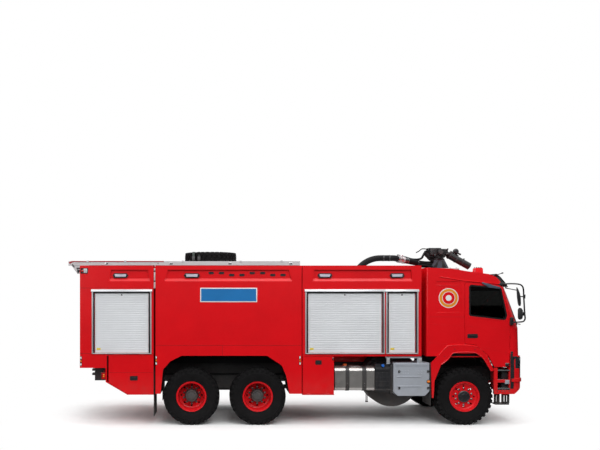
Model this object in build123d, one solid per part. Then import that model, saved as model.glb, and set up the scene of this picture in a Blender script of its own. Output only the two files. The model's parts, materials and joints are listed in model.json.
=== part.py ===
from build123d import *
from math import acos, atan2, cos, hypot, sin, tan
import os

# Airport fire truck: a six-wheel drive chassis with a two-row cab, three body modules and a roof monitor.
# Millimetres. +X is the truck's front, +Y its left side, +Z up. The origin is on the ground, in the middle.

os.makedirs("parts", exist_ok=True)

# Clearances
RUNNING_GAP = 0.3
PANEL_GAP = 6.0
HINGE_ROOM = 2.0

# Overall reach
FRONT_END_X = 4622.0
REAR_END_X = -4622.0

# Wheels and tyres
TYRE_RADIUS = 575.0
TYRE_WIDTH = 380.0
SIDEWALL_RADIUS = 440.0
SHOULDER_DROP = 45.0
SHOULDER_LEAN = 8.0
TREAD_ROUND = 34.0
BEAD_GAP = 1.0
BEAD_STEP = 3.0
WHEEL_FACE_Y = 1255.0
WHEEL_Y = WHEEL_FACE_Y - TYRE_WIDTH / 2
FRONT_AXLE_X = 3414.0
FORE_BOGIE_X = -785.0
BOGIE_SPACING = 1350.0
AFT_BOGIE_X = FORE_BOGIE_X - BOGIE_SPACING
RIM_FLANGE_RADIUS = 305.0
RIM_SEAT_RADIUS = 290.0
RIM_WELL_RADIUS = 274.0
RIM_HALF_WIDTH = 165.0
RIM_WALL = 13.0
WELL_HALF_WIDTH = 70.0
HUB_RADIUS = 118.0
SPINDLE_RADIUS = 45.0
FRONT_DISC_OUT = 112.0
REAR_DISC_OUT = -58.0
DISC_THICKNESS = 14.0
HAND_HOLE_RADIUS = 20.0
HAND_HOLE_CIRCLE = 209.0
HAND_HOLES = 8
FRONT_HUB_IN = 60.0
FRONT_HUB_OUT = 152.0
REAR_HUB_IN = -148.0
REAR_HUB_OUT = 78.0
HUB_CAP = 24.0

# Steering
KINGPIN_OFFSET = 70.0
KINGPIN_Y = WHEEL_Y - KINGPIN_OFFSET
KINGPIN_RADIUS = 25.0
KINGPIN_BOSS_RADIUS = 52.0
KINGPIN_BOSS_HALF = 78.0
YOKE_GAP = 2.0
YOKE_EAR = 40.0
KNUCKLE_HALF = 48.0
KNUCKLE_PLATE = 22.0
KNUCKLE_PLATE_GAP = 10.0
BRAKE_DRUM_RADIUS = 205.0

# Axles
FRONT_BEAM_HALF = (60.0, 58.0)
FRONT_CASE_WIDTH = 170.0
FRONT_NOSE = (120.0, 360.0)
REAR_TUBE_RADIUS = 88.0
REAR_CASE_WIDTH = 190.0
REAR_NOSE = (140.0, 420.0)
REAR_DRUM = (200.0, 100.0)
REAR_DRUM_SETBACK = 60.0

# Chassis frame
RAIL_OUTER_Y = 425.0
RAIL_FLANGE = 80.0
RAIL_WALL = 10.0
RAIL_BOTTOM_Z = 800.0
RAIL_TOP_Z = 1100.0
SUBFRAME_TOP_Z = 1200.0
RAIL_REAR_X = -4250.0
CROSSMEMBER_LENGTH = 90.0
RADIATOR_SEAT_Z = 900.0
# Crossmembers, as (x, bottom z, top z), from the rear
CROSSMEMBERS = (
    (RAIL_REAR_X + CROSSMEMBER_LENGTH / 2, RAIL_BOTTOM_Z + RAIL_WALL, RAIL_TOP_Z - RAIL_WALL),
    (-3050.0, 880.0, 1060.0),
    ((FORE_BOGIE_X + AFT_BOGIE_X) / 2, 880.0, 1060.0),
    (250.0, 880.0, 1060.0),
    (1250.0, 880.0, 1060.0),
    (2350.0, 880.0, 1060.0),
    (4230.0, RADIATOR_SEAT_Z - 60, RADIATOR_SEAT_Z),
)
BEARER_SETBACK = 20.0
BEARER_LENGTH = 100.0
BEARER_DEPTH = 90.0
BEARER_HALF_WIDTH = 620.0
JAW_SETBACK = 10.0
JAW_HALF_WIDTH = 75.0
JAW_Z = (870.0, 1010.0)
JAW_SLOT = 50.0
JAW_BACK = 20.0
JAW_BORE_SETBACK = 50.0

# Drive line
FRONT_CASE_RADIUS = 185.0
REAR_CASE_RADIUS = 205.0
TRANSFER_X = (1020.0, 1480.0)
TRANSFER_Z = (560.0, 880.0)
TRANSFER_HALF_WIDTH = 230.0
FRONT_OUTPUT_Z = 650.0
REAR_OUTPUT_Z = 700.0
HOUSING_X = 2030.0
HOUSING_Z = 893.0
HOUSING_RADIUS = 580.0
HOUSING_TOP_Z = 1340.0

# Body modules
BODY_HALF_WIDTH = 1275.0
BODY_TOP_Z = 3238.0
BODY_WALL = 35.0
ROOF_RECESS_HALF_WIDTH = 1180.0
ROOF_RECESS_DEPTH = 50.0
DECK_PLATE = 6.0
DECK_EDGE = 4.0
LADDER_CASE_FRONT_X = 68.0
LADDER_CASE_Y = (5.0, 90.0)
LADDER_CASE_HEIGHT = 88.0
CASE_BRACKET_X = (-4560.0, -4440.0)
CASE_BRACKET_DROP = 170.0
SPARE_X = -1760.0
SPARE_Y = 100.0
SPARE_HUB_SHORT = 60.0
SPARE_HUB_PROUD = 30.0
LADDER_STAND_OFF = 110.0
LADDER_INSET = (155.0, 515.0)
LADDER_FOOT_Z = 1250.0
LADDER_TOP_GAP = 40.0
LADDER_RAIL_RADIUS = 17.0
RUNG_RADIUS = 14.0
RUNGS = 7
RUNG_PITCH = 290.0
FIRST_RUNG_Z = 1300.0
LADDER_STAY_Z = (1400.0, 2900.0)
REAR_BODY_X = (-4388.0, -2896.0)
TANK_BODY_X = (-2858.0, 103.0)
FRONT_BODY_X = (117.0, 2526.0)
REAR_BODY_BOTTOM_Z = 1164.0
FRONT_BODY_BOTTOM_Z = 1401.0
SKIRT_BOTTOM_Z = 640.0
LOCKER_BOTTOM_Z = 617.0
LOCKER_DEPTH = 560.0
LOCKER_WALL = 25.0
FRONT_LOCKER_X = (117.0, 759.0)
REAR_LOCKER_X = (-3868.0, -2896.0)
REAR_LOCKER_TOP_Z = 1438.0
REAR_LOCKER_SLANT_X = -3419.0
REAR_LOCKER_SLANT_Z = 880.0
FLAP_THICKNESS = 30.0
BAND_DEPTH = 30.0
BAND_Z = (2920.0, 3150.0)
BAND_LEDGE = 55.0
# Recess bands under the roof edge, as (x from, x to, slant of the ends)
REAR_BAND = (-3800.0, -2970.0, 45.0)
TANK_BAND = (-2670.0, -95.0, 60.0)
FRONT_BAND = (330.0, 2344.0, 25.0)
SCENE_LIGHT_Z = (2992.0, 3082.0)
SCENE_LIGHT_INSET = 6.0
SCENE_LIGHT_X = ((-3706.0, -3432.0), (-2263.0, -1981.0), (445.0, 706.0), (1909.0, 2168.0))
CORNER_LAMP_X = (16.0, 163.0)
CORNER_LAMP_Z = (3075.0, 3185.0)
CORNER_LAMP_DEPTH = 40.0
CORNER_LAMP_PROUD = 5.0
CORNER_LAMP_GAP = 2.0
TAIL_LAMP_INSET = 25.0
TAIL_LAMP_DEPTH = 85.0
TAIL_LAMP_WIDTH = 390.0
TAIL_LAMP_Z = (920.0, 1083.0)

FLAP_HINGE_RADIUS = 7.0
FLAP_HINGE_OUT = 4.0
FLAP_HINGE_LENGTH = 90.0
FRONT_FLAP_LIP = 14.0
FRONT_FLAP_HINGES = (260.0, 616.0)
REAR_FLAP_HINGES = (-3646.0, -3122.0)

# Shutters
SHUTTER_TOP_Z = 2700.0
SHUTTER_SILL_Z = 1470.0
SHUTTER_FRAME = 52.0
CURTAIN_THICKNESS = 14.0
CURTAIN_SET_BACK = 18.0
SLAT_PITCH = 50.0
SLAT_GROOVE = 3.0
SLAT_GROOVE_HALF = 4.0
SHUTTER_FRAME_PROUD = 8.0
SHUTTER_FRAME_FOOT = 22.0
REAR_SHUTTER_HALF_WIDTH = 700.0
REAR_SHUTTER_DEPTH = 190.0

# Arch over the two rear wheels, as corners (x, z, corner radius)
ARCH_CORNERS = (
    (-2765.0, 560.0, 0.0),
    (-2705.0, 1131.0, 60.0),
    (-2560.0, 1297.0, 80.0),
    (-2330.0, 1411.0, 80.0),
    (-600.0, 1411.0, 80.0),
    (-300.0, 1214.0, 120.0),
    (-215.0, 1010.0, 80.0),
    (-130.0, 560.0, 0.0),
)
ARCH_INNER_Y = 640.0

# Cab
CAB_HALF_WIDTH = 1245.0
CAB_REAR_X = 2637.0
CAB_FLOOR_Z = 1400.0
CAB_FLOOR_THICKNESS = 60.0
CAB_WALL = 50.0
CAB_SKIN_BOTTOM_Z = 1172.0
CAB_REAR_ROUND = 45.0
# Plan sections of the cab, as (z, front x, front corner radius)
CAB_SECTIONS = (
    (CAB_SKIN_BOTTOM_Z, 4565.0, 170.0),
    (1973.0, 4545.0, 170.0),
    (2773.0, 4250.0, 110.0),
    (3300.0, 4045.0, 90.0),
)
# Roof line of the cab, from the rear to the front, as (x, z)
CAB_ROOF = (
    (2637.0, 3198.0),
    (3161.0, 3176.0),
    (3483.0, 3121.0),
    (3900.0, 3068.0),
    (4060.0, 3000.0),
    (4230.0, 2820.0),
)
ROOF_THICKNESS = 50.0
WINDSCREEN_HALF_WIDTH = 1125.0
WINDSCREEN_BOTTOM_Z = 2015.0
WINDSCREEN_TOP_Z = 2745.0
WINDSCREEN_ROUND = 60.0
GLASS_THICKNESS = 8.0
TUNNEL_FRONT_X = 4330.0
TUNNEL_HALF_WIDTH = 400.0
TUNNEL_TOP_Z = 1610.0
SIDE_RECESS_X = (2826.0, 3338.0)
SIDE_RECESS_Z = (2272.0, 2916.0)
SIDE_RECESS_ROUND = 30.0
SIDE_RECESS_DEPTH = 8.0

# Door outline and its window, as corners (x, z, corner radius)
DOOR_CORNERS = (
    (3418.0, 1655.0, 20.0),
    (3640.0, 1632.0, 60.0),
    (3885.0, 1425.0, 60.0),
    (4012.0, 1182.0, 20.0),
    (4318.0, 1182.0, 25.0),
    (4330.0, 1975.0, 60.0),
    (4296.0, 2277.0, 80.0),
    (4186.0, 2836.0, 50.0),
    (3418.0, 2905.0, 45.0),
)
DOOR_WINDOW = (
    (3505.0, 2222.0, 40.0),
    (4236.0, 2135.0, 50.0),
    (4270.0, 2228.0, 40.0),
    (4146.0, 2786.0, 40.0),
    (3505.0, 2850.0, 50.0),
)
DOOR_HINGE_X = 4332.0
DOOR_HINGE_Y = CAB_HALF_WIDTH + 1.0
DOOR_HINGE_RADIUS = 12.0
DOOR_HINGE_HEIGHTS = (1500.0, 1850.0)
GLASS_SET_BACK = 16.0
SEAT_ROWS = (3560.0, 2900.0)
SEAT_Y = 700.0
SEAT_HALF_WIDTH = 230.0
SEAT_BASE = 260.0
SEAT_HEIGHT = 400.0
SEAT_BACK_HEIGHT = 1020.0
DASH_HALF_WIDTH = CAB_HALF_WIDTH - CAB_WALL - 45.0
DASH_FRONT_X = 4490.0
STEERING_COLUMN_RADIUS = 32.0
STEERING_WHEEL_AT = (4075.0, 640.0, 2010.0)
STEERING_COLUMN_FOOT = (4300.0, 640.0, 1830.0)
STEERING_WHEEL_RADIUS = 215.0
STEERING_GRIP = 16.0
VISOR_HALF_WIDTH = CAB_HALF_WIDTH - 115.0
VISOR_ARM_HALF = 15.0
# Side outlines of the visor's blade and of an arm, as (x, z)
VISOR_BLADE = ((4105.0, 3068.0), (4345.0, 2805.0), (4353.0, 2811.0), (4113.0, 3076.0))
VISOR_ARM = ((4060.0, 3000.3), (4122.0, 3064.0), (4112.0, 3070.0), (4046.0, 3020.0))
MIRROR_REACH = 170.0
MIRROR_LEAN = 110.0
MIRROR_TUBE_RADIUS = 13.0
MIRROR_FOOT_RADIUS = 30.0
MIRROR_FOOT_DROP = 20.0
# Mirror heads, as (bottom z, top z, front x, depth)
MIRROR_HEADS = ((2420.0, 2800.0, 4465.0, 60.0), (2150.0, 2385.0, 4490.0, 70.0))
MIRROR_HEAD_ROUND = 24.0
MIRROR_ARM_X = 4555.0
MIRROR_HEAD_INNER = 90.0
MIRROR_HEAD_OUTER = 110.0

# Arch trim round the front wheel with the mudguard behind it, as corners (x, z, corner radius)
FENDER_CORNERS = (
    (2739.0, 557.0, 0.0),
    (2718.0, 1262.0, 40.0),
    (2836.0, 1382.0, 60.0),
    (3070.0, 1625.0, 110.0),
    (3645.0, 1605.0, 110.0),
    (3866.0, 1409.0, 90.0),
    (3991.0, 1115.0, 0.0),
    (3939.0, 1093.0, 0.0),
    (3793.0, 1336.0, 70.0),
    (3640.0, 1462.0, 80.0),
    (3170.0, 1462.0, 80.0),
    (3060.0, 1336.0, 70.0),
    (2925.0, 1230.0, 70.0),
    (2790.0, 900.0, 60.0),
    (2772.0, 557.0, 0.0),
)
# Notch for that arch in the cab's side
CAB_ARCH_CORNERS = (
    (3060.0, 1336.0, 0.0), (3170.0, 1462.0, 60.0), (3640.0, 1462.0, 60.0), (3793.0, 1336.0, 0.0),
)
FENDER_PROUD = 30.0
LINER_INNER_Y = 760.0
# Liner over the front wheel, under the cab floor: its outer line, then its inner line back, as (x, z)
LINER_LINE = (
    (2786.0, 900.0), (2905.0, 1225.0), (3060.0, 1396.0), (3790.0, 1396.0), (3930.0, 1250.0), (3975.0, 1112.0),
    (3960.0, 1108.0), (3916.0, 1243.0), (3784.0, 1382.0), (3066.0, 1382.0), (2918.0, 1219.0), (2800.0, 896.0),
)

# Bumper and steps
BUMPER_FRONT_X = 4600.0
BUMPER_REAR_X = 4008.0
BUMPER_BOTTOM_Z = 631.0
BUMPER_TOP_Z = 1400.0
BUMPER_WALL = 55.0
BUMPER_ROUND = 180.0
# Sloping lower front of the bumper: where it meets the bottom, and where it meets the front
BUMPER_SLOPE_X = 4420.0
BUMPER_SLOPE_Z = 770.0
LIP_BOTTOM_Z = 880.0
LIP_TOP_Z = 947.0
STEP_BAY_X = (4078.0, 4318.0)
STEP_BAY_Z = (719.0, 1164.0)
STEP_BAY_INNER_Y = 960.0
STEP_SHELF_Z = (866.0, 921.0)
STEP_WALL = 20.0
HANGING_STEP_Z = 405.0
HANGING_STEP_INNER_Y = 1040.0
HANGING_TREAD = 24.0
STRAP_WIDTH = 40.0
BAY_FRONT_EDGE = 18.0
CUT_OVER = 5.0
LIP_REAR_X = 4360.0
LAMP_REAR_X = 4440.0
LAMP_INNER_Y = CAB_HALF_WIDTH - 525.0
LAMP_Z = (1150.0, 1385.0)
GRILLE_HALF_WIDTH = LAMP_INNER_Y - 100.0
GRILLE_Z = (980.0, 1370.0)
GRILLE_ROUND = 30.0
GRILLE_BORDER = 28.0
GRILLE_BACK = 45.0
GRILLE_SET_BACK = 15.0
GRILLE_SLATS = 5
GRILLE_SLAT = 26.0
LAMP_SET_BACK = 10.0
LAMP_DEPTH = 60.0
FLAP_RUBBER = 12.0
REAR_FLAP_INSET = (25.0, 560.0)
REAR_FLAP_Z = (180.0, REAR_BODY_BOTTOM_Z)
FRONT_FLAP_PROUD = 17.0
FRONT_FLAP_Z = (400.0, 1262.0)
TOW_BORE_RADIUS = 20.0
TOW_LUG_X = 4440.0
TOW_PLATE = 25.0
TOW_LUG_Z = (695.0, 795.0)
TOW_LUG_HALF = 50.0
TOW_PLATE_HALF = 150.0
TOW_SLOT_HALF = 110.0
TOW_SLOT_TOP_Z = 820.0
TOW_BORE_SETBACK = 42.0

# Tanks and boxes between the axles
FUEL_TANK_X = (785.0, 1579.0)
FUEL_TANK_Z = (694.0, 1178.0)
UREA_TANK_X = (1595.0, 1909.0)
UREA_TANK_Z = (678.0, 1240.0)
SIDE_BOX_X = (1965.0, 2690.0)
SIDE_BOX_Z = (597.0, 1265.0)
SIDE_BOX_CHAMFER = 90.0
TANK_INNER_Y = RAIL_OUTER_Y
TANK_OUTER_Y = BODY_HALF_WIDTH - 40.0
RIGHT_TANK_INNER_Y = TANK_OUTER_Y - 385.0
TANK_ARMS = ((860.0, 940.0), (1260.0, 1340.0))
TANK_ARM_Z = (860.0, 960.0)
TANK_ROUND = 90.0
AIR_TANK_X = (820.0, 1880.0)
AIR_TANK_HEIGHTS = (820.0, 1090.0)
BATTERY_BOX_Z = (650.0, 1250.0)
AIR_TANK_RADIUS = 128.0

# Monitor on the cab roof
MONITOR_X = 3290.0
MONITOR_PIVOT_X = 3420.0
MONITOR_PIVOT_Z = 3590.0
MONITOR_BASE_TOP_Z = 3420.0
BARREL_SLOPE = 29.0
BARREL_LENGTH = 650.0
BARREL_RADIUS = 78.0
BARREL_NECK_RADIUS = 56.0
BARREL_NECK = 85.0
BARREL_FLARE = 115.0
BARREL_BORE_RADIUS = 60.0
BARREL_BORE_DEPTH = 90.0
BARREL_LIP = 30.0
CHEEK_INNER_Y = 72.0
CHEEK_OUTER_Y = 100.0
MONITOR_TOP_Z = 3680.0
SWIVEL_RADIUS = 115.0
SWIVEL_HEIGHT = 90.0
COLUMN_HALF_WIDTH = 110.0
COLUMN_FOOT_Z = 3220.0
MONITOR_PLATE_HALF_WIDTH = 330.0
# Side outline of the monitor's plate before the cab roof is cut out of it, as (x, z)
MONITOR_PLATE = ((2930.0, 3172.0), (3640.0, 3095.0), (3640.0, 3225.0), (2930.0, 3225.0))
PIPE_RADIUS = 64.0
HOSE_Y = -520.0
HOSE_Z = 3430.0
HOSE_BEND_RADIUS = 600.0
HOSE_BEND_X = 1880.0
HOSE_FILLET = 150.0
# Rest of the hose's middle line from the bend to the monitor's column, as (x, y, z)
HOSE_RUN = ((2180.0, HOSE_Y, HOSE_Z), (2860.0, -110.0, 3335.0), (3000.0, -40.0, 3325.0), (3200.0, -40.0, 3325.0))
# Warning light on the cab roof's front corner: side outline as (x, z, corner radius), and its sides' inset
BEACON_OUTLINE = ((3725.0, 3060.0, 0.0), (3890.0, 3060.0, 0.0), (3880.0, 3205.0, 30.0), (3735.0, 3205.0, 30.0))
BEACON_INSET = (245.0, 405.0)


def arc_outline(corners):
    """Closed face from (x, y, radius) corners, with a tangent arc in each corner that has a radius."""
    count = len(corners)
    runs = []
    for i, (x, y, r) in enumerate(corners):
        px, py = corners[i - 1][:2]
        nx, ny = corners[(i + 1) % count][:2]
        if r == 0:
            runs.append(((x, y), None, (x, y)))
            continue
        ax, ay = px - x, py - y
        bx, by = nx - x, ny - y
        la, lb = hypot(ax, ay), hypot(bx, by)
        ax, ay, bx, by = ax / la, ay / la, bx / lb, by / lb
        half = atan2(abs(ax * by - ay * bx), ax * bx + ay * by) / 2
        reach = r / tan(half)
        mx, my = ax + bx, ay + by
        lm = hypot(mx, my)
        centre = r / sin(half)
        middle = (x + mx / lm * (centre - r), y + my / lm * (centre - r))
        runs.append(((x + ax * reach, y + ay * reach), middle, (x + bx * reach, y + by * reach)))
    edges = []
    for i, (start, middle, end) in enumerate(runs):
        if middle:
            edges.append(ThreePointArc(start, middle, end))
        edges.append(Line(end, runs[(i + 1) % count][0]))
    return make_face(Curve() + edges)


def box(x, y, z):
    """Block between two x, two y and two z values."""
    size = (abs(x[1] - x[0]), abs(y[1] - y[0]), abs(z[1] - z[0]))
    return Pos((x[0] + x[1]) / 2, (y[0] + y[1]) / 2, (z[0] + z[1]) / 2) * Box(*size)


def side_prism(face, y0, y1):
    """Extrudes an (x, z) face across the truck from the lower y to the higher."""
    low, high = min(y0, y1), max(y0, y1)
    return Pos(0, high, 0) * extrude(Plane.XZ * face, amount=high - low)


def plan_prism(face, z0, z1):
    """Extrudes an (x, y) face upwards from z0 to z1."""
    return Pos(0, 0, z0) * extrude(face, amount=z1 - z0)


def cross_prism(face, x0, x1):
    """Extrudes a (y, z) face along the truck from x0 to x1."""
    return Pos(x0, 0, 0) * extrude(Plane.YZ * face, amount=x1 - x0)


def polygon(points):
    """Face with straight sides."""
    return make_face(Polyline(*points, close=True))


def rod(start, end, radius):
    """Round bar between two points."""
    a, b = Vector(*start), Vector(*end)
    return Plane(origin=a, z_dir=(b - a)) * Cylinder(radius, (b - a).length, align=(Align.CENTER, Align.CENTER, Align.MIN))


def turned(profile):
    """Revolves an (axial, radius) outline about the Y axis."""
    face = Plane.YZ * arc_outline(profile)
    return revolve(face, Axis.Y)


def other_side(shape):
    """Mirror image across the truck's middle plane."""
    return mirror(shape, about=Plane.XZ)


def both_sides(shape):
    """A piece on the left side with its mirror image on the right."""
    return list(shape.solids()) + list(other_side(shape).solids())


def hinge(centre, direction, radius, length):
    """Butt hinge along a line: fixed knuckles with the pin, room for them, moving knuckle, room for it, its bore."""
    c, d = Vector(*centre), Vector(*direction)
    room = radius + HINGE_ROOM
    third = length / 6

    def tube(start, end, r):
        return rod(tuple(c + d * start), tuple(c + d * end), r)

    pin = tube(-length / 2, length / 2, radius * 0.4)
    fixed = tube(-length / 2, -third, radius) + tube(third, length / 2, radius) + pin
    fixed_room = tube(-length / 2 - HINGE_ROOM, -third + RUNNING_GAP, room) + tube(third - RUNNING_GAP, length / 2 + HINGE_ROOM, room)
    bore = tube(-third, third, radius * 0.4 + RUNNING_GAP)
    moving = tube(-third + RUNNING_GAP, third - RUNNING_GAP, radius)
    moving_room = tube(-third, third, room)
    return fixed, fixed_room, moving, moving_room, bore


def add_moving_knuckles(leaf, hinges):
    """Gives a door or flap its own hinge knuckles, with room for the fixed ones."""
    for fixed, fixed_room, moving, moving_room, bore in hinges:
        leaf = leaf - fixed_room + moving - bore
    return leaf


def add_fixed_knuckles(shell, hinges):
    """Gives both sides of a shell the fixed hinge knuckles, with room for the moving ones."""
    for fixed, fixed_room, moving, moving_room, bore in hinges:
        shell = shell - moving_room - other_side(moving_room) + fixed + other_side(fixed)
    return shell


def save(name, shape):
    """Writes one node's solids."""
    solids = []
    for item in shape if isinstance(shape, list) else [shape]:
        solids += list(item.solids())
    export_step(solids[0] if len(solids) == 1 else Compound(children=solids), f"parts/{name}.step")


# Wheels. Profiles are (outboard, radius, corner radius), measured from the tyre's middle.
def tyre():
    """Wide single tyre, as one closed ring seated on the rim."""
    half = TYRE_WIDTH / 2
    bead = RIM_HALF_WIDTH - RIM_WALL - BEAD_GAP
    seat = RIM_SEAT_RADIUS + BEAD_GAP
    well = RIM_WELL_RADIUS + BEAD_GAP
    heel = RIM_FLANGE_RADIUS + BEAD_STEP
    crown = TYRE_RADIUS
    shoulder = crown - SHOULDER_DROP
    edge = half - SHOULDER_LEAN
    tread = half - TREAD_ROUND
    return turned((
        (-bead, seat, 0), (-bead, heel, 0), (-half, SIDEWALL_RADIUS, 0), (-edge, shoulder, 0), (-tread, crown, 0),
        (tread, crown, 0), (edge, shoulder, 0), (half, SIDEWALL_RADIUS, 0), (bead, heel, 0), (bead, seat, 0),
        (WELL_HALF_WIDTH, well, 0), (-WELL_HALF_WIDTH, well, 0),
    ))


def rim(disc_out, hub_in, hub_out):
    """Disc wheel with its hub: barrel, well, flanges, disc and blind spindle bore."""
    edge = RIM_HALF_WIDTH
    flange = RIM_FLANGE_RADIUS
    seat = RIM_SEAT_RADIUS
    well = RIM_WELL_RADIUS
    inside = well - RIM_WALL
    disc_in = disc_out - DISC_THICKNESS
    bore = SPINDLE_RADIUS + RUNNING_GAP
    body = turned((
        (edge, flange, 0), (edge - RIM_WALL, flange, 0), (edge - RIM_WALL, seat, 0), (WELL_HALF_WIDTH, well, 0),
        (-WELL_HALF_WIDTH, well, 0), (-edge + RIM_WALL, seat, 0), (-edge + RIM_WALL, flange, 0), (-edge, flange, 0),
        (-edge, seat - RIM_WALL, 0), (min(-WELL_HALF_WIDTH, disc_in - 16), inside, 0), (disc_in - 10, inside, 0),
        (disc_in, inside - 22, 0),
        (disc_in, HUB_RADIUS, 0), (hub_in, HUB_RADIUS, 0), (hub_in, bore, 0), (hub_out - HUB_CAP, bore, 0),
        (hub_out - HUB_CAP, 0, 0), (hub_out, 0, 0), (hub_out, HUB_RADIUS - 30, 0), (hub_out - 18, HUB_RADIUS - 6, 0),
        (disc_out, HUB_RADIUS, 0), (disc_out, inside - 22, 0), (disc_out + 10, inside, 0),
        (max(disc_out + 14, WELL_HALF_WIDTH), inside + 1, 0), (edge, seat - RIM_WALL, 0),
    ))
    for i in range(HAND_HOLES):
        angle = 360.0 / HAND_HOLES * i
        hole = Rot(0, angle, 0) * Pos(0, disc_out, HAND_HOLE_CIRCLE) * Rot(90, 0, 0) * Cylinder(HAND_HOLE_RADIUS, 60)
        body -= hole
    return body


# Each wheel by (name, x, side, steered)
WHEELS = (
    ("front_right", FRONT_AXLE_X, -1, True),
    ("front_left", FRONT_AXLE_X, 1, True),
    ("fore_bogie_right", FORE_BOGIE_X, -1, False),
    ("fore_bogie_left", FORE_BOGIE_X, 1, False),
    ("aft_bogie_right", AFT_BOGIE_X, -1, False),
    ("aft_bogie_left", AFT_BOGIE_X, 1, False),
)


def make_wheels():
    """Writes a tyre and a rim for each wheel."""
    ring = tyre()
    front_rim = rim(FRONT_DISC_OUT, FRONT_HUB_IN, FRONT_HUB_OUT)
    rear_rim = rim(REAR_DISC_OUT, REAR_HUB_IN, REAR_HUB_OUT)
    for name, x, side, steered in WHEELS:
        disc = front_rim if steered else rear_rim
        if side < 0:
            disc = other_side(disc)
        place = Pos(x, side * WHEEL_Y, TYRE_RADIUS)
        save(f"tyre_{name}", place * ring)
        save(f"rim_{name}", place * disc)


def knuckle(side):
    """Steering knuckle: two ears on the kingpin, a back plate with the brake drum, and the spindle."""
    inner = KINGPIN_BOSS_HALF + YOKE_GAP
    outer = inner + YOKE_EAR
    half = KNUCKLE_HALF
    plate_y = KINGPIN_Y + KINGPIN_BOSS_RADIUS + KNUCKLE_PLATE_GAP
    face_y = plate_y + KNUCKLE_PLATE
    drum_end = WHEEL_Y + FRONT_HUB_IN - RUNNING_GAP
    body = box((-half, half), (plate_y, face_y), (-outer, outer))
    for low, high in ((inner, outer), (-outer, -inner)):
        ear = box((-half, half), (KINGPIN_Y, face_y), (low, high))
        ear += Pos(0, KINGPIN_Y, (low + high) / 2) * Cylinder(half, high - low)
        ear -= Pos(0, KINGPIN_Y, (low + high) / 2) * Cylinder(KINGPIN_RADIUS + RUNNING_GAP, high - low + CUT_OVER)
        body += ear
    body += rod((0, face_y, 0), (0, drum_end, 0), BRAKE_DRUM_RADIUS)
    body += rod((0, drum_end, 0), (0, WHEEL_Y + FRONT_HUB_OUT - HUB_CAP - RUNNING_GAP, 0), SPINDLE_RADIUS)
    body = Pos(FRONT_AXLE_X, 0, TYRE_RADIUS) * body
    return body if side > 0 else other_side(body)


def axles():
    """Front driving axle with its kingpins and the two bogie axles with their spindles.

    FRONT_BEAM_HALF is (along, up); each NOSE and DRUM is (radius, width).
    """
    z = TYRE_RADIUS
    deep, high = FRONT_BEAM_HALF
    front = box((-deep, deep), (-KINGPIN_Y, KINGPIN_Y), (-high, high))
    front += Rot(90, 0, 0) * Cylinder(FRONT_CASE_RADIUS, FRONT_CASE_WIDTH)
    front += Rot(90, 0, 0) * Cylinder(*FRONT_NOSE)
    for side in (-1, 1):
        front += Pos(0, side * KINGPIN_Y, 0) * Cylinder(KINGPIN_BOSS_RADIUS, 2 * KINGPIN_BOSS_HALF)
        pin_half = KINGPIN_BOSS_HALF + YOKE_GAP + YOKE_EAR
        front += Pos(0, side * KINGPIN_Y, 0) * Cylinder(KINGPIN_RADIUS, 2 * pin_half)
    tube_end = WHEEL_Y + REAR_HUB_IN - RUNNING_GAP
    spindle_end = WHEEL_Y + REAR_HUB_OUT - HUB_CAP - RUNNING_GAP
    rear = Rot(90, 0, 0) * Cylinder(REAR_TUBE_RADIUS, 2 * tube_end)
    rear += Rot(90, 0, 0) * Cylinder(SPINDLE_RADIUS, 2 * spindle_end)
    rear += Rot(90, 0, 0) * Cylinder(REAR_CASE_RADIUS, REAR_CASE_WIDTH)
    rear += Rot(90, 0, 0) * Cylinder(*REAR_NOSE)
    for side in (-1, 1):
        rear += Pos(0, side * (tube_end - REAR_DRUM_SETBACK), 0) * Rot(90, 0, 0) * Cylinder(*REAR_DRUM)
    return [Pos(FRONT_AXLE_X, 0, z) * front, Pos(FORE_BOGIE_X, 0, z) * rear, Pos(AFT_BOGIE_X, 0, z) * rear]


def chassis_frame():
    """Two channel rails with the subframe on them, crossmembers, the cab's rear bearer and the rear tow jaw."""
    inner = RAIL_OUTER_Y - RAIL_FLANGE
    web = RAIL_OUTER_Y - RAIL_WALL
    channel = (
        (RAIL_OUTER_Y, RAIL_BOTTOM_Z), (RAIL_OUTER_Y, RAIL_TOP_Z), (inner, RAIL_TOP_Z), (inner, RAIL_TOP_Z - RAIL_WALL),
        (web, RAIL_TOP_Z - RAIL_WALL), (web, RAIL_BOTTOM_Z + RAIL_WALL), (inner, RAIL_BOTTOM_Z + RAIL_WALL),
        (inner, RAIL_BOTTOM_Z),
    )
    rail = cross_prism(polygon(channel), RAIL_REAR_X, BUMPER_FRONT_X - BUMPER_WALL)
    rail += box((RAIL_REAR_X, FRONT_BODY_X[1]), (inner, RAIL_OUTER_Y), (RAIL_TOP_Z, SUBFRAME_TOP_Z))
    solids = both_sides(rail)
    half = CROSSMEMBER_LENGTH / 2
    reach = web - RUNNING_GAP
    for x, low, high in CROSSMEMBERS:
        solids.append(box((x - half, x + half), (-reach, reach), (low, high)))
    bearer_x = (CAB_REAR_X + BEARER_SETBACK, CAB_REAR_X + BEARER_SETBACK + BEARER_LENGTH)
    bearer = box(bearer_x, (-BEARER_HALF_WIDTH, BEARER_HALF_WIDTH), (CAB_FLOOR_Z - BEARER_DEPTH, CAB_FLOOR_Z))
    for y in ((inner, RAIL_OUTER_Y), (-RAIL_OUTER_Y, -inner)):
        bearer += box(bearer_x, y, (RAIL_TOP_Z + RUNNING_GAP, CAB_FLOOR_Z))
    solids.append(bearer)
    return solids + [tow_jaw()]


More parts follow.
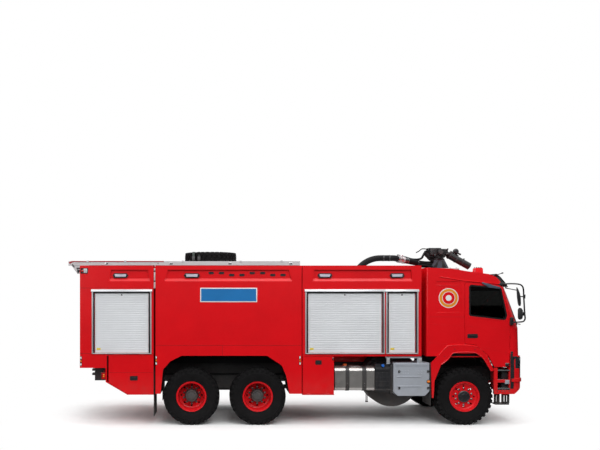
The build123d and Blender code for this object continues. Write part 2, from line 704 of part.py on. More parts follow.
def tow_jaw():
    """Jaw with its pin bore on the last crossmember."""
    front = CROSSMEMBERS[0][0] - CROSSMEMBER_LENGTH / 2 - RUNNING_GAP
    rear = REAR_BODY_X[0] + JAW_SETBACK
    jaw = box((rear, front), (-JAW_HALF_WIDTH, JAW_HALF_WIDTH), JAW_Z)
    middle = sum(JAW_Z) / 2
    jaw -= box((rear - CUT_OVER, front - JAW_BACK), (-JAW_HALF_WIDTH - CUT_OVER, JAW_HALF_WIDTH + CUT_OVER),
               (middle - JAW_SLOT / 2, middle + JAW_SLOT / 2))
    bore_x = rear + JAW_BORE_SETBACK
    return jaw - rod((bore_x, 0, JAW_Z[0] - CUT_OVER), (bore_x, 0, JAW_Z[1] + CUT_OVER), TOW_BORE_RADIUS)


def engine_block():
    """Plain block for the closed-in engine, and the radiator pack behind the grille."""
    half = RAIL_OUTER_Y - RAIL_FLANGE - 15
    block = box((2900, 4000), (-half, half), (810, CAB_FLOOR_Z - 8))
    for x in (3120, 3780):
        block += box((x - 50, x + 50), (-RAIL_OUTER_Y + 20, RAIL_OUTER_Y - 20), (RAIL_TOP_Z, RAIL_TOP_Z + 40))
    radiator = box((4185, 4275), (-half, half), (RADIATOR_SEAT_Z, CAB_FLOOR_Z - 30))
    return [block, radiator]


def leaf_springs():
    """Front springs with their hangers, and the bogie's springs clamped on a middle trunnion."""
    y0, y1 = RAIL_OUTER_Y - RAIL_FLANGE, RAIL_OUTER_Y
    seat = TYRE_RADIUS + 58
    x = FRONT_AXLE_X
    leaf = polygon((
        (x - 720, 750), (x - 400, 690), (x - 110, seat), (x + 110, seat), (x + 400, 690), (x + 720, 750),
        (x + 720, 772), (x + 400, 722), (x + 110, seat + 78), (x - 110, seat + 78), (x - 400, 722), (x - 720, 772),
    ))
    front = side_prism(leaf, y0, y1)
    for end in (-700, 700):
        front += side_prism(polygon(((x + end - 45, 750), (x + end + 45, 750), (x + end + 70, RAIL_BOTTOM_Z),
                                     (x + end - 70, RAIL_BOTTOM_Z))), y0, y1)
    middle = (FORE_BOGIE_X + AFT_BOGIE_X) / 2
    half = BOGIE_SPACING / 2
    seat = TYRE_RADIUS + 88
    pack = side_prism(polygon((
        (middle - half - 60, seat), (middle - half + 60, seat), (middle - 120, 640), (middle + 120, 640),
        (middle + half - 60, seat), (middle + half + 60, seat), (middle + half + 60, seat + 26),
        (middle + half - 80, seat + 34), (middle + 130, 760), (middle - 130, 760), (middle - half + 80, seat + 34),
        (middle - half - 60, seat + 26),
    )), y0, y1)
    pack += side_prism(polygon(((middle - 120, 755), (middle + 120, 755), (middle + 200, RAIL_BOTTOM_Z),
                                (middle - 200, RAIL_BOTTOM_Z))), y0, y1)
    return both_sides(front) + both_sides(pack)


def drive_shafts():
    """Transfer box under a crossmember with the shafts to the front axle and the bogie."""
    x0, x1 = TRANSFER_X
    z0, z1 = TRANSFER_Z
    gap = RUNNING_GAP
    case = arc_outline(((x0, z0, 60), (x1, z0, 60), (x1, z1, 40), (x0, z1, 40)))
    solids = [side_prism(case, -TRANSFER_HALF_WIDTH, TRANSFER_HALF_WIDTH)]
    # Shafts by (rear x, rear z, front x, front z, radius)
    axle_z = TYRE_RADIUS
    shafts = (
        (x1, FRONT_OUTPUT_Z, FRONT_AXLE_X - FRONT_CASE_RADIUS, axle_z, 42.0),
        (FORE_BOGIE_X + REAR_CASE_RADIUS, axle_z, x0, REAR_OUTPUT_Z, 48.0),
        (AFT_BOGIE_X + REAR_CASE_RADIUS, axle_z, FORE_BOGIE_X - REAR_CASE_RADIUS, axle_z, 42.0),
    )
    for rear_x, rear_z, front_x, front_z, radius in shafts:
        # A sloping shaft's end face leans by its radius times the slope
        lean = radius * abs(front_z - rear_z) / (front_x - rear_x)
        solids.append(rod((rear_x + gap + lean, 0, rear_z), (front_x - gap - lean, 0, front_z), radius))
    return solids + [round_housing()]


def round_housing():
    """Round black housing on the right rail, behind the tanks, with its flat top under the body."""
    inner = -RAIL_OUTER_Y - RUNNING_GAP
    drum = rod((HOUSING_X, inner, HOUSING_Z), (HOUSING_X, -RIGHT_TANK_INNER_Y + RUNNING_GAP, HOUSING_Z), HOUSING_RADIUS)
    reach = HOUSING_RADIUS + CUT_OVER
    above = box((HOUSING_X - reach, HOUSING_X + reach), (inner - TANK_OUTER_Y, 0), (HOUSING_TOP_Z, HOUSING_Z + reach))
    return drum - above


# Cab
def plan_section(z, front_x, front_round):
    """Plan outline of the cab at one height."""
    corners = (
        (CAB_REAR_X, -CAB_HALF_WIDTH, CAB_REAR_ROUND), (front_x, -CAB_HALF_WIDTH, front_round),
        (front_x, CAB_HALF_WIDTH, front_round), (CAB_REAR_X, CAB_HALF_WIDTH, CAB_REAR_ROUND),
    )
    return Pos(0, 0, z) * arc_outline(corners)


def cab_volume(bottom_z):
    """Outer form of the cab, solid, cut to the roof line."""
    body = loft([plan_section(*row) for row in CAB_SECTIONS], ruled=True)
    below_roof = [(CAB_REAR_X - 10, bottom_z), (CAB_REAR_X - 10, CAB_ROOF[0][1])] + list(CAB_ROOF)
    below_roof += [(CAB_SECTIONS[0][1] + 60, CAB_ROOF[-1][1] - 200), (CAB_SECTIONS[0][1] + 60, bottom_z)]
    return body & side_prism(polygon(below_roof), -CAB_HALF_WIDTH - 10, CAB_HALF_WIDTH + 10)


def cab_inside():
    """Space inside the cab, above the floor."""
    floor = CAB_FLOOR_Z + CAB_FLOOR_THICKNESS
    rear = CAB_REAR_X + CAB_WALL
    half = CAB_HALF_WIDTH - CAB_WALL
    outline = [(rear, floor), (rear, CAB_ROOF[0][1] - ROOF_THICKNESS)]
    outline += [(x - 0.4 * ROOF_THICKNESS, z - ROOF_THICKNESS) for x, z in CAB_ROOF[1:]]
    outline += [(CAB_SECTIONS[2][1] - 45, CAB_SECTIONS[2][0] - 20), (CAB_SECTIONS[1][1] - 55, CAB_SECTIONS[1][0]),
                (CAB_SECTIONS[0][1] - 65, floor)]
    return side_prism(polygon(outline), -half, half)


def windscreen_hole(shrink):
    """Prism through the cab front in the windscreen's outline."""
    half = WINDSCREEN_HALF_WIDTH - shrink
    low, high = WINDSCREEN_BOTTOM_Z + shrink, WINDSCREEN_TOP_Z - shrink
    r = WINDSCREEN_ROUND
    face = arc_outline(((-half, low, r), (half, low, r), (half, high, r), (-half, high, r)))
    return cross_prism(face, CAB_SECTIONS[-1][1] - CAB_WALL, CAB_SECTIONS[0][1] + CAB_WALL)


def door_prism(grow):
    """Prism through one side of the cab in the door's outline, grown by a gap."""
    face = arc_outline(DOOR_CORNERS)
    if grow:
        face = offset(face, grow, kind=Kind.INTERSECTION)
    return side_prism(face, CAB_HALF_WIDTH - CAB_WALL - 6, CAB_HALF_WIDTH + 20)


def cab_shell(volume, inside):
    """Pressed steel cab: roof, floor, rear and front panels, with the doorways and the windscreen cut out."""
    half = CAB_HALF_WIDTH + CUT_OVER
    below = box((CAB_REAR_X - CUT_OVER, CAB_SECTIONS[0][1] + CUT_OVER), (-half, half),
                (CAB_SKIN_BOTTOM_Z - CUT_OVER, CAB_FLOOR_Z))
    shell = volume - below - inside - windscreen_hole(0)
    doorway = door_prism(PANEL_GAP)
    shell = shell - doorway - other_side(doorway)
    tunnel = box((CAB_REAR_X + CAB_WALL, TUNNEL_FRONT_X), (-TUNNEL_HALF_WIDTH, TUNNEL_HALF_WIDTH),
                 (CAB_FLOOR_Z + CAB_FLOOR_THICKNESS, TUNNEL_TOP_Z))
    x0, x1 = SIDE_RECESS_X
    z0, z1 = SIDE_RECESS_Z
    r = SIDE_RECESS_ROUND
    recess = side_prism(arc_outline(((x0, z0, r), (x1, z0, r), (x1, z1, r), (x0, z1, r))),
                        CAB_HALF_WIDTH - SIDE_RECESS_DEPTH, half)
    arch = side_prism(arc_outline(CAB_ARCH_CORNERS), CAB_HALF_WIDTH - CAB_WALL, half)
    for cut in (recess, arch):
        shell = shell - cut - other_side(cut)
    return add_fixed_knuckles(shell + tunnel, door_hinges())


def door_hinges():
    """The left door's hinges."""
    return [hinge((DOOR_HINGE_X, DOOR_HINGE_Y, z), (0, 0, 1), DOOR_HINGE_RADIUS, 120) for z in DOOR_HINGE_HEIGHTS]


def door(volume):
    """Left door: outer form of the cab inside the door's outline, with its window cut out."""
    leaf = volume & side_prism(arc_outline(DOOR_CORNERS), CAB_HALF_WIDTH - CAB_WALL, CAB_HALF_WIDTH + 20)
    leaf = leaf - side_prism(arc_outline(DOOR_WINDOW), CAB_HALF_WIDTH - CAB_WALL - 20, CAB_HALF_WIDTH + 40)
    return add_moving_knuckles(leaf, door_hinges())


def door_glass():
    """Left door's window glass, set in the door's frame."""
    outer = CAB_HALF_WIDTH - GLASS_SET_BACK
    return side_prism(arc_outline(DOOR_WINDOW), outer - GLASS_THICKNESS, outer)


def windscreen(volume):
    """Windscreen glass, following the cab's outer form."""
    slab = volume - Pos(-GLASS_THICKNESS * 1.2, 0, 0) * volume
    pane = slab & windscreen_hole(0)
    return Pos(-6, 0, 0) * max(pane.solids(), key=lambda s: s.volume)


def fenders():
    """Arch trims with the mudguards behind the front wheels, and the liners over them."""
    face = arc_outline(FENDER_CORNERS)
    trim = side_prism(face, CAB_HALF_WIDTH, CAB_HALF_WIDTH + FENDER_PROUD)
    trim += side_prism(polygon(LINER_LINE), LINER_INNER_Y, CAB_HALF_WIDTH)
    return both_sides(trim)


# Body
def recess_band(x0, x1, slant):
    """Long recess under the roof edge for the scene lights, on both sides, with a sloping ledge along its foot."""
    low, high = BAND_Z
    inner = BODY_HALF_WIDTH - BAND_DEPTH
    face = polygon(((x0 + slant, high), (x1 - slant, high), (x1, low), (x0, low)))
    cut = side_prism(face, inner, BODY_HALF_WIDTH + CUT_OVER)
    ledge = polygon(((inner - CUT_OVER, low), (BODY_HALF_WIDTH, low), (inner, low + BAND_LEDGE),
                     (inner - CUT_OVER, low + BAND_LEDGE)))
    cut -= cross_prism(ledge, x0 - CUT_OVER, x1 + CUT_OVER)
    return [cut, other_side(cut)]


def roof_recess(x0, x1):
    """Sunk walkway between the roof edges."""
    half = ROOF_RECESS_HALF_WIDTH
    return box((x0, x1), (-half, half), (BODY_TOP_Z - ROOF_RECESS_DEPTH, BODY_TOP_Z + 10))


# Each side shutter's opening from the rear, as (x from, x to)
SIDE_SHUTTERS = ((-4095.0, -2990.0), (225.0, 1733.0), (1860.0, 2411.0))


def locker_space(x0, x1):
    """Room behind a side shutter, on both sides of the middle wall."""
    space = box((x0, x1), (BODY_WALL, BODY_HALF_WIDTH + CUT_OVER), (SHUTTER_SILL_Z, SHUTTER_TOP_Z))
    return space + other_side(space)


def front_body():
    """Front body module with its three side lockers a side and the low flap lockers."""
    x0, x1 = FRONT_BODY_X
    bottom = FRONT_BODY_BOTTOM_Z
    shell = box((x0, x1), (-BODY_HALF_WIDTH, BODY_HALF_WIDTH), (bottom, BODY_TOP_Z))
    shell -= roof_recess(x0 + BODY_WALL, x1 - BODY_WALL)
    for opening in SIDE_SHUTTERS[1:]:
        shell -= locker_space(*opening)
    for cut in recess_band(*FRONT_BAND):
        shell -= cut
    for side in (-1, 1):
        y = sorted((side * (RAIL_OUTER_Y - RAIL_FLANGE), side * RAIL_OUTER_Y))
        shell += box((x0 + 60, x1 - 60), y, (SUBFRAME_TOP_Z, bottom))
        y = sorted((side * (BODY_HALF_WIDTH - LOCKER_DEPTH), side * (BODY_HALF_WIDTH)))
        low = box(FRONT_LOCKER_X, y, (LOCKER_BOTTOM_Z, bottom + 1))
        outer = sorted((side * (BODY_HALF_WIDTH - LOCKER_DEPTH + LOCKER_WALL), side * (BODY_HALF_WIDTH + 5)))
        room = box((FRONT_LOCKER_X[0] + LOCKER_WALL, FRONT_LOCKER_X[1] - LOCKER_WALL), outer,
                   (LOCKER_BOTTOM_Z + LOCKER_WALL, bottom - 10))
        door_y = sorted((side * (BODY_HALF_WIDTH - FLAP_THICKNESS - 2), side * (BODY_HALF_WIDTH + 5)))
        mouth = box((FRONT_LOCKER_X[0] - 5, FRONT_LOCKER_X[1] + 5), door_y, (LOCKER_BOTTOM_Z + FRONT_FLAP_LIP, bottom))
        shell += low - room - mouth
    return add_fixed_knuckles(shell, front_flap_hinges())


def rear_locker_outline(inset):
    """Side outline of the low rear locker, inset by a wall or a gap."""
    x0, x1 = REAR_LOCKER_X
    return (
        (x0 + inset, REAR_LOCKER_SLANT_Z + inset * 0.4, 0), (REAR_LOCKER_SLANT_X + inset * 0.4, LOCKER_BOTTOM_Z + inset, 0),
        (x1 - inset, LOCKER_BOTTOM_Z + inset, 0), (x1 - inset, REAR_LOCKER_TOP_Z - inset, 0),
        (x0 + inset, REAR_LOCKER_TOP_Z - inset, 0),
    )


def rear_body():
    """Rear body module with its side and rear lockers and the low flap lockers."""
    x0, x1 = REAR_BODY_X
    shell = box((x0, x1), (-BODY_HALF_WIDTH, BODY_HALF_WIDTH), (REAR_BODY_BOTTOM_Z, BODY_TOP_Z))
    shell -= roof_recess(x0 + BODY_WALL, x1 - BODY_WALL)
    shell -= box((RAIL_REAR_X - 20, x1 + 10), (-RAIL_OUTER_Y - 15, RAIL_OUTER_Y + 15), (REAR_BODY_BOTTOM_Z - 10, SUBFRAME_TOP_Z))
    shell -= locker_space(*SIDE_SHUTTERS[0])
    half = REAR_SHUTTER_HALF_WIDTH
    shell -= box((x0 - CUT_OVER, x0 + REAR_SHUTTER_DEPTH), (-half, half), (SHUTTER_SILL_Z, SHUTTER_TOP_Z))
    for cut in recess_band(*REAR_BAND):
        shell -= cut
    for pocket in both_sides(corner_lamp(0)):
        shell -= pocket
    for side in (-1, 1):
        outer = side_prism(arc_outline(rear_locker_outline(0)), side * (BODY_HALF_WIDTH - LOCKER_DEPTH), side * BODY_HALF_WIDTH)
        shell += outer
        room = side_prism(arc_outline(rear_locker_outline(LOCKER_WALL)), side * (BODY_HALF_WIDTH - LOCKER_DEPTH + LOCKER_WALL),
                          side * (BODY_HALF_WIDTH + 5))
        mouth = side_prism(arc_outline(rear_flap_outline(-PANEL_GAP)), side * (BODY_HALF_WIDTH - FLAP_THICKNESS - 2),
                           side * (BODY_HALF_WIDTH + 5))
        shell = shell - room - mouth
    return add_fixed_knuckles(shell, rear_flap_hinges())


def rear_flap_outline(inset):
    """Outline of the low rear locker's flap."""
    x0, x1 = REAR_LOCKER_X
    x0 += 60
    x1 -= PANEL_GAP
    low = LOCKER_BOTTOM_Z + PANEL_GAP
    return (
        (x0 + inset, REAR_LOCKER_SLANT_Z - 25 + inset * 0.6, 0), (REAR_LOCKER_SLANT_X + 10 + inset * 0.6, low + inset, 0),
        (x1 - inset, low + inset, 0), (x1 - inset, REAR_LOCKER_TOP_Z - PANEL_GAP - inset, 0),
        (x0 + inset, REAR_LOCKER_TOP_Z - PANEL_GAP - inset, 0),
    )


def tank_body():
    """Water tank module: solid, with the arches over the bogie's wheels and a skirt at each end of them."""
    x0, x1 = TANK_BODY_X
    body = box((x0, x1), (-BODY_HALF_WIDTH, BODY_HALF_WIDTH), (SUBFRAME_TOP_Z, BODY_TOP_Z))
    for side in (-1, 1):
        y = sorted((side * ARCH_INNER_Y, side * BODY_HALF_WIDTH))
        body += box((x0, x1), y, (SKIRT_BOTTOM_Z, SUBFRAME_TOP_Z))
        body -= side_prism(arc_outline(ARCH_CORNERS), side * (ARCH_INNER_Y - 1), side * (BODY_HALF_WIDTH + 5))
    body -= roof_recess(x0 + BODY_WALL, x1 - BODY_WALL)
    for cut in recess_band(*TANK_BAND):
        body -= cut
    return body


def flap(corners):
    """Flat locker flap on the left side."""
    return side_prism(arc_outline(corners), BODY_HALF_WIDTH - FLAP_THICKNESS, BODY_HALF_WIDTH)


def front_flap():
    """Left front flap, hinged at its foot."""
    x0, x1 = FRONT_LOCKER_X
    low, high = LOCKER_BOTTOM_Z + FRONT_FLAP_LIP + PANEL_GAP, FRONT_BODY_BOTTOM_Z - PANEL_GAP
    leaf = flap(((x0 + PANEL_GAP, low, 12), (x1 - PANEL_GAP, low, 12), (x1 - PANEL_GAP, high, 12), (x0 + PANEL_GAP, high, 12)))
    return add_moving_knuckles(leaf, front_flap_hinges())


def rear_flap():
    """Left rear flap, hinged at its head."""
    return add_moving_knuckles(flap(rear_flap_outline(0)), rear_flap_hinges())


def front_flap_hinges():
    """Hinges at the foot of the left front flap."""
    z = LOCKER_BOTTOM_Z + FRONT_FLAP_LIP + PANEL_GAP / 2
    y = BODY_HALF_WIDTH + FLAP_HINGE_OUT
    return [hinge((x, y, z), (1, 0, 0), FLAP_HINGE_RADIUS, FLAP_HINGE_LENGTH) for x in FRONT_FLAP_HINGES]


def rear_flap_hinges():
    """Hinges at the head of the left rear flap."""
    z = REAR_LOCKER_TOP_Z - PANEL_GAP / 2
    y = BODY_HALF_WIDTH + FLAP_HINGE_OUT
    return [hinge((x, y, z), (1, 0, 0), FLAP_HINGE_RADIUS, FLAP_HINGE_LENGTH) for x in REAR_FLAP_HINGES]


def curtain(x0, x1, y):
    """Slatted shutter curtain whose outer face is at y, on the left side."""
    outline = [(y - CURTAIN_THICKNESS, SHUTTER_SILL_Z), (y, SHUTTER_SILL_Z)]
    z = SHUTTER_SILL_Z + SLAT_PITCH
    while z < SHUTTER_TOP_Z - SLAT_PITCH:
        outline += [(y, z - SLAT_GROOVE_HALF), (y - SLAT_GROOVE, z), (y, z + SLAT_GROOVE_HALF)]
        z += 3 * SLAT_PITCH
    outline += [(y, SHUTTER_TOP_Z), (y - CURTAIN_THICKNESS, SHUTTER_TOP_Z)]
    return cross_prism(polygon(outline), x0, x1)


def shutters():
    """Side shutters' curtains on both sides and the rear one."""
    y = BODY_HALF_WIDTH - CURTAIN_SET_BACK
    solids = []
    for x0, x1 in SIDE_SHUTTERS:
        solids += both_sides(curtain(x0, x1, y))
    half = REAR_SHUTTER_HALF_WIDTH
    solids.append(Rot(0, 0, 90) * curtain(-half, half, -REAR_BODY_X[0] - CURTAIN_SET_BACK))
    return solids


def shutter_frames():
    """Aluminium frames round the side shutters, proud of the body."""
    solids = []
    face_y = BODY_HALF_WIDTH
    proud_y = face_y + SHUTTER_FRAME_PROUD
    edge = SHUTTER_FRAME
    for x0, x1 in SIDE_SHUTTERS:
        outer = box((x0 - edge, x1 + edge), (face_y, proud_y), (SHUTTER_SILL_Z - SHUTTER_FRAME_FOOT, SHUTTER_TOP_Z + edge))
        outer -= box((x0, x1), (face_y - CUT_OVER, proud_y + CUT_OVER), (SHUTTER_SILL_Z, SHUTTER_TOP_Z))
        solids += both_sides(outer)
    return solids


def roof_deck():
    """Aluminium walkway plates in the sunk roof of each module."""
    plates = []
    half = ROOF_RECESS_HALF_WIDTH - DECK_EDGE
    low = BODY_TOP_Z - ROOF_RECESS_DEPTH
    inset = BODY_WALL + DECK_EDGE
    for x0, x1 in (REAR_BODY_X, TANK_BODY_X, FRONT_BODY_X):
        plates.append(box((x0 + inset, x1 - inset), (-half, half), (low, low + DECK_PLATE)))
    return plates


def roof_board():
    """Long ladder case on the right roof edge, which overhangs the rear, with its rear bracket."""
    outer, inner = LADDER_CASE_Y[0] - BODY_HALF_WIDTH, LADDER_CASE_Y[1] - BODY_HALF_WIDTH
    case = box((REAR_END_X, LADDER_CASE_FRONT_X), (outer, inner), (BODY_TOP_Z, BODY_TOP_Z + LADDER_CASE_HEIGHT))
    foot = BODY_TOP_Z - CASE_BRACKET_DROP
    top_x, foot_x = CASE_BRACKET_X
    web = polygon(((top_x, BODY_TOP_Z), (foot_x, foot), (REAR_BODY_X[0], foot), (REAR_BODY_X[0], BODY_TOP_Z)))
    return case + side_prism(web, outer + CUT_OVER, (outer + inner) / 2)


def rear_ladder():
    """Ladder up the left of the rear face."""
    x = REAR_BODY_X[0] - LADDER_STAND_OFF
    outer, inner = (BODY_HALF_WIDTH - inset for inset in LADDER_INSET)
    ladder = Part()
    for y in (inner, outer):
        ladder += rod((x, y, LADDER_FOOT_Z), (x, y, BODY_TOP_Z - LADDER_TOP_GAP), LADDER_RAIL_RADIUS)
        for z in LADDER_STAY_Z:
            ladder += rod((x, y, z), (REAR_BODY_X[0], y, z), RUNG_RADIUS)
    for i in range(RUNGS):
        z = FIRST_RUNG_Z + i * RUNG_PITCH
        ladder += rod((x, inner, z), (x, outer, z), RUNG_RADIUS)
    return ladder


def spare_wheel():
    """Spare tyre lying on the roof deck, with its rim."""
    deck = BODY_TOP_Z - ROOF_RECESS_DEPTH + DECK_PLATE
    turn = Pos(SPARE_X, SPARE_Y, deck + TYRE_WIDTH / 2) * Rot(90, 0, 0)
    return turn * tyre(), turn * rim(REAR_DISC_OUT, REAR_HUB_IN + SPARE_HUB_SHORT, REAR_DISC_OUT + SPARE_HUB_PROUD)


# Front end
def bumper_plan(inset):
    """Plan outline of the bumper."""
    half = CAB_HALF_WIDTH - inset
    front = BUMPER_FRONT_X - inset
    r = BUMPER_ROUND - inset
    return arc_outline((
        (BUMPER_REAR_X - inset, -half, 0), (front, -half, r), (front, half, r), (BUMPER_REAR_X - inset, half, 0),
    ))


def under_slope(shift):
    """Prism under the bumper's sloping lower front, with the slope moved rearwards."""
    run = BUMPER_FRONT_X - BUMPER_SLOPE_X
    rise = BUMPER_SLOPE_Z - BUMPER_BOTTOM_Z
    low, high = (BUMPER_SLOPE_X - run - shift, BUMPER_BOTTOM_Z - rise), (BUMPER_FRONT_X + run - shift, BUMPER_SLOPE_Z + rise)
    half = CAB_HALF_WIDTH + CUT_OVER
    return side_prism(polygon((low, high, (high[0], low[1]))), -half, half)


def bumper():
    """Steel bumper with its step openings, lamp openings, grille opening and tow lug."""
    z0, z1 = BUMPER_BOTTOM_Z, BUMPER_TOP_Z
    over = CUT_OVER
    run = BUMPER_FRONT_X - BUMPER_SLOPE_X
    rise = BUMPER_SLOPE_Z - BUMPER_BOTTOM_Z
    wall_along = BUMPER_WALL * hypot(run, rise) / rise
    shell = plan_prism(bumper_plan(0), z0, z1) - under_slope(0)
    shell -= plan_prism(bumper_plan(BUMPER_WALL), z0 - over, z1 + over) - under_slope(wall_along)
    lip_z = (LIP_BOTTOM_Z - over, LIP_TOP_Z + over)
    lip = plan_prism(bumper_plan(BUMPER_FRONT_X - FRONT_END_X), LIP_BOTTOM_Z, LIP_TOP_Z)
    lip -= plan_prism(bumper_plan(1), *lip_z)
    half = CAB_HALF_WIDTH + BUMPER_ROUND
    lip -= box((BUMPER_REAR_X - BUMPER_ROUND, LIP_REAR_X), (-half, half), lip_z)
    shell += lip
    shell -= box((BUMPER_REAR_X - BUMPER_ROUND, BUMPER_REAR_X), (-half, half), (z0 - over, z1 + over))
    # The door's foot hangs over the bay, so the skin stops under it
    skin_top = CAB_SKIN_BOTTOM_Z - PANEL_GAP
    shell -= box((BUMPER_REAR_X - over, STEP_BAY_X[1] + BAY_FRONT_EDGE), (-half, half), (skin_top, z1 + over))
    skin_y = (CAB_HALF_WIDTH - BUMPER_WALL - over, half)
    lamp_x = (LAMP_REAR_X, BUMPER_FRONT_X + over)
    for low, high in ((STEP_BAY_Z[0], STEP_SHELF_Z[0]), (STEP_SHELF_Z[1], skin_top + over)):
        opening = box(STEP_BAY_X, skin_y, (low, high))
        shell = shell - opening - other_side(opening)
    lamp_hole = box(lamp_x, (LAMP_INNER_Y, half), LAMP_Z)
    shell = shell - lamp_hole - other_side(lamp_hole)
    shell -= cross_prism(grille_outline(0), BUMPER_FRONT_X - 2 * BUMPER_WALL, FRONT_END_X)
    wall_x = BUMPER_FRONT_X - BUMPER_WALL
    slot_x = (BUMPER_SLOPE_X - wall_along - over, FRONT_END_X)
    shell -= box(slot_x, (-TOW_SLOT_HALF, TOW_SLOT_HALF), (z0 - over, TOW_SLOT_TOP_Z))
    plate_y = (-TOW_PLATE_HALF, TOW_PLATE_HALF)
    plate_top = TOW_SLOT_TOP_Z + TOW_PLATE
    lug = box((TOW_LUG_X, FRONT_END_X), (-TOW_LUG_HALF, TOW_LUG_HALF), TOW_LUG_Z)
    lug += box((TOW_LUG_X, TOW_LUG_X + TOW_PLATE), plate_y, (TOW_LUG_Z[0], plate_top))
    lug += box((TOW_LUG_X, wall_x + over), plate_y, (TOW_SLOT_TOP_Z, plate_top))
    bore = rod((FRONT_END_X - TOW_BORE_SETBACK, 0, TOW_LUG_Z[0] - over),
               (FRONT_END_X - TOW_BORE_SETBACK, 0, TOW_LUG_Z[1] + over), TOW_BORE_RADIUS)
    return shell + lug - bore


def cab_steps():
    """Step box behind each side opening of the bumper, with the lowest step hung under it on rubber straps."""
    x0, x1 = STEP_BAY_X[0] - STEP_WALL, STEP_BAY_X[1] + STEP_WALL
    z0, z1 = STEP_BAY_Z[0] - STEP_WALL, STEP_BAY_Z[1] - STEP_WALL
    face_y = CAB_HALF_WIDTH - BUMPER_WALL - RUNNING_GAP
    unit = box((x0, x1), (STEP_BAY_INNER_Y, face_y), (z0, z1))
    room_y = (STEP_BAY_INNER_Y + STEP_WALL, face_y + CUT_OVER)
    unit -= box(STEP_BAY_X, room_y, (STEP_BAY_Z[0], STEP_SHELF_Z[0]))
    unit -= box(STEP_BAY_X, room_y, (STEP_SHELF_Z[1], z1 + CUT_OVER))
    unit += box((x0, x1), (HANGING_STEP_INNER_Y, face_y), (HANGING_STEP_Z, HANGING_STEP_Z + HANGING_TREAD))
    for x in (STEP_BAY_X[0] + STEP_WALL, STEP_BAY_X[1] - 3 * STEP_WALL):
        unit += box((x, x + HANGING_TREAD), (face_y - STRAP_WIDTH, face_y), (HANGING_STEP_Z, z0 + 1))
    return both_sides(unit)


def headlamps():
    """Lamp units in the bumper's corners."""
    gap = RUNNING_GAP
    unit = plan_prism(bumper_plan(LAMP_SET_BACK), LAMP_Z[0] + gap, LAMP_Z[1] - gap)
    unit -= plan_prism(bumper_plan(BUMPER_WALL + LAMP_DEPTH), LAMP_Z[0] - CUT_OVER, LAMP_Z[1] + CUT_OVER)
    unit &= box((LAMP_REAR_X + gap, FRONT_END_X), (LAMP_INNER_Y + gap, CAB_HALF_WIDTH), LAMP_Z)
    return both_sides(unit)


def grille_outline(inset):
    """Outline of the opening between the lamps."""
    half = GRILLE_HALF_WIDTH - inset
    low, high = GRILLE_Z[0] + inset, GRILLE_Z[1] - inset
    r = GRILLE_ROUND - inset / 2
    return arc_outline(((-half, low, r), (half, low, r), (half, high, r), (-half, high, r)))


def front_grille():
    """Slatted grille between the lamps."""
    back = BUMPER_FRONT_X - GRILLE_BACK
    front = BUMPER_FRONT_X - GRILLE_SET_BACK
    grille = cross_prism(grille_outline(0), back, front)
    grille -= cross_prism(grille_outline(GRILLE_BORDER), back - CUT_OVER, front + CUT_OVER)
    low = GRILLE_Z[0] + GRILLE_BORDER
    pitch = (GRILLE_Z[1] - GRILLE_BORDER - low) / GRILLE_SLATS
    slat_half = GRILLE_HALF_WIDTH - GRILLE_BORDER + 2
    for i in range(GRILLE_SLATS):
        z = low + (i + 0.5) * pitch
        grille += box((back + 3, front - 5), (-slat_half, slat_half), (z - GRILLE_SLAT / 2, z + GRILLE_SLAT / 2))
    return grille


def sun_visor():
    """Tinted visor over the windscreen with its three arms."""
    blade = side_prism(polygon(VISOR_BLADE), -VISOR_HALF_WIDTH, VISOR_HALF_WIDTH)
    for share in (-0.8, 0.0, 0.8):
        y = share * VISOR_HALF_WIDTH
        blade += side_prism(polygon(VISOR_ARM), y - VISOR_ARM_HALF, y + VISOR_ARM_HALF)
    return blade


def mirrors():
    """Two mirror heads a side on a tube frame from the door pillar."""
    y = CAB_HALF_WIDTH + MIRROR_REACH
    foot_y = y - MIRROR_LEAN
    r = MIRROR_TUBE_RADIUS
    # The frame's corners, from the roof edge round the front to the foot, as (x, y, z)
    corners = ((4225, foot_y, 2868), (4465, y, 2858), (4535, y, 2740), (4568, y, 2250), (4535, y, 2150), (4368, foot_y, 2080))
    loop = rod((4205, CAB_HALF_WIDTH - 5, 2866), corners[0], r)
    for start, end in zip(corners, corners[1:]):
        loop += rod(start, end, r)
    for corner in corners[1:-1]:
        loop += Pos(*corner) * Sphere(r)
    for low, high, front, depth in MIRROR_HEADS:
        bow = MIRROR_HEAD_ROUND
        face = arc_outline(((front - depth, low, 0), (front, low, bow), (front, high, bow), (front - depth, high, 0)))
        loop += side_prism(face, y - MIRROR_HEAD_INNER, y + MIRROR_HEAD_OUTER)
        middle = (low + high) / 2
        loop += rod((front - MIRROR_TUBE_RADIUS, y, middle), (MIRROR_ARM_X, y, middle), r)
    foot_x, foot_z = corners[-1][0], corners[-1][2] - MIRROR_FOOT_DROP
    loop += rod((foot_x, foot_y, foot_z), (foot_x, CAB_HALF_WIDTH + RUNNING_GAP, foot_z), MIRROR_FOOT_RADIUS)
    return both_sides(loop)


# Side equipment
def fuel_tank():
    """Rounded aluminium tank on the right with two straps."""
    x0, x1 = FUEL_TANK_X
    z0, z1 = FUEL_TANK_Z
    r = TANK_ROUND
    inner = RIGHT_TANK_INNER_Y
    face = arc_outline(((-TANK_OUTER_Y, z0, r), (-inner, z0, r), (-inner, z1, r), (-TANK_OUTER_Y, z1, r)))
    tank = cross_prism(face, x0, x1)
    for arm in TANK_ARMS:
        tank += box(arm, (-inner - 1, -RAIL_OUTER_Y - RUNNING_GAP), TANK_ARM_Z)
    return tank


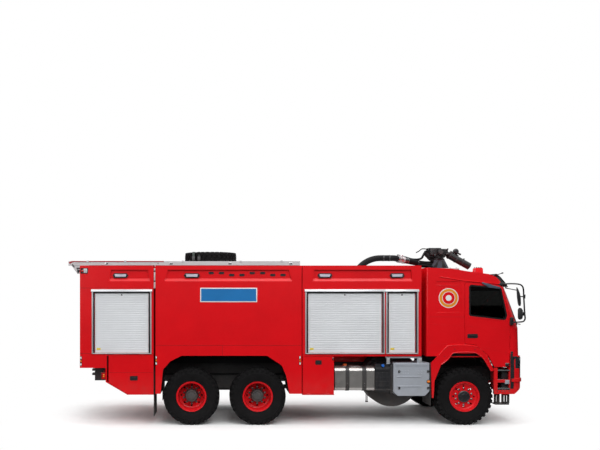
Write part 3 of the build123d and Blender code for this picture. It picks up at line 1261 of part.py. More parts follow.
def urea_tank():
    """Moulded tank in front of the fuel tank."""
    x0, x1 = UREA_TANK_X
    z0, z1 = UREA_TANK_Z
    face = arc_outline(((x0, z0, 50), (x1, z0, 50), (x1, z1 - 60, 40), (x1 - 70, z1, 30), (x0, z1, 30)))
    return side_prism(face, -TANK_OUTER_Y, -RIGHT_TANK_INNER_Y)


def side_box():
    """Aluminium box ahead of the tanks, with the rail that stands on it under the body."""
    x0, x1 = SIDE_BOX_X
    z0, z1 = SIDE_BOX_Z
    c = SIDE_BOX_CHAMFER
    face = polygon(((x0 + c, z0), (x1 - c, z0), (x1, z0 + c), (x1, z1), (x0, z1), (x0, z0 + c)))
    body = side_prism(face, -BODY_HALF_WIDTH + 20, -RIGHT_TANK_INNER_Y)
    rail = box((1807, FRONT_BODY_X[1]), (-BODY_HALF_WIDTH + 25, -BODY_HALF_WIDTH + 75), (1362, FRONT_BODY_BOTTOM_Z))
    rail += box((1830, 1890), (-BODY_HALF_WIDTH + 30, -BODY_HALF_WIDTH + 70), (UREA_TANK_Z[1] + RUNNING_GAP, 1362))
    rail += box((2450, 2510), (-BODY_HALF_WIDTH + 30, -BODY_HALF_WIDTH + 70), (z1, 1362))
    return body + rail


def left_tanks():
    """Air tanks and battery box on the left side."""
    solids = [box(SIDE_BOX_X, (TANK_INNER_Y, TANK_OUTER_Y), BATTERY_BOX_Z)]
    first = TANK_INNER_Y + AIR_TANK_RADIUS + RUNNING_GAP
    x0, x1 = AIR_TANK_X
    for z in AIR_TANK_HEIGHTS:
        for y in (first, first + 2 * AIR_TANK_RADIUS + RUNNING_GAP):
            solids.append(rod((x0, y, z), (x1, y, z), AIR_TANK_RADIUS))
    return solids


def mudflaps():
    """Rubber flaps behind the wheels."""
    outer, inner = (BODY_HALF_WIDTH - inset for inset in REAR_FLAP_INSET)
    rear = box((REAR_BODY_X[1], REAR_BODY_X[1] + FLAP_RUBBER), (inner, outer), REAR_FLAP_Z)
    guard = FENDER_CORNERS[1][0]
    front = box((guard - FLAP_RUBBER, guard - RUNNING_GAP), (LINER_INNER_Y, CAB_HALF_WIDTH + FRONT_FLAP_PROUD), FRONT_FLAP_Z)
    return both_sides(rear) + both_sides(front)


def lamps():
    """Scene lights in the recess bands."""
    solids = []
    for length in SCENE_LIGHT_X:
        light = box(length, (BODY_HALF_WIDTH - BAND_DEPTH, BODY_HALF_WIDTH - SCENE_LIGHT_INSET), SCENE_LIGHT_Z)
        solids += both_sides(light)
    return solids


def corner_lamp(inset):
    """Lamp block let into the upper rear corner of the left side."""
    x = REAR_BODY_X[0]
    (x0, x1), (z0, z1) = CORNER_LAMP_X, CORNER_LAMP_Z
    outer = BODY_HALF_WIDTH + (CORNER_LAMP_PROUD if inset == 0 else 0)
    return box((x + x0 + inset, x + x1 - inset), (BODY_HALF_WIDTH - CORNER_LAMP_DEPTH, outer), (z0 + inset, z1 - inset))


def rear_lamps():
    """Tail lamp cluster at each lower rear corner and the upper corner lamps."""
    locker_x = REAR_LOCKER_X[0]
    outer_y = BODY_HALF_WIDTH - TAIL_LAMP_INSET
    low = box((locker_x - TAIL_LAMP_DEPTH, locker_x), (outer_y - TAIL_LAMP_WIDTH, outer_y), TAIL_LAMP_Z)
    return both_sides(low) + both_sides(corner_lamp(CORNER_LAMP_GAP))


def under_cab_roof(half):
    """Prism below the cab's roof line."""
    low = CAB_ROOF[-1][1] - ROOF_THICKNESS
    return side_prism(polygon(list(CAB_ROOF) + [(CAB_ROOF[-1][0], low), (CAB_ROOF[0][0], low)]), -half, half)


# Monitor
def monitor_base():
    """Plate and pedestal on the cab roof that carry the monitor."""
    half = MONITOR_PLATE_HALF_WIDTH
    plate = side_prism(polygon(MONITOR_PLATE), -half, half) - under_cab_roof(half + CUT_OVER)
    return plate + monitor_column()


def monitor_column():
    """Tapered column on the monitor's plate."""
    top = MONITOR_BASE_TOP_Z
    outline = polygon(((MONITOR_X - 200, COLUMN_FOOT_Z), (MONITOR_X + 210, COLUMN_FOOT_Z), (MONITOR_X + 110, top),
                       (MONITOR_X - 110, top)))
    return side_prism(outline, -COLUMN_HALF_WIDTH, COLUMN_HALF_WIDTH)


def monitor_turret():
    """Swivelling body of the monitor with its two cheeks."""
    z = MONITOR_BASE_TOP_Z + RUNNING_GAP
    rear, front = MONITOR_X - 230, MONITOR_X + 40
    body = Pos(MONITOR_X, 0, z + SWIVEL_HEIGHT / 2) * Cylinder(SWIVEL_RADIUS, SWIVEL_HEIGHT)
    body += box((rear, front), (-CHEEK_OUTER_Y, CHEEK_OUTER_Y), (z + 60, MONITOR_TOP_Z))
    top, nose = MONITOR_PIVOT_Z + 70, MONITOR_PIVOT_X + 60
    cheek = arc_outline(((MONITOR_X - 50, z + 40, 20), (MONITOR_PIVOT_X - 20, z + 40, 30), (nose, MONITOR_PIVOT_Z - 30, 30),
                         (nose, top, 40), (MONITOR_X - 50, top, 20)))
    for side in (-1, 1):
        body += side_prism(cheek, side * CHEEK_INNER_Y, side * CHEEK_OUTER_Y)
    body -= box((front + CUT_OVER, nose + CUT_OVER), (-CHEEK_INNER_Y, CHEEK_INNER_Y), (z + SWIVEL_HEIGHT + CUT_OVER, MONITOR_TOP_Z))
    return body


def monitor_barrel():
    """Barrel with its pivot drum and flared nozzle, sloping forward over the roof."""
    drum = Rot(90, 0, 0) * Cylinder(BARREL_NECK_RADIUS, 2 * (CHEEK_INNER_Y - RUNNING_GAP))
    end, bore = BARREL_LENGTH, BARREL_BORE_RADIUS
    lip = BARREL_RADIUS - 4
    half_section = polygon((
        (0, 0), (0, BARREL_NECK_RADIUS), (BARREL_NECK, BARREL_NECK_RADIUS), (BARREL_FLARE, BARREL_RADIUS),
        (end - BARREL_LIP, BARREL_RADIUS), (end - BARREL_LIP, lip), (end - BARREL_LIP / 2, lip),
        (end - BARREL_LIP / 2, BARREL_RADIUS), (end, BARREL_RADIUS), (end, bore), (end - BARREL_BORE_DEPTH, bore * 0.8),
        (end - BARREL_BORE_DEPTH, 0),
    ))
    barrel = revolve(Plane.XZ * half_section, Axis.X)
    return Pos(MONITOR_PIVOT_X, 0, MONITOR_PIVOT_Z) * Rot(0, BARREL_SLOPE, 0) * (drum + barrel)


def feed_pipe():
    """Foam hose from the deck to the monitor's column."""
    deck = BODY_TOP_Z - ROOF_RECESS_DEPTH + DECK_PLATE
    r = HOSE_BEND_RADIUS
    # The bend starts one hose radius under the deck, where it is then cut level
    turn = acos(1 - (HOSE_Z - deck + PIPE_RADIUS) / r)
    points = [(HOSE_BEND_X - r * sin(a), HOSE_Y, HOSE_Z - r * (1 - cos(a))) for a in (turn, turn / 2, 0)]
    route = (ThreePointArc(*points) + FilletPolyline(points[-1], *HOSE_RUN, radius=HOSE_FILLET)).wire()
    start = Plane(origin=points[0], z_dir=(cos(turn), 0, sin(turn)))
    pipe = sweep(start * Circle(PIPE_RADIUS), path=route)
    reach = 3 * PIPE_RADIUS
    x, y, z = points[0]
    pipe -= box((x - reach, x + reach), (y - reach, y + reach), (z - reach, deck))
    # The far end seats on the column's sloping face
    return max((pipe - Pos(-RUNNING_GAP, 0, 0) * monitor_column()).solids(), key=lambda solid: solid.volume)


def beacons():
    """Warning lights on the front of the cab roof."""
    outer, inner = (CAB_HALF_WIDTH - inset for inset in BEACON_INSET)
    light = side_prism(arc_outline(BEACON_OUTLINE), inner, outer)
    return both_sides(light - under_cab_roof(CAB_HALF_WIDTH))


# Cab inside
def seats():
    """Two front seats and two rear seats."""
    solids = []
    floor = CAB_FLOOR_Z + CAB_FLOOR_THICKNESS
    base, top = floor + SEAT_BASE, floor + SEAT_HEIGHT
    head = floor + SEAT_BACK_HEIGHT
    for x in SEAT_ROWS:
        cushion = arc_outline(((x - 200, base, 20), (x + 240, base, 40), (x + 240, top, 60), (x - 200, top, 20)))
        back = arc_outline(((x - 150, top - 20, 20), (x - 40, top - 20, 20), (x - 90, head, 30), (x - 190, head, 30)))
        seat = side_prism(cushion, SEAT_Y - SEAT_HALF_WIDTH, SEAT_Y + SEAT_HALF_WIDTH)
        seat += box((x - 110, x + 110), (SEAT_Y - 130, SEAT_Y + 130), (floor, base + CUT_OVER))
        seat += side_prism(back, SEAT_Y - SEAT_HALF_WIDTH + 10, SEAT_Y + SEAT_HALF_WIDTH - 10)
        solids += both_sides(seat)
    return solids


def dashboard():
    """Instrument panel with the steering column and wheel."""
    floor = CAB_FLOOR_Z + CAB_FLOOR_THICKNESS
    front = DASH_FRONT_X
    face = arc_outline(((front - 310, 1780, 30), (front - 145, 1700, 20), (front - 145, floor, 0), (front, floor, 0),
                        (front - 10, 1960, 20), (front - 280, 1990, 40)))
    panel = side_prism(face, -DASH_HALF_WIDTH, DASH_HALF_WIDTH)
    top, foot = STEERING_WHEEL_AT, STEERING_COLUMN_FOOT
    column = rod(foot, top, STEERING_COLUMN_RADIUS)
    lean = Plane(origin=top, z_dir=Vector(*top) - Vector(*foot))
    r = STEERING_WHEEL_RADIUS
    grip = STEERING_GRIP
    section = polygon(((r - grip, 0), (r - grip / 2, -grip), (r + grip / 2, -grip), (r + grip, 0), (r + grip / 2, grip),
                       (r - grip / 2, grip)))
    wheel = lean * revolve(Plane.XZ * section, Axis.Z)
    spoke = lean * Box(2 * r, 60, 14)
    return panel + column + wheel + spoke


make_wheels()
volume = cab_volume(CAB_SKIN_BOTTOM_Z)
inside = cab_inside()
spare_tyre, spare_rim = spare_wheel()
left_door = door(volume)
left_glass = door_glass()
left_front_flap = front_flap()
left_rear_flap = rear_flap()

PIECES = (
    ("chassis_frame", chassis_frame()),
    ("engine_block", engine_block()),
    ("axles", axles()),
    ("leaf_springs", leaf_springs()),
    ("drive_shafts", drive_shafts()),
    ("knuckle_left", knuckle(1)),
    ("knuckle_right", knuckle(-1)),
    ("front_bumper", bumper()),
    ("cab_steps", cab_steps()),
    ("front_grille", front_grille()),
    ("headlamps", headlamps()),
    ("cab_shell", cab_shell(volume, inside)),
    ("windscreen", windscreen(volume)),
    ("door_left", left_door),
    ("door_right", other_side(left_door)),
    ("door_glass_left", left_glass),
    ("door_glass_right", other_side(left_glass)),
    ("seats", seats()),
    ("dashboard", dashboard()),
    ("sun_visor", sun_visor()),
    ("mirrors", mirrors()),
    ("fenders", fenders()),
    ("rear_body", rear_body()),
    ("tank_body", tank_body()),
    ("front_body", front_body()),
    ("front_flap_left", left_front_flap),
    ("front_flap_right", other_side(left_front_flap)),
    ("rear_flap_left", left_rear_flap),
    ("rear_flap_right", other_side(left_rear_flap)),
    ("shutters", shutters()),
    ("shutter_frames", shutter_frames()),
    ("roof_deck", roof_deck()),
    ("roof_case", roof_board()),
    ("rear_ladder", rear_ladder()),
    ("spare_tyre", spare_tyre),
    ("spare_rim", spare_rim),
    ("fuel_tank", fuel_tank()),
    ("urea_tank", urea_tank()),
    ("side_box", side_box()),
    ("left_tanks", left_tanks()),
    ("mudflaps", mudflaps()),
    ("scene_lights", lamps()),
    ("rear_lamps", rear_lamps()),
    ("monitor_base", monitor_base()),
    ("monitor_turret", monitor_turret()),
    ("monitor_barrel", monitor_barrel()),
    ("feed_pipe", feed_pipe()),
    ("beacons", beacons()),
)
for name, shape in PIECES:
    save(name, shape)
print(len(PIECES) + 2 * len(WHEELS), "nodes")
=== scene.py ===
import sys

# Airport fire truck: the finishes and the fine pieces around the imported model.
# Metres. +X is the truck's front, +Y its left side, +Z up. Forms are built on the left side and mirrored.

import functools
import json
import logging
import math
from dataclasses import dataclass, replace
from enum import Enum
from typing import Optional, Sequence

import bmesh
import bpy
from mathutils import Matrix, Vector

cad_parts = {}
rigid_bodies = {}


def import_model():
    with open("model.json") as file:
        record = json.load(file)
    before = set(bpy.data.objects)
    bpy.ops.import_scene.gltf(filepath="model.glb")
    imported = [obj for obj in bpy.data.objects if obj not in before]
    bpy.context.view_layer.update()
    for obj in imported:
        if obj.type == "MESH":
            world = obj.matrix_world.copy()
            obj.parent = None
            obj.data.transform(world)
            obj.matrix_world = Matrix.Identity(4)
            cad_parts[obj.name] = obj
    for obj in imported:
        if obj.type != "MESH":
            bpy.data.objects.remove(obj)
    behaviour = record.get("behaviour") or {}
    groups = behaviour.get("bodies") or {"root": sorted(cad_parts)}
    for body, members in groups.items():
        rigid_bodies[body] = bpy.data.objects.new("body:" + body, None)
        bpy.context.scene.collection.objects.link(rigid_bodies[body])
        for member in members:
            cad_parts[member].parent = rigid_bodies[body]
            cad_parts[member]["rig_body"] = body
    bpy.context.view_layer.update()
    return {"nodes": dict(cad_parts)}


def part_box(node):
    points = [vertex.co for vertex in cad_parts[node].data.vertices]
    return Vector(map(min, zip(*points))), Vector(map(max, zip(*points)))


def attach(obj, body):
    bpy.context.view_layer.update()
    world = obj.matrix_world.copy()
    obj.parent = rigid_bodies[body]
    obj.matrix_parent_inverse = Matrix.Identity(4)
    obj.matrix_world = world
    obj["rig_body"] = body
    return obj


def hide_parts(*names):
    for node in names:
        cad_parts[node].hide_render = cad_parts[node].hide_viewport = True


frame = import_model()

log = logging.getLogger("fire_truck")

Point = tuple[float, float, float]
Pair = tuple[float, float]
Colour = tuple[float, float, float]

WHITE = (1.0, 1.0, 1.0, 1.0)
SHARE = (0.0, 1.0)  # nothing to all, as a range
GRAIN_DEPTH = 0.0006
COAT_ROUGHNESS = 0.06
GLASS_INDEX = 1.47
BORDER = 0.001  # half the width of the border between two colours
WELD = 1e-6  # corners nearer than this are one
SHARP_DEGREES = 35  # edges sharper than this are eased


class Sides(Enum):
    """The side or sides of the truck that a form is placed on."""

    LEFT = "left"
    RIGHT = "right"
    BOTH = "both"


class Axis(Enum):
    """Axis that a form is extruded or turned along."""

    X = 0
    Y = 1
    Z = 2


X, Y, Z = Axis


class Pattern(Enum):
    """Relief that a finish carries besides its grain."""

    PLAIN = "plain"
    TREAD_PLATE = "tread plate"
    WEAVE = "weave"
    LENS = "lens"


class Graph:
    """Node tree of one material, with short calls for what the finishes share."""

    def __init__(self, name: str) -> None:
        """Starts a material with its shader.

        Args:
            name: the material's name.
        """
        self.material = bpy.data.materials.new(name)
        self.material.use_nodes = True
        self.tree = self.material.node_tree
        self.shader = self.tree.nodes["Principled BSDF"]
        self.coordinates = self.tree.nodes.new("ShaderNodeTexCoord").outputs["Object"]

    def node(self, kind: str, settings: dict, inputs: dict) -> bpy.types.Node:
        """Adds a node.

        Args:
            kind: Blender's name of the node's type.
            settings: attributes to set on the node.
            inputs: values or sockets by input name or number.

        Returns:
            The new node.
        """
        node = self.tree.nodes.new(kind)
        for key, value in settings.items():
            setattr(node, key, value)
        for key, value in inputs.items():
            if isinstance(value, bpy.types.NodeSocket):
                self.tree.links.new(value, node.inputs[key])
            else:
                node.inputs[key].default_value = value
        return node

    def stretched(self, stretch: Point) -> bpy.types.NodeSocket:
        """Object coordinates, scaled along each axis."""
        return self.node("ShaderNodeMapping", {}, {"Vector": self.coordinates, "Scale": stretch}).outputs[0]

    def noise(self, scale: float, detail: float = 4.0,
              stretch: Point = (1.0, 1.0, 1.0)) -> bpy.types.NodeSocket:
        """Noise from 0 to 1 in the object's own coordinates."""
        inputs = {"Vector": self.stretched(stretch), "Scale": scale, "Detail": detail}
        return self.node("ShaderNodeTexNoise", {}, inputs).outputs[0]

    def ranged(self, value: bpy.types.NodeSocket, start: Pair, end: Pair) -> bpy.types.NodeSocket:
        """Maps a value from one range to another, clamped."""
        inputs = {"Value": value, "From Min": start[0], "From Max": start[1], "To Min": end[0],
                  "To Max": end[1]}
        return self.node("ShaderNodeMapRange", {}, inputs).outputs[0]

    def grey(self, value: bpy.types.NodeSocket) -> bpy.types.NodeSocket:
        """Grey as light as a value."""
        return self.node("ShaderNodeCombineColor", {}, {0: value, 1: value, 2: value}).outputs[0]

    def maths(self, operation: str, first: object, second: object) -> bpy.types.NodeSocket:
        """Result of one operation on two numbers or sockets."""
        return self.node("ShaderNodeMath", {"operation": operation}, {0: first, 1: second}).outputs[0]

    def mixed(self, factor: object, first: object, second: object,
              blend: str = "MIX") -> bpy.types.NodeSocket:
        """Mix of two colours."""
        pair = [(*c, 1.0) if isinstance(c, tuple) else c for c in (first, second)]
        settings = {"data_type": "RGBA", "blend_type": blend}
        return self.node("ShaderNodeMix", settings, {0: factor, 6: pair[0], 7: pair[1]}).outputs[2]

    def bumped(self, height: bpy.types.NodeSocket, strength: float, distance: float, under: object) -> object:
        """Normal with a relief added to the one under it."""
        inputs = {"Height": height, "Strength": strength, "Distance": distance}
        if under is not None:
            inputs["Normal"] = under
        return self.node("ShaderNodeBump", {}, inputs).outputs[0]

    def set(self, name: str, value: object) -> None:
        """Sets or links one socket of the shader."""
        if isinstance(value, bpy.types.NodeSocket):
            self.tree.links.new(value, self.shader.inputs[name])
        else:
            self.shader.inputs[name].default_value = value


@dataclass(frozen=True)
class Finish:
    """One surface finish, with the mottling, grain, dust and wear that the real one shows, and a painted
    shade inside a box.
    """

    name: str
    colour: Colour
    roughness: float = 0.5
    metallic: float = 0.0
    coat: float = 0.0
    mottle: float = 0.1
    mottle_scale: float = 2.2
    grain: float = 0.08
    grain_scale: float = 260.0
    brushing: Point = (1.0, 1.0, 1.0)
    dust: float = 0.0
    dust_top: float = 1.35
    dust_colour: Colour = (0.16, 0.13, 0.11)
    wear: float = 0.0
    wear_colour: Colour = (0.32, 0.3, 0.29)
    wear_reach: float = 0.004
    transmission: float = 0.0
    glow: float = 0.0
    pattern: Pattern = Pattern.PLAIN
    pattern_scale: float = 30.0
    pattern_depth: float = 0.002
    below_colour: Optional[Colour] = None
    below_height: float = 0.0
    # Box whose surfaces take a dark colour: painted shade in hollows such as arches, the step bay and the
    # cab's inside.
    inside: Optional[tuple[Point, Point]] = None
    painted_shade_colour: Colour = (0.014, 0.014, 0.015)
    specular: float = 0.5

    @functools.cache
    def material(self) -> bpy.types.Material:
        """Builds the finish once.

        Returns:
            The material.
        """
        graph = Graph(self.name)
        mottling = graph.noise(self.mottle_scale, 6.0)
        shade = graph.ranged(mottling, (0.3, 0.7), (1.0 - self.mottle, 1.0 + self.mottle))
        colour = graph.mixed(1.0, self.base(graph), graph.grey(shade), "MULTIPLY")
        fine = graph.noise(self.grain_scale, 3.0, self.brushing)
        rough = graph.ranged(fine, (0.25, 0.75), (self.roughness * 0.85, min(1.0, self.roughness * 1.18)))
        if self.wear:
            edges = self.worn_edges(graph)
            colour = graph.mixed(edges, colour, self.wear_colour)
        if self.dust:
            film = self.dust_film(graph)
            colour = graph.mixed(film, colour, self.dust_colour)
            rough = graph.maths("ADD", rough, graph.maths("MULTIPLY", film, 0.5))
        normal = None
        if self.grain:
            normal = graph.bumped(fine, self.grain, GRAIN_DEPTH, None)
        normal = self.relief(graph, normal)
        graph.set("Base Color", colour)
        graph.set("Roughness", rough)
        graph.set("Metallic", self.metallic)
        graph.set("Specular IOR Level", self.specular)
        graph.set("Coat Weight", self.coat)
        graph.set("Coat Roughness", COAT_ROUGHNESS)
        if self.transmission:
            graph.set("Transmission Weight", self.transmission)
            graph.set("IOR", GLASS_INDEX)
        if self.glow:
            graph.set("Emission Color", (*self.colour, 1.0))
            graph.set("Emission Strength", self.glow)
        if normal is not None:
            graph.set("Normal", normal)
        return graph.material

    def base(self, graph: Graph) -> object:
        """Ground colour, with a second one below a height where the piece has two, and a dark colour inside a
        box that paints the shade falling in a hollow.
        """
        colour = self.colour
        place = graph.node("ShaderNodeSeparateXYZ", {}, {0: graph.coordinates}).outputs
        if self.below_colour is not None:
            above = graph.ranged(place[2], about(self.below_height, BORDER), SHARE)
            colour = graph.mixed(above, self.below_colour, colour)
        if self.inside is not None:
            shade_box_mask = 1.0
            for axis, (low, high) in enumerate(zip(*self.inside)):
                over = graph.ranged(place[axis], about(low, BORDER), SHARE)
                under = graph.ranged(place[axis], about(high, BORDER), SHARE[::-1])
                shade_box_mask = graph.maths("MULTIPLY", shade_box_mask, graph.maths("MULTIPLY", over, under))
            colour = graph.mixed(shade_box_mask, colour, self.painted_shade_colour)
        return colour

    def worn_edges(self, graph: Graph) -> bpy.types.NodeSocket:
        """Mask of the outer edges, broken up by noise."""
        bevel = graph.node("ShaderNodeBevel", {"samples": 3}, {"Radius": self.wear_reach}).outputs[0]
        plain = graph.node("ShaderNodeNewGeometry", {}, {}).outputs["Normal"]
        along = graph.node("ShaderNodeVectorMath", {"operation": "DOT_PRODUCT"},
                           {0: bevel, 1: plain}).outputs["Value"]
        edge = graph.ranged(along, (0.97, 0.8), SHARE)
        patches = graph.ranged(graph.noise(35.0, 5.0), (0.42, 0.62), (0.0, self.wear))
        return graph.maths("MULTIPLY", edge, patches)

    def dust_film(self, graph: Graph) -> bpy.types.NodeSocket:
        """Mask of road dust, thicker towards the ground."""
        height = graph.node("ShaderNodeSeparateXYZ", {}, {0: graph.coordinates}).outputs[2]
        low = graph.ranged(height, (0.1, self.dust_top), (self.dust, 0.0))
        blotches = graph.ranged(graph.noise(7.0, 8.0), (0.35, 0.7), (0.25, 1.0))
        return graph.maths("MULTIPLY", low, blotches)

    def relief(self, graph: Graph, under: object) -> object:
        """Adds the finish's pattern to its normal."""
        if self.pattern is Pattern.PLAIN:
            return under
        if self.pattern is Pattern.LENS:
            cells = graph.node("ShaderNodeTexVoronoi", {"distance": "CHEBYCHEV"},
                               {"Vector": graph.coordinates, "Scale": self.pattern_scale, "Randomness": 0.0})
            return graph.bumped(cells.outputs["Distance"], 0.7, self.pattern_depth, under)
        waves = []
        for turn in (math.radians(45.0), math.radians(-45.0)):
            turned = graph.node("ShaderNodeMapping", {},
                                {"Vector": graph.coordinates, "Rotation": (turn, turn, turn)})
            settings = {"wave_type": "BANDS", "bands_direction": "X", "wave_profile": "SIN"}
            waves.append(graph.node("ShaderNodeTexWave", settings,
                                    {"Vector": turned.outputs[0], "Scale": self.pattern_scale}).outputs[1])
        if self.pattern is Pattern.WEAVE:
            height = graph.maths("MAXIMUM", waves[0], waves[1])
        else:
            cells = graph.node("ShaderNodeTexChecker", {},
                               {"Vector": graph.coordinates, "Scale": self.pattern_scale * 1.1})
            either = graph.mixed(cells.outputs[1], waves[0], waves[1])
            height = graph.ranged(either, (0.62, 0.85), (0.0, 1.0))
        return graph.bumped(height, 0.8, self.pattern_depth, under)


BODY_RED = Finish("body_red", (0.7, 0.0045, 0.009), 0.3, coat=0.45, mottle=0.05, grain=0.02, grain_scale=90.0,
                  dust=0.3, dust_top=1.1, specular=0.3)
# Body red with the surfaces inside the arch box painted near black: painted shade over the bogie wheels.
ARCH_SHADED_RED = replace(BODY_RED, name="arch_shaded_red", inside=((-2.85, -1.262, 0.3), (0.125, 1.262, 1.46)))
CAB_RED = Finish("cab_red", (0.72, 0.006, 0.011), 0.26, coat=0.55, mottle=0.04, grain=0.015, grain_scale=90.0,
                 dust=0.2, dust_top=1.0, specular=0.3)
# Cab red with the shell's inner faces painted dark grey: painted shade inside the cab.
SHELL_SHADED_RED = replace(CAB_RED, name="cab_shell_shaded_red", inside=((2.68, -1.205, 1.0), (4.16, 1.205, 2.95)),
                    painted_shade_colour=(0.03, 0.028, 0.027))
# Surfaces inside the box under the fenders are painted near black: painted shade under the front arches.
FENDER_RED = Finish("fender_red", (0.7, 0.006, 0.011), 0.28, coat=0.5, mottle=0.04, grain=0.02, dust=0.25,
                    dust_top=1.2, specular=0.3, inside=((2.0, -1.236, 0.0), (4.5, 1.236, 2.0)))
# Surfaces inside the step bay's box are painted near black: painted shade of the bay's deep opening.
BUMPER_RED = Finish("bumper_red", (0.69, 0.0045, 0.009), 0.32, coat=0.45, mottle=0.06, grain=0.03, dust=0.3,
                    wear=0.35, specular=0.3, inside=((4.19, -1.185, 0.0), (4.395, 1.185, 2.0)))
RIM_RED = Finish("rim_red", (0.62, 0.004, 0.009), 0.4, coat=0.12, mottle=0.1, grain=0.06, dust=0.05, wear=0.3,
                 specular=0.2)
BEACON_RED = Finish("beacon_red", (0.62, 0.01, 0.016), 0.18, coat=0.8, mottle=0.1, grain=0.0, glow=0.15,
                    pattern=Pattern.LENS, pattern_scale=45.0)
PALE_PAINT = Finish("pale_paint", (0.56, 0.53, 0.54), 0.36, coat=0.3, mottle=0.06, grain=0.05)
CAP_RED = Finish("cap_red", (0.34, 0.006, 0.012), 0.34, coat=0.4, mottle=0.08, grain=0.05)
MONITOR_BLACK = Finish("monitor_black", (0.01, 0.01, 0.012), 0.42, coat=0.15, mottle=0.25, grain=0.3,
                       grain_scale=200.0, wear=0.3)
PLATE_GREY = Finish("plate_grey", (0.06, 0.066, 0.085), 0.44, 0.3, mottle=0.2, grain=0.15, wear=0.3)
HOSE_SILVER = Finish("hose_silver", (0.58, 0.53, 0.54), 0.3, 0.9, mottle=0.2, mottle_scale=12.0, grain=0.12)
DEFLECTOR = Finish("smoked_deflector", (0.07, 0.09, 0.125), 0.16, coat=0.5, mottle=0.1, grain=0.0)
STRAP_WEB = Finish("strap_web", (0.02, 0.03, 0.024), 0.75, mottle=0.2, grain=0.3, pattern=Pattern.WEAVE,
                   pattern_scale=220.0, pattern_depth=0.0006)
DASH_DARK = Finish("dash_dark", (0.028, 0.027, 0.028), 0.6, mottle=0.12, grain=0.4, grain_scale=480.0)
# Dark joint colour, also drawn as the line of the rear flap's crease, where it is painted shade.
SEAM_AND_CREASE_SHADE = Finish("panel_seam_and_crease_shade", (0.045, 0.002, 0.003), 0.6, mottle=0.2)
SHUTTER_SILVER = Finish("shutter_silver", (0.78, 0.8, 0.825), 0.4, 0.12, mottle=0.05, mottle_scale=1.4,
                        grain=0.1, grain_scale=60.0, brushing=(0.15, 1.0, 6.0))
FRAME_SILVER = Finish("frame_silver", (0.62, 0.63, 0.65), 0.3, 0.5, mottle=0.05, grain=0.06, grain_scale=80.0,
                      brushing=(0.2, 1.0, 4.0), wear=0.2)
TANK_SILVER = Finish("brushed_tank", (0.52, 0.505, 0.485), 0.27, 0.78, mottle=0.14, mottle_scale=4.0,
                     grain=0.16, grain_scale=70.0, brushing=(0.1, 5.0, 5.0), dust=0.35)
BOX_SILVER = Finish("box_silver", (0.41, 0.44, 0.49), 0.38, 0.2, mottle=0.06, grain=0.1, grain_scale=420.0,
                    dust=0.35, wear=0.35)
STEEL = Finish("bright_steel", (0.62, 0.62, 0.63), 0.22, 1.0, mottle=0.12, grain=0.08, dust=0.2)
TREAD_STEEL = Finish("tread_plate", (0.62, 0.62, 0.64), 0.34, 0.85, mottle=0.12, grain=0.1, wear=0.0,
                     pattern=Pattern.TREAD_PLATE, pattern_scale=16.0)
PALE_DECK = Finish("pale_deck", (0.56, 0.53, 0.54), 0.45, 0.15, mottle=0.08, grain=0.1,
                   pattern=Pattern.TREAD_PLATE, pattern_scale=16.0)
CHASSIS_BLACK = Finish("chassis_black", (0.022, 0.022, 0.024), 0.48, coat=0.1, mottle=0.3, grain=0.2,
                       dust=0.45, wear=0.4)
CAST_IRON = Finish("cast_iron", (0.055, 0.054, 0.056), 0.62, 0.4, mottle=0.3, grain=0.5, grain_scale=180.0,
                   dust=0.45)
BLACK_PLASTIC = Finish("black_plastic", (0.014, 0.014, 0.016), 0.45, mottle=0.15, grain=0.35,
                       grain_scale=900.0)
BLACK_PAINT = Finish("black_paint", (0.012, 0.012, 0.014), 0.34, coat=0.25, mottle=0.2, grain=0.08, wear=0.35)
TYRE_RUBBER = Finish("tyre_rubber", (0.0062, 0.0058, 0.0062), 0.78, specular=0.12, mottle=0.25,
                     mottle_scale=6.0, grain=0.35, grain_scale=520.0, dust=0.0, wear=0.25,
                     wear_colour=(0.022, 0.021, 0.02), wear_reach=0.006)
FLAP_RUBBER = Finish("flap_rubber", (0.013, 0.013, 0.014), 0.68, mottle=0.2, grain=0.3, grain_scale=600.0,
                     dust=0.3)
HOSE_RUBBER = Finish("hose_rubber", (0.006, 0.006, 0.007), 0.6, specular=0.15, mottle=0.2, grain=0.3,
                     grain_scale=300.0)
SEAL_BLACK = Finish("seal_black", (0.006, 0.006, 0.007), 0.6, specular=0.2, mottle=0.15, grain=0.15)
DARK_GLASS = Finish("tinted_glass", (0.36, 0.37, 0.36), 0.02, mottle=0.04, grain=0.0, transmission=1.0)
SMOKED = Finish("smoked_acrylic", (0.035, 0.038, 0.044), 0.1, coat=0.6, mottle=0.06, grain=0.0)
MIRROR_GLASS = Finish("mirror_glass", (0.8, 0.82, 0.84), 0.03, 1.0, mottle=0.02, grain=0.0)
LAMP_CLEAR = Finish("clear_lens", (0.82, 0.85, 0.88), 0.12, mottle=0.05, grain=0.0, transmission=0.35,
                    pattern=Pattern.LENS, pattern_scale=45.0)
LAMP_RED = Finish("red_lens", (0.5, 0.012, 0.01), 0.14, coat=0.6, mottle=0.08, grain=0.0,
                  pattern=Pattern.LENS, pattern_scale=60.0)
LAMP_AMBER = replace(LAMP_RED, name="amber_lens", colour=(0.8, 0.2, 0.01))
SIGN_WHITE = Finish("sign_white", (0.8, 0.8, 0.8), 0.32, coat=0.3, mottle=0.03, grain=0.03)
SIGN_BLUE = Finish("sign_blue", (0.012, 0.165, 0.44), 0.32, coat=0.3, mottle=0.05, grain=0.03)
TAB_YELLOW = Finish("tab_yellow", (0.78, 0.6, 0.05), 0.4, mottle=0.08, grain=0.05)
ROUNDEL_AMBER = Finish("roundel_amber", (0.78, 0.28, 0.02), 0.34, coat=0.3, mottle=0.06, grain=0.03)
SEAT_CLOTH = Finish("seat_cloth", (0.05, 0.052, 0.06), 0.85, mottle=0.15, grain=0.3, grain_scale=500.0,
                    pattern=Pattern.WEAVE, pattern_scale=170.0, pattern_depth=0.001)
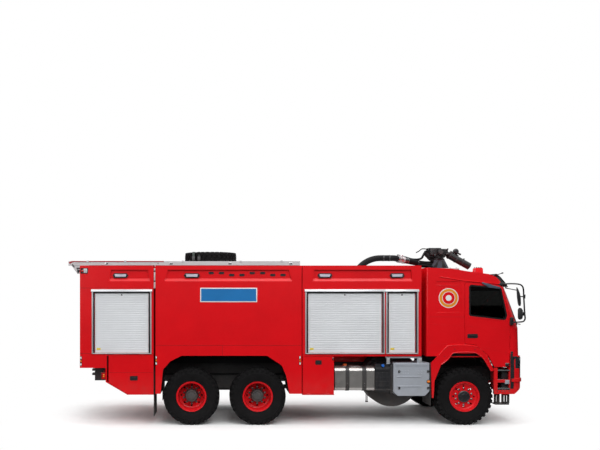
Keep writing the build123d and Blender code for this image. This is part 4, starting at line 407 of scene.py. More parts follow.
CAB_TRIM = Finish("cab_trim", (0.16, 0.15, 0.14), 0.62, mottle=0.1, grain=0.4, grain_scale=500.0)
TANK_BLACK = Finish("tank_black", (0.02, 0.021, 0.024), 0.3, coat=0.4, mottle=0.15, grain=0.06, dust=0.25)
CAP_ORANGE = Finish("cap_orange", (0.62, 0.1, 0.012), 0.42, coat=0.2, mottle=0.1, grain=0.08)
CAP_BLUE = replace(CAP_ORANGE, name="cap_blue", colour=(0.012, 0.12, 0.5), roughness=0.4)
# Darker red than the cab's paint: painted shade of the step bay. The near black below below_height is the
# lower step's own colour.
SHADED_STEP_RED = Finish("shaded_step_red", (0.3, 0.004, 0.008), 0.4, coat=0.3, mottle=0.1, grain=0.06, dust=0.3, wear=0.25,
                  below_colour=(0.012, 0.012, 0.013), below_height=0.697, specular=0.3)
LENS_PALE = replace(LAMP_RED, name="pale_lens", colour=(0.62, 0.61, 0.7), roughness=0.16, mottle=0.06)
LAMP_DARK = Finish("lamp_dark", (0.03, 0.032, 0.038), 0.08, coat=0.8, mottle=0.08, grain=0.0)


def rounded(corners: Sequence[Point], steps: int = 5) -> list[Pair]:
    """Outline with its corners rounded.

    Args:
        corners: (u, v, radius) of each corner, in order.
        steps: straight runs in each rounded corner.

    Returns:
        The outline's points.
    """
    points = []
    for i, (u, v, radius) in enumerate(corners):
        here = Vector((u, v))
        if radius <= 0:
            points.append((u, v))
            continue
        back = (Vector(corners[i - 1][:2]) - here).normalized()
        ahead = (Vector(corners[(i + 1) % len(corners)][:2]) - here).normalized()
        half = back.angle(ahead) / 2
        centre = here + (back + ahead).normalized() * radius / math.sin(half)
        first = here + back * radius / math.tan(half) - centre
        last = here + ahead * radius / math.tan(half) - centre
        for k in range(steps + 1):
            share = k / steps
            spoke = (first * (1 - share) + last * share).normalized() * radius
            points.append(tuple(centre + spoke))
    return points


def panel(u: Pair, v: Pair, radius: float = 0.0) -> list[Pair]:
    """Rectangle with equally rounded corners."""
    return rounded([(u[0], v[0], radius), (u[1], v[0], radius), (u[1], v[1], radius), (u[0], v[1], radius)])


def eased(points: Sequence[Point], steps: int = 6, closed: bool = False) -> list[Vector]:
    """Smooth line through some points.

    Args:
        points: the points to pass through.
        steps: runs between two points.
        closed: whether the line returns to its start.

    Returns:
        The line's points.
    """
    knots = [Vector(p) for p in points]
    count = len(knots)
    line = []
    for i in range(count if closed else count - 1):
        if closed:
            a, b, c, d = (knots[(i + k) % count] for k in (-1, 0, 1, 2))
        else:
            a, b, c, d = (knots[min(max(i + k, 0), count - 1)] for k in (-1, 0, 1, 2))
        run = (c - b).length
        leave = (c - a) * run / (run + (b - a).length)
        arrive = (d - b) * run / (run + (d - c).length)
        for k in range(steps):
            t = k / steps
            line.append(b * (2 * t ** 3 - 3 * t ** 2 + 1) + leave * (t ** 3 - 2 * t ** 2 + t)
                        + c * (3 * t ** 2 - 2 * t ** 3) + arrive * (t ** 3 - t ** 2))
    if not closed:
        line.append(knots[-1])
    return line


def on(face: float, height: float, sunk: float = 0.001) -> Pair:
    """Span of a fitting on a face: its foot is sunk a little, so that it never floats."""
    return (face - sunk, face + height)


def about(middle: float, half: float) -> Pair:
    """Span that reaches equally far to both sides of its middle."""
    return (middle - half, middle + half)


class Form:
    """Mesh under construction. Each solid added takes the finish that is in use."""

    def __init__(self, finish: Finish) -> None:
        """Starts an empty form.

        Args:
            finish: the first finish in use.
        """
        self.mesh = bmesh.new()
        self.finishes = [finish]
        self.current = 0

    def use(self, finish: Finish) -> "Form":
        """Changes the finish in use."""
        if finish not in self.finishes:
            self.finishes.append(finish)
        self.current = self.finishes.index(finish)
        return self

    def take(self, part: bmesh.types.BMesh, edge: float = 0.0) -> "Form":
        """Adds a finished part, with its sharp edges eased.

        Args:
            part: the part's mesh, which is freed.
            edge: width of the eased edges.

        Returns:
            The form.
        """
        bmesh.ops.remove_doubles(part, verts=part.verts, dist=WELD)
        bmesh.ops.recalc_face_normals(part, faces=part.faces)
        if edge > 0:
            limit = math.radians(SHARP_DEGREES)
            sharp = [e for e in part.edges if len(e.link_faces) == 2 and e.calc_face_angle() > limit]
            bmesh.ops.bevel(part, geom=sharp, offset=edge, segments=2, profile=0.6, affect="EDGES",
                            clamp_overlap=True)
        for face in part.faces:
            face.material_index = self.current
        scratch = bpy.data.meshes.new("scratch")
        part.to_mesh(scratch)
        part.free()
        self.mesh.from_mesh(scratch)
        bpy.data.meshes.remove(scratch)
        return self

    def prism(self, outline: Sequence[Pair], axis: Axis, span: Pair, edge: float = 0.0,
              lean: float = 0.0) -> "Form":
        """Extrudes an outline.

        Args:
            outline: its points, (y, z), (x, z) or (x, y) for an extrusion along X, Y or Z.
            axis: the axis to extrude along.
            span: where it starts and ends on that axis.
            edge: width of the eased edges.
            lean: how far the first coordinate moves per metre along the axis, from the middle of the span.

        Returns:
            The form.
        """
        part = bmesh.new()
        rows = []
        for level in span:
            shift = lean * (level - (span[0] + span[1]) / 2)
            rows.append([part.verts.new(placed(u + shift, v, level, axis)) for u, v in outline])
        part.faces.new(rows[0])
        part.faces.new(rows[1])
        skin(part, rows[0], rows[1])
        return self.take(part, edge)

    def block(self, x: Pair, y: Pair, z: Pair, edge: float = 0.0) -> "Form":
        """Adds a block between two x, two y and two z values, with eased edges."""
        return self.prism(panel(x, z), Y, y, edge)

    def band(self, outer: Sequence[Pair], inner: Sequence[Pair], axis: Axis, span: Pair) -> "Form":
        """Extrudes the ring between two outlines with the same count of points.

        Args:
            outer: the outer outline.
            inner: the inner outline.
            axis: the axis to extrude along.
            span: where it starts and ends on that axis.

        Returns:
            The form.
        """
        part = bmesh.new()
        rows = [[part.verts.new(placed(u, v, level, axis)) for u, v in line] for level in span
                for line in (outer, inner)]
        for first, second in ((0, 1), (1, 3), (3, 2), (2, 0)):
            skin(part, rows[first], rows[second])
        return self.take(part)

    def rod(self, start: Point, end: Point, radius: float, sides: int = 20,
            end_radius: Optional[float] = None, edge: float = 0.0) -> "Form":
        """Adds a round or many-sided bar.

        Args:
            start: centre of one end.
            end: centre of the other end.
            radius: radius at the start.
            sides: count of its sides.
            end_radius: radius at the end, if it tapers.
            edge: width of the eased edges.

        Returns:
            The form.
        """
        a, b = Vector(start), Vector(end)
        part = bmesh.new()
        place = Matrix.Translation((a + b) / 2) @ (b - a).to_track_quat("Z", "Y").to_matrix().to_4x4()
        bmesh.ops.create_cone(part, cap_ends=True, segments=sides, radius1=radius,
                              radius2=radius if end_radius is None else end_radius, depth=(b - a).length,
                              matrix=place)
        return self.take(part, edge)

    def bar(self, axis: Axis, at: Pair, span: Pair, radius: float, sides: int = 20,
            end_radius: Optional[float] = None, edge: float = 0.0) -> "Form":
        """Adds a bar along an axis.

        Args:
            axis: the axis that the bar runs along.
            at: its other two coordinates.
            span: where it starts and ends on the axis.
            radius: radius at the start.
            sides: count of its sides.
            end_radius: radius at the end, if it tapers.
            edge: width of the eased edges.

        Returns:
            The form.
        """
        ends = [placed(*at, level, axis) for level in span]
        return self.rod(ends[0], ends[1], radius, sides, end_radius, edge)

    def plate(self, axis: Axis, u: Pair, v: Pair, span: Pair, radius: float, edge: float = 0.0) -> "Form":
        """Adds a plate with rounded corners, u by v in size and square to an axis."""
        return self.prism(panel(u, v, radius), axis, span, edge)

    def dished(self, axis: Axis, u: Pair, v: Pair, corner: float, rim: float, face: float,
               heights: Pair) -> "Form":
        """Adds a plate with a raised rim.

        Args:
            axis: the axis that it is square to.
            u: its ends in the first direction.
            v: its ends in the second direction.
            corner: radius of its corners.
            rim: width of the rim.
            face: the face that it stands on.
            heights: how high the rim and the floor inside it stand.

        Returns:
            The form.
        """
        outer = panel(u, v, corner)
        self.band(outer, shrunk(outer, rim), axis, on(face, heights[0]))
        return self.prism(shrunk(outer, rim), axis, on(face, heights[1]))

    def bolts(self, axis: Axis, centre: Point, circle_radius: float, angles: Sequence[float], radius: float,
              height: float, out: float = 1) -> "Form":
        """Adds bolt heads round a circle square to an axis.

        Args:
            axis: the bolts' axis.
            centre: the circle's middle, at the height of the heads' seats.
            circle_radius: the circle's radius.
            angles: where on the circle the bolts are.
            radius: the heads' radius.
            height: the heads' height.
            out: 1 or -1, the way the heads look.

        Returns:
            The form.
        """
        for angle in angles:
            round_at = placed(circle_radius * math.cos(angle), circle_radius * math.sin(angle), 0.0, axis)
            self.bolt(Vector(centre) + Vector(round_at), axis, out, radius, height)
        return self

    def turned(self, profile: Sequence[Pair], centre: Point, axis: Axis, steps: int = 48,
               closed: bool = False) -> "Form":
        """Turns a profile about an axis.

        Args:
            profile: (distance along the axis, radius) points.
            centre: the point that the distances start from.
            axis: the axis to turn about.
            steps: faces round the axis.
            closed: whether the profile's end joins its start.

        Returns:
            The form.
        """
        part = bmesh.new()
        rings = []
        for along, radius in profile:
            ring = [placed(radius * math.cos(a), radius * math.sin(a), along, axis) for a in circle(steps)]
            rings.append([part.verts.new(Vector(centre) + Vector(point)) for point in ring])
        for ring, following in zip(rings, rings[1:] + (rings[:1] if closed else [])):
            skin(part, ring, following)
        return self.take(part)

    def tube(self, points: Sequence[Point], radius: float, sides: int = 12, closed: bool = False,
             steps: int = 6) -> "Form":
        """Sweeps a round section along a smooth line.

        Args:
            points: points that the line passes through.
            radius: the section's radius.
            sides: faces round the section.
            closed: whether the line returns to its start.
            steps: runs of the line between two points.

        Returns:
            The form.
        """
        line = eased(points, steps, closed)
        part = bmesh.new()
        rings = []
        side = None
        for i, here in enumerate(line):
            before = line[i - 1] if i or closed else here
            after = line[(i + 1) % len(line)] if i < len(line) - 1 or closed else here
            along = (after - before).normalized()
            guide = side if side is not None else (Vector((0, 0, 1)) if abs(along.z) < 0.9
                                                   else Vector((1, 0, 0)))
            side = (guide - along * guide.dot(along)).normalized()
            across = along.cross(side)
            spokes = [side * radius * math.cos(a) + across * radius * math.sin(a) for a in circle(sides)]
            rings.append([part.verts.new(here + spoke) for spoke in spokes])
        for ring, following in zip(rings, rings[1:] + (rings[:1] if closed else [])):
            skin(part, ring, following)
        if not closed:
            part.faces.new(rings[0])
            part.faces.new(rings[-1])
        return self.take(part)

    def ball(self, centre: Point, size: Point, steps: int = 24) -> "Form":
        """Adds an ellipsoid with the given half sizes."""
        part = bmesh.new()
        place = Matrix.Translation(centre) @ Matrix.Diagonal((*size, 1.0))
        bmesh.ops.create_uvsphere(part, u_segments=steps, v_segments=steps // 2, radius=1.0, matrix=place)
        return self.take(part)

    def bolt(self, at: Point, axis: Axis, out: float, radius: float, height: float) -> "Form":
        """Adds a hexagon bolt head on its washer.

        Args:
            at: where the head's seat is.
            axis: the bolt's axis.
            out: 1 or -1, the way the head looks.
            radius: the head's radius.
            height: the head's height.

        Returns:
            The form.
        """
        way = Vector((0, 0, 0))
        way[axis.value] = out
        seat = Vector(at)
        self.rod(seat, seat + way * height * 0.25, radius * 1.35, 18)
        return self.rod(seat + way * height * 0.25, seat + way * height, radius, 6, radius * 0.92)

    def mirror(self, both: bool) -> None:
        """Moves the form to the right side, or copies it there."""
        other = self.mesh.copy()
        bmesh.ops.transform(other, matrix=Matrix.Diagonal((1.0, -1.0, 1.0, 1.0)), verts=other.verts)
        bmesh.ops.reverse_faces(other, faces=other.faces)
        if both:
            scratch = bpy.data.meshes.new("scratch")
            self.mesh.to_mesh(scratch)
            other.from_mesh(scratch)
            bpy.data.meshes.remove(scratch)
        self.mesh.free()
        self.mesh = other

    def ended(self, name: str, smooth: float) -> bpy.types.Mesh:
        """Ends the form as a smooth mesh whose edges are sharp above some degrees."""
        mesh = bpy.data.meshes.new(name)
        self.mesh.to_mesh(mesh)
        self.mesh.free()
        mesh.polygons.foreach_set("use_smooth", [True] * len(mesh.polygons))
        mesh.set_sharp_from_angle(angle=math.radians(smooth))
        for finish in self.finishes:
            mesh.materials.append(finish.material())
        return mesh

    def piece(self, name: str, body: str = "truck", sides: Sides = Sides.LEFT, replaces: Sequence[str] = (),
              slot: Optional[str] = None, smooth: float = 32.0) -> bpy.types.Object:
        """Ends the form as a piece that rides on a body.

        Args:
            name: the piece's name.
            body: the body that it moves with.
            sides: the side or sides of the truck that it is placed on.
            replaces: CAD nodes that it stands for.
            slot: not used.
            smooth: edges sharper than this many degrees stay sharp.

        Returns:
            The piece.
        """
        if sides is not Sides.LEFT:
            self.mirror(sides is Sides.BOTH)
        mesh = self.ended(name, smooth)
        piece = bpy.data.objects.new(name, mesh)
        show(piece)
        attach(piece, body)
        if replaces:
            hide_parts(*replaces)
        log.info("%s: %d faces on %s", name, len(mesh.polygons), body)
        return piece


def skin(part: bmesh.types.BMesh, ring: Sequence, following: Sequence) -> None:
    """Closes the space between two rings of vertices with a row of faces."""
    for i in range(len(ring)):
        k = (i + 1) % len(ring)
        part.faces.new((ring[i], ring[k], following[k], following[i]))


def shrunk(points: Sequence[Pair], distance: float) -> list[Pair]:
    """Convex outline moved inwards.

    Args:
        points: the outline's points, in order.
        distance: how far each side moves towards the middle.

    Returns:
        The moved points, as many as before.
    """
    middle = sum((Vector(p) for p in points), Vector((0.0, 0.0))) / len(points)
    moved = []
    for i, point in enumerate(points):
        here = Vector(point)
        ahead = Vector(points[(i + 1) % len(points)]) - Vector(points[i - 1])
        inward = Vector((-ahead.y, ahead.x)).normalized()
        if inward.dot(middle - here) < 0:
            inward = -inward
        moved.append(tuple(here + inward * distance))
    return moved


def circle(count: int, start: float = 0.0) -> list[float]:
    """Angles of evenly spaced points on a circle, the first one a share of the spacing further on."""
    return [2 * math.pi * (k + start) / count for k in range(count)]


def placed(u: float, v: float, level: float, axis: Axis) -> Point:
    """Point of an outline at a level along an axis."""
    return {X: (level, u, v), Y: (u, level, v), Z: (u, v, level)}[axis]


def show(thing: bpy.types.Object) -> None:
    """Puts an object into the scene."""
    bpy.context.scene.collection.objects.link(thing)


def dress(finish: Finish, *nodes: str) -> None:
    """Gives CAD nodes a finish."""
    for name in nodes:
        for slot in frame["nodes"][name].material_slots:
            slot.material = finish.material()


def body_of(node: str) -> str:
    """Name of the body that a CAD node rides on."""
    return frame["nodes"][node]["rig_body"]


@dataclass
class Studio:
    """Pale floor, soft light and the camera at the photograph's viewing angle."""

    camera_at: Point = (-1.552, -14.275, 2.641)
    side_distance: float = 13.0
    side_metres_per_pixel: float = 0.02024
    frame_pixels: tuple[int, int] = (600, 450)
    optical_centre: Pair = (220.0, 295.0)
    sensor: float = 36.0
    floor_half: float = 150.0
    floor_shades: Pair = (0.84, 0.88)
    floor_shine: float = 0.15
    shadow_half: Pair = (4.5, 1.45)
    shadow_fade: float = 1.5
    sky_heights: Pair = (0.05, 0.6)
    sky_levels: Pair = (0.05, 1.25)
    # Name, place, the point that it faces, length of its sides, watts.
    lamps: tuple[tuple[str, Point, Point, float, float], ...] = (
        ("key_light", (2.0, -11.0, 10.5), (0.3, 0.0, 1.4), 8.0, 880.0),
        ("top_light", (-0.5, 0.0, 10.5), (0.0, 0.0, 0.0), 9.0, 470.0),
        ("fill_light", (-9.0, -9.0, 5.0), (-1.0, 0.0, 1.4), 6.0, 210.0),
    )

    def build(self) -> None:
        """Makes the camera, the floor and the lights."""
        self.camera()
        self.floor()
        self.sky()
        for lamp in self.lamps:
            self.lamp(*lamp)
        bpy.context.scene.view_settings.view_transform = "Standard"

    def camera(self) -> None:
        """Camera whose framing is moved by its shift alone, so that upright edges stay upright."""
        data = bpy.data.cameras.new("photo_camera")
        width, height = self.frame_pixels
        data.sensor_width = self.sensor
        data.lens = self.side_distance / self.side_metres_per_pixel / width * self.sensor
        data.shift_x = (width / 2 - self.optical_centre[0]) / width
        data.shift_y = (self.optical_centre[1] - height / 2) / width
        data.clip_end = 400.0
        camera = bpy.data.objects.new("photo_camera", data)
        camera.location = self.camera_at
        camera.rotation_euler = (math.radians(90.0), 0.0, 0.0)
        show(camera)
        bpy.context.scene.camera = camera

    def floor_finish(self) -> bpy.types.Material:
        """Pale floor that fades into the white surround away from the truck.

        Returns:
            The material, which glows as white as the surround outside the fading border.
        """
        graph = Graph("studio_floor")
        place = graph.node("ShaderNodeSeparateXYZ", {}, {0: graph.coordinates}).outputs
        reaches = []
        for axis, half in ((0, self.shadow_half[0]), (1, self.shadow_half[1])):
            size = graph.maths("ABSOLUTE", place[axis], 0.0)
            reaches.append(graph.maths("MAXIMUM", graph.maths("SUBTRACT", size, half), 0.0))
        squares = [graph.maths("MULTIPLY", reach, reach) for reach in reaches]
        away = graph.maths("SQRT", graph.maths("ADD", *squares), 0.0)
        fade = graph.ranged(away, (0.0, self.shadow_fade), SHARE)
        smooth = graph.maths("SUBTRACT", 1.0, graph.maths("POWER", graph.maths("SUBTRACT", 1.0, fade), 2.0))
        speckle = graph.ranged(graph.noise(3.0, 5.0), (0.3, 0.7), self.floor_shades)
        graph.set("Base Color", graph.mixed(smooth, graph.grey(speckle), (0.0, 0.0, 0.0)))
        graph.set("Specular IOR Level", graph.ranged(smooth, SHARE, (self.floor_shine, 0.0)))
        graph.set("Roughness", 0.8)
        graph.set("Emission Color", WHITE)
        seen = graph.node("ShaderNodeLightPath", {}, {}).outputs["Is Camera Ray"]
        graph.set("Emission Strength", graph.maths("MULTIPLY", smooth, seen))
        return graph.material

    def floor(self) -> None:
        """Wide flat floor."""
        mesh = bpy.data.meshes.new("studio_floor")
        half = self.floor_half
        mesh.from_pydata([(-half, -half, 0), (half, -half, 0), (half, half, 0), (-half, half, 0)], [],
                         [(0, 1, 2, 3)])
        mesh.materials.append(self.floor_finish())
        floor = bpy.data.objects.new("studio_floor", mesh)
        show(floor)

    def sky(self) -> None:
        """Surround that the camera sees as white and that reflections see as dark at the horizon."""
        world = bpy.data.worlds.new("studio_surround")
        bpy.context.scene.world = world
        world.use_nodes = True
        tree = world.node_tree
        back = tree.nodes["Background"]
        place = tree.nodes.new("ShaderNodeTexCoord")
        split = tree.nodes.new("ShaderNodeSeparateXYZ")
        ramp = tree.nodes.new("ShaderNodeMapRange")
        path = tree.nodes.new("ShaderNodeLightPath")
        choose = tree.nodes.new("ShaderNodeMath")
        choose.operation = "MAXIMUM"
        tree.links.new(place.outputs["Generated"], split.inputs[0])
        tree.links.new(split.outputs[2], ramp.inputs["Value"])
        for key, value in zip(("From Min", "From Max", "To Min", "To Max"),
                              self.sky_heights + self.sky_levels):
            ramp.inputs[key].default_value = value
        tree.links.new(ramp.outputs[0], choose.inputs[0])
        tree.links.new(path.outputs["Is Camera Ray"], choose.inputs[1])
        tree.links.new(choose.outputs[0], back.inputs["Strength"])
        back.inputs["Color"].default_value = WHITE

    def lamp(self, name: str, at: Point, towards: Point, size: float, watts: float) -> None:
        """Adds a soft square light.

        Args:
            name: its name.
            at: its place.
            towards: the point that it faces.
            size: the length of its sides.
            watts: its power.
        """
        data = bpy.data.lights.new(name, "AREA")
        data.size = size
        data.energy = watts
        lamp = bpy.data.objects.new(name, data)
        lamp.location = at
        lamp.rotation_euler = (Vector(towards) - Vector(at)).to_track_quat("-Z", "Y").to_euler()
        show(lamp)


@dataclass
class Wheels:
    """Tyres with their tread and sidewalls, and the nuts, hubs and caps on the rims."""

    pitches: int = 32
    tread_radius: float = 0.575
    block_foot: float = 0.546
    # Share of the pitch where a row's blocks start and end, their inner and outer edges, the share by which
    # the outer edge runs ahead, and the blocks' foot and top where they aren't the tread's.
    rows: tuple[tuple, ...] = (
        (0.0, 0.62, 0.112, 0.189, 0.1, 0.528, None),
        (0.3, 0.95, 0.058, 0.104, 0.22, None, None),
        (0.02, 0.66, 0.006, 0.05, 0.22, None, None),
        (0.1, 0.5, 0.1835, 0.1895, 0.0, 0.5, 0.553),
    )
    shoulder: float = 0.15
    shoulder_drop: float = 0.01
    nut_circle: float = 0.168
    nuts: int = 10
    nut_radius: float = 0.0155
    nut_height: Pair = (0.022, 0.024)
    front_hub_out: float = 0.152
    front_disc_out: float = 0.112
    rear_disc_out: float = -0.058
    rear_hub_out: float = 0.078

    def build(self) -> None:
        """Makes every wheel's tyre and dressing."""
        tyre = self.tyre_mesh()
        for name in [f"{axle}_{side}" for axle in ("front", "fore_bogie", "aft_bogie")
                     for side in ("right", "left")]:
            low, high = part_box(f"tyre_{name}")
            centre = (low + high) / 2
            self.place(tyre, f"tread_{name}", f"tyre_{name}", centre, 0.0)
            dress(RIM_RED, f"rim_{name}")
            dressing = self.front_dressing if name.startswith("front") else self.rear_dressing
            form = dressing(Vector((centre.x, abs(centre.y), centre.z)))
            form.piece(f"hub_{name}", body_of(f"rim_{name}"), Sides.RIGHT if centre.y < 0 else Sides.LEFT)
        low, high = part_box("spare_tyre")
        self.place(tyre, "tread_spare", "spare_tyre", (low + high) / 2, math.radians(90.0))
        dress(RIM_RED, "spare_rim")

    def place(self, mesh: bpy.types.Mesh, name: str, node: str, centre: Vector, lean: float) -> None:
        """Places one tyre.

        Args:
            mesh: the shared tyre mesh.
            name: the piece's name.
            node: the CAD node that it stands for.
            centre: the tyre's middle.
            lean: turn about the truck's length.
        """
        piece = bpy.data.objects.new(name, mesh)
        piece.location = centre
        piece.rotation_euler = (lean, 0.0, 0.0)
        show(piece)
        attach(piece, body_of(node))
        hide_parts(node)

    def tyre_mesh(self) -> bpy.types.Mesh:
        """Carcass with its ribs, and the tread's blocks.

        Returns:
            The mesh, with the wheel's axis along Y and its middle at the origin.
        """
        half = [(0.07, 0.276), (0.15, 0.291), (0.153, 0.307), (0.168, 0.318), (0.173, 0.33), (0.17, 0.338),
                (0.18, 0.365), (0.186, 0.405), (0.1875, 0.44), (0.1865, 0.462), (0.189, 0.466),
                (0.1885, 0.474), (0.1855, 0.478), (0.182, 0.505), (0.174, 0.533), (0.16, 0.549),
                (0.12, 0.553), (0.05, 0.555)]
        profile = half + [(-a, r) for a, r in reversed(half)]
        form = Form(TYRE_RUBBER)
        form.turned(profile, (0.0, 0.0, 0.0), Y, 120, closed=True)
        pitch = 2 * math.pi / self.pitches
        for angle in circle(self.pitches):
            for side, start in ((1, angle), (-1, angle + 0.5 * pitch)):
                for first, last, inner, outer, skew, foot, top in self.rows:
                    self.lug(form, start + first * pitch, start + last * pitch, side * inner, side * outer,
                             skew * pitch, foot, top)
        mesh = form.ended("tyre", 30.0)
        log.info("tyre: %d faces", len(mesh.polygons))
        return mesh

    def lug(self, form: Form, start: float, end: float, inner: float, outer: float, skew: float,
            foot: Optional[float] = None, top: Optional[float] = None) -> None:
        """Adds one tread block.

        Args:
            form: the tyre's form.
            start: angle where the block starts.
            end: angle where it ends.
            inner: the edge nearer to the tyre's middle.
            outer: the edge nearer to the sidewall.
            skew: angle by which the outer edge runs ahead.
            foot: radius that the block's outer side reaches down to.
            top: radius of the block's top, if not the tread's.
        """
        crest = top or self.tread_radius
        foot_out = foot or self.block_foot
        foot_in = foot_out if top else self.block_foot
        ease = (end - start) * 0.06
        drop = self.shoulder_drop if abs(outer) > self.shoulder and not top else 0.0
        edge, low = outer * 0.985, crest - drop
        part = bmesh.new()
        base = [(start, inner, foot_in), (end, inner, foot_in), (end + skew, outer, foot_out),
                (start + skew, outer, foot_out)]
        cap = [(start + ease, inner, crest), (end - ease, inner, crest), (end + skew - ease, edge, low),
               (start + skew + ease, edge, low)]
        foot_ring, top_ring = ([part.verts.new((r * math.sin(a), y, r * math.cos(a))) for a, y, r in ring]
                               for ring in (base, cap))
        part.faces.new(foot_ring)
        part.faces.new(top_ring)
        skin(part, foot_ring, top_ring)
        form.take(part, 0.003)

    def front_dressing(self, centre: Vector) -> Form:
        """Nuts, studs and dark hub cap of a front wheel."""
        form = Form(STEEL)
        face = centre.y + self.front_disc_out
        for angle in circle(self.nuts, 0.5):
            x = centre.x + self.nut_circle * math.cos(angle)
            z = centre.z + self.nut_circle * math.sin(angle)
            form.bolt((x, face, z), Y, 1, self.nut_radius, self.nut_height[0])
            form.bar(Y, (x, z), (face + 0.02, face + 0.03), 0.009, 12)
        form.use(BLACK_PAINT)
        out = centre.y + self.front_hub_out
        form.turned([(-0.03, 0.1205), (-0.006, 0.1195), (0.0, 0.113), (0.004, 0.104), (0.004, 0.06),
                     (0.007, 0.056), (0.009, 0.03), (0.009, 0.0)], (centre.x, out, centre.z), Y, 48)
        form.bolts(Y, (centre.x, out + 0.004, centre.z), 0.085, circle(8), 0.007, 0.006)
        self.rim_edge(form, centre)
        return form

    def rear_dressing(self, centre: Vector) -> Form:
        """Nuts and stepped dark hub of a bogie wheel."""
        form = Form(STEEL)
        face = centre.y + self.rear_disc_out
        form.bolts(Y, (centre.x, face, centre.z), self.nut_circle, circle(self.nuts, 0.5), self.nut_radius,
                   self.nut_height[1])
        form.use(CAST_IRON)
        out = centre.y + self.rear_hub_out
        form.turned([(-0.134, 0.142), (-0.1, 0.14), (-0.088, 0.128), (-0.03, 0.124), (-0.022, 0.1195),
                     (-0.004, 0.1185), (0.003, 0.11), (0.003, 0.082), (0.016, 0.078), (0.02, 0.066),
                     (0.022, 0.03), (0.022, 0.0)], (centre.x, out, centre.z), Y, 48)
        form.bolts(Y, (centre.x, out + 0.003, centre.z), 0.097, circle(10), 0.008, 0.008)
        self.rim_edge(form, centre)
        return form

    def rim_edge(self, form: Form, centre: Vector) -> None:
        """Lock ring in the rim's outer edge, and the valve."""
        form.use(RIM_RED)
        form.turned([(0.146, 0.2915), (0.1665, 0.2915), (0.1695, 0.297), (0.1695, 0.304), (0.165, 0.3075),
                     (0.15, 0.3075)], tuple(centre), Y, 96, closed=True)
        form.use(STEEL)
        form.rod((centre.x - 0.235, centre.y + 0.1, centre.z), (centre.x - 0.238, centre.y + 0.15, centre.z),
                 0.005, 10)


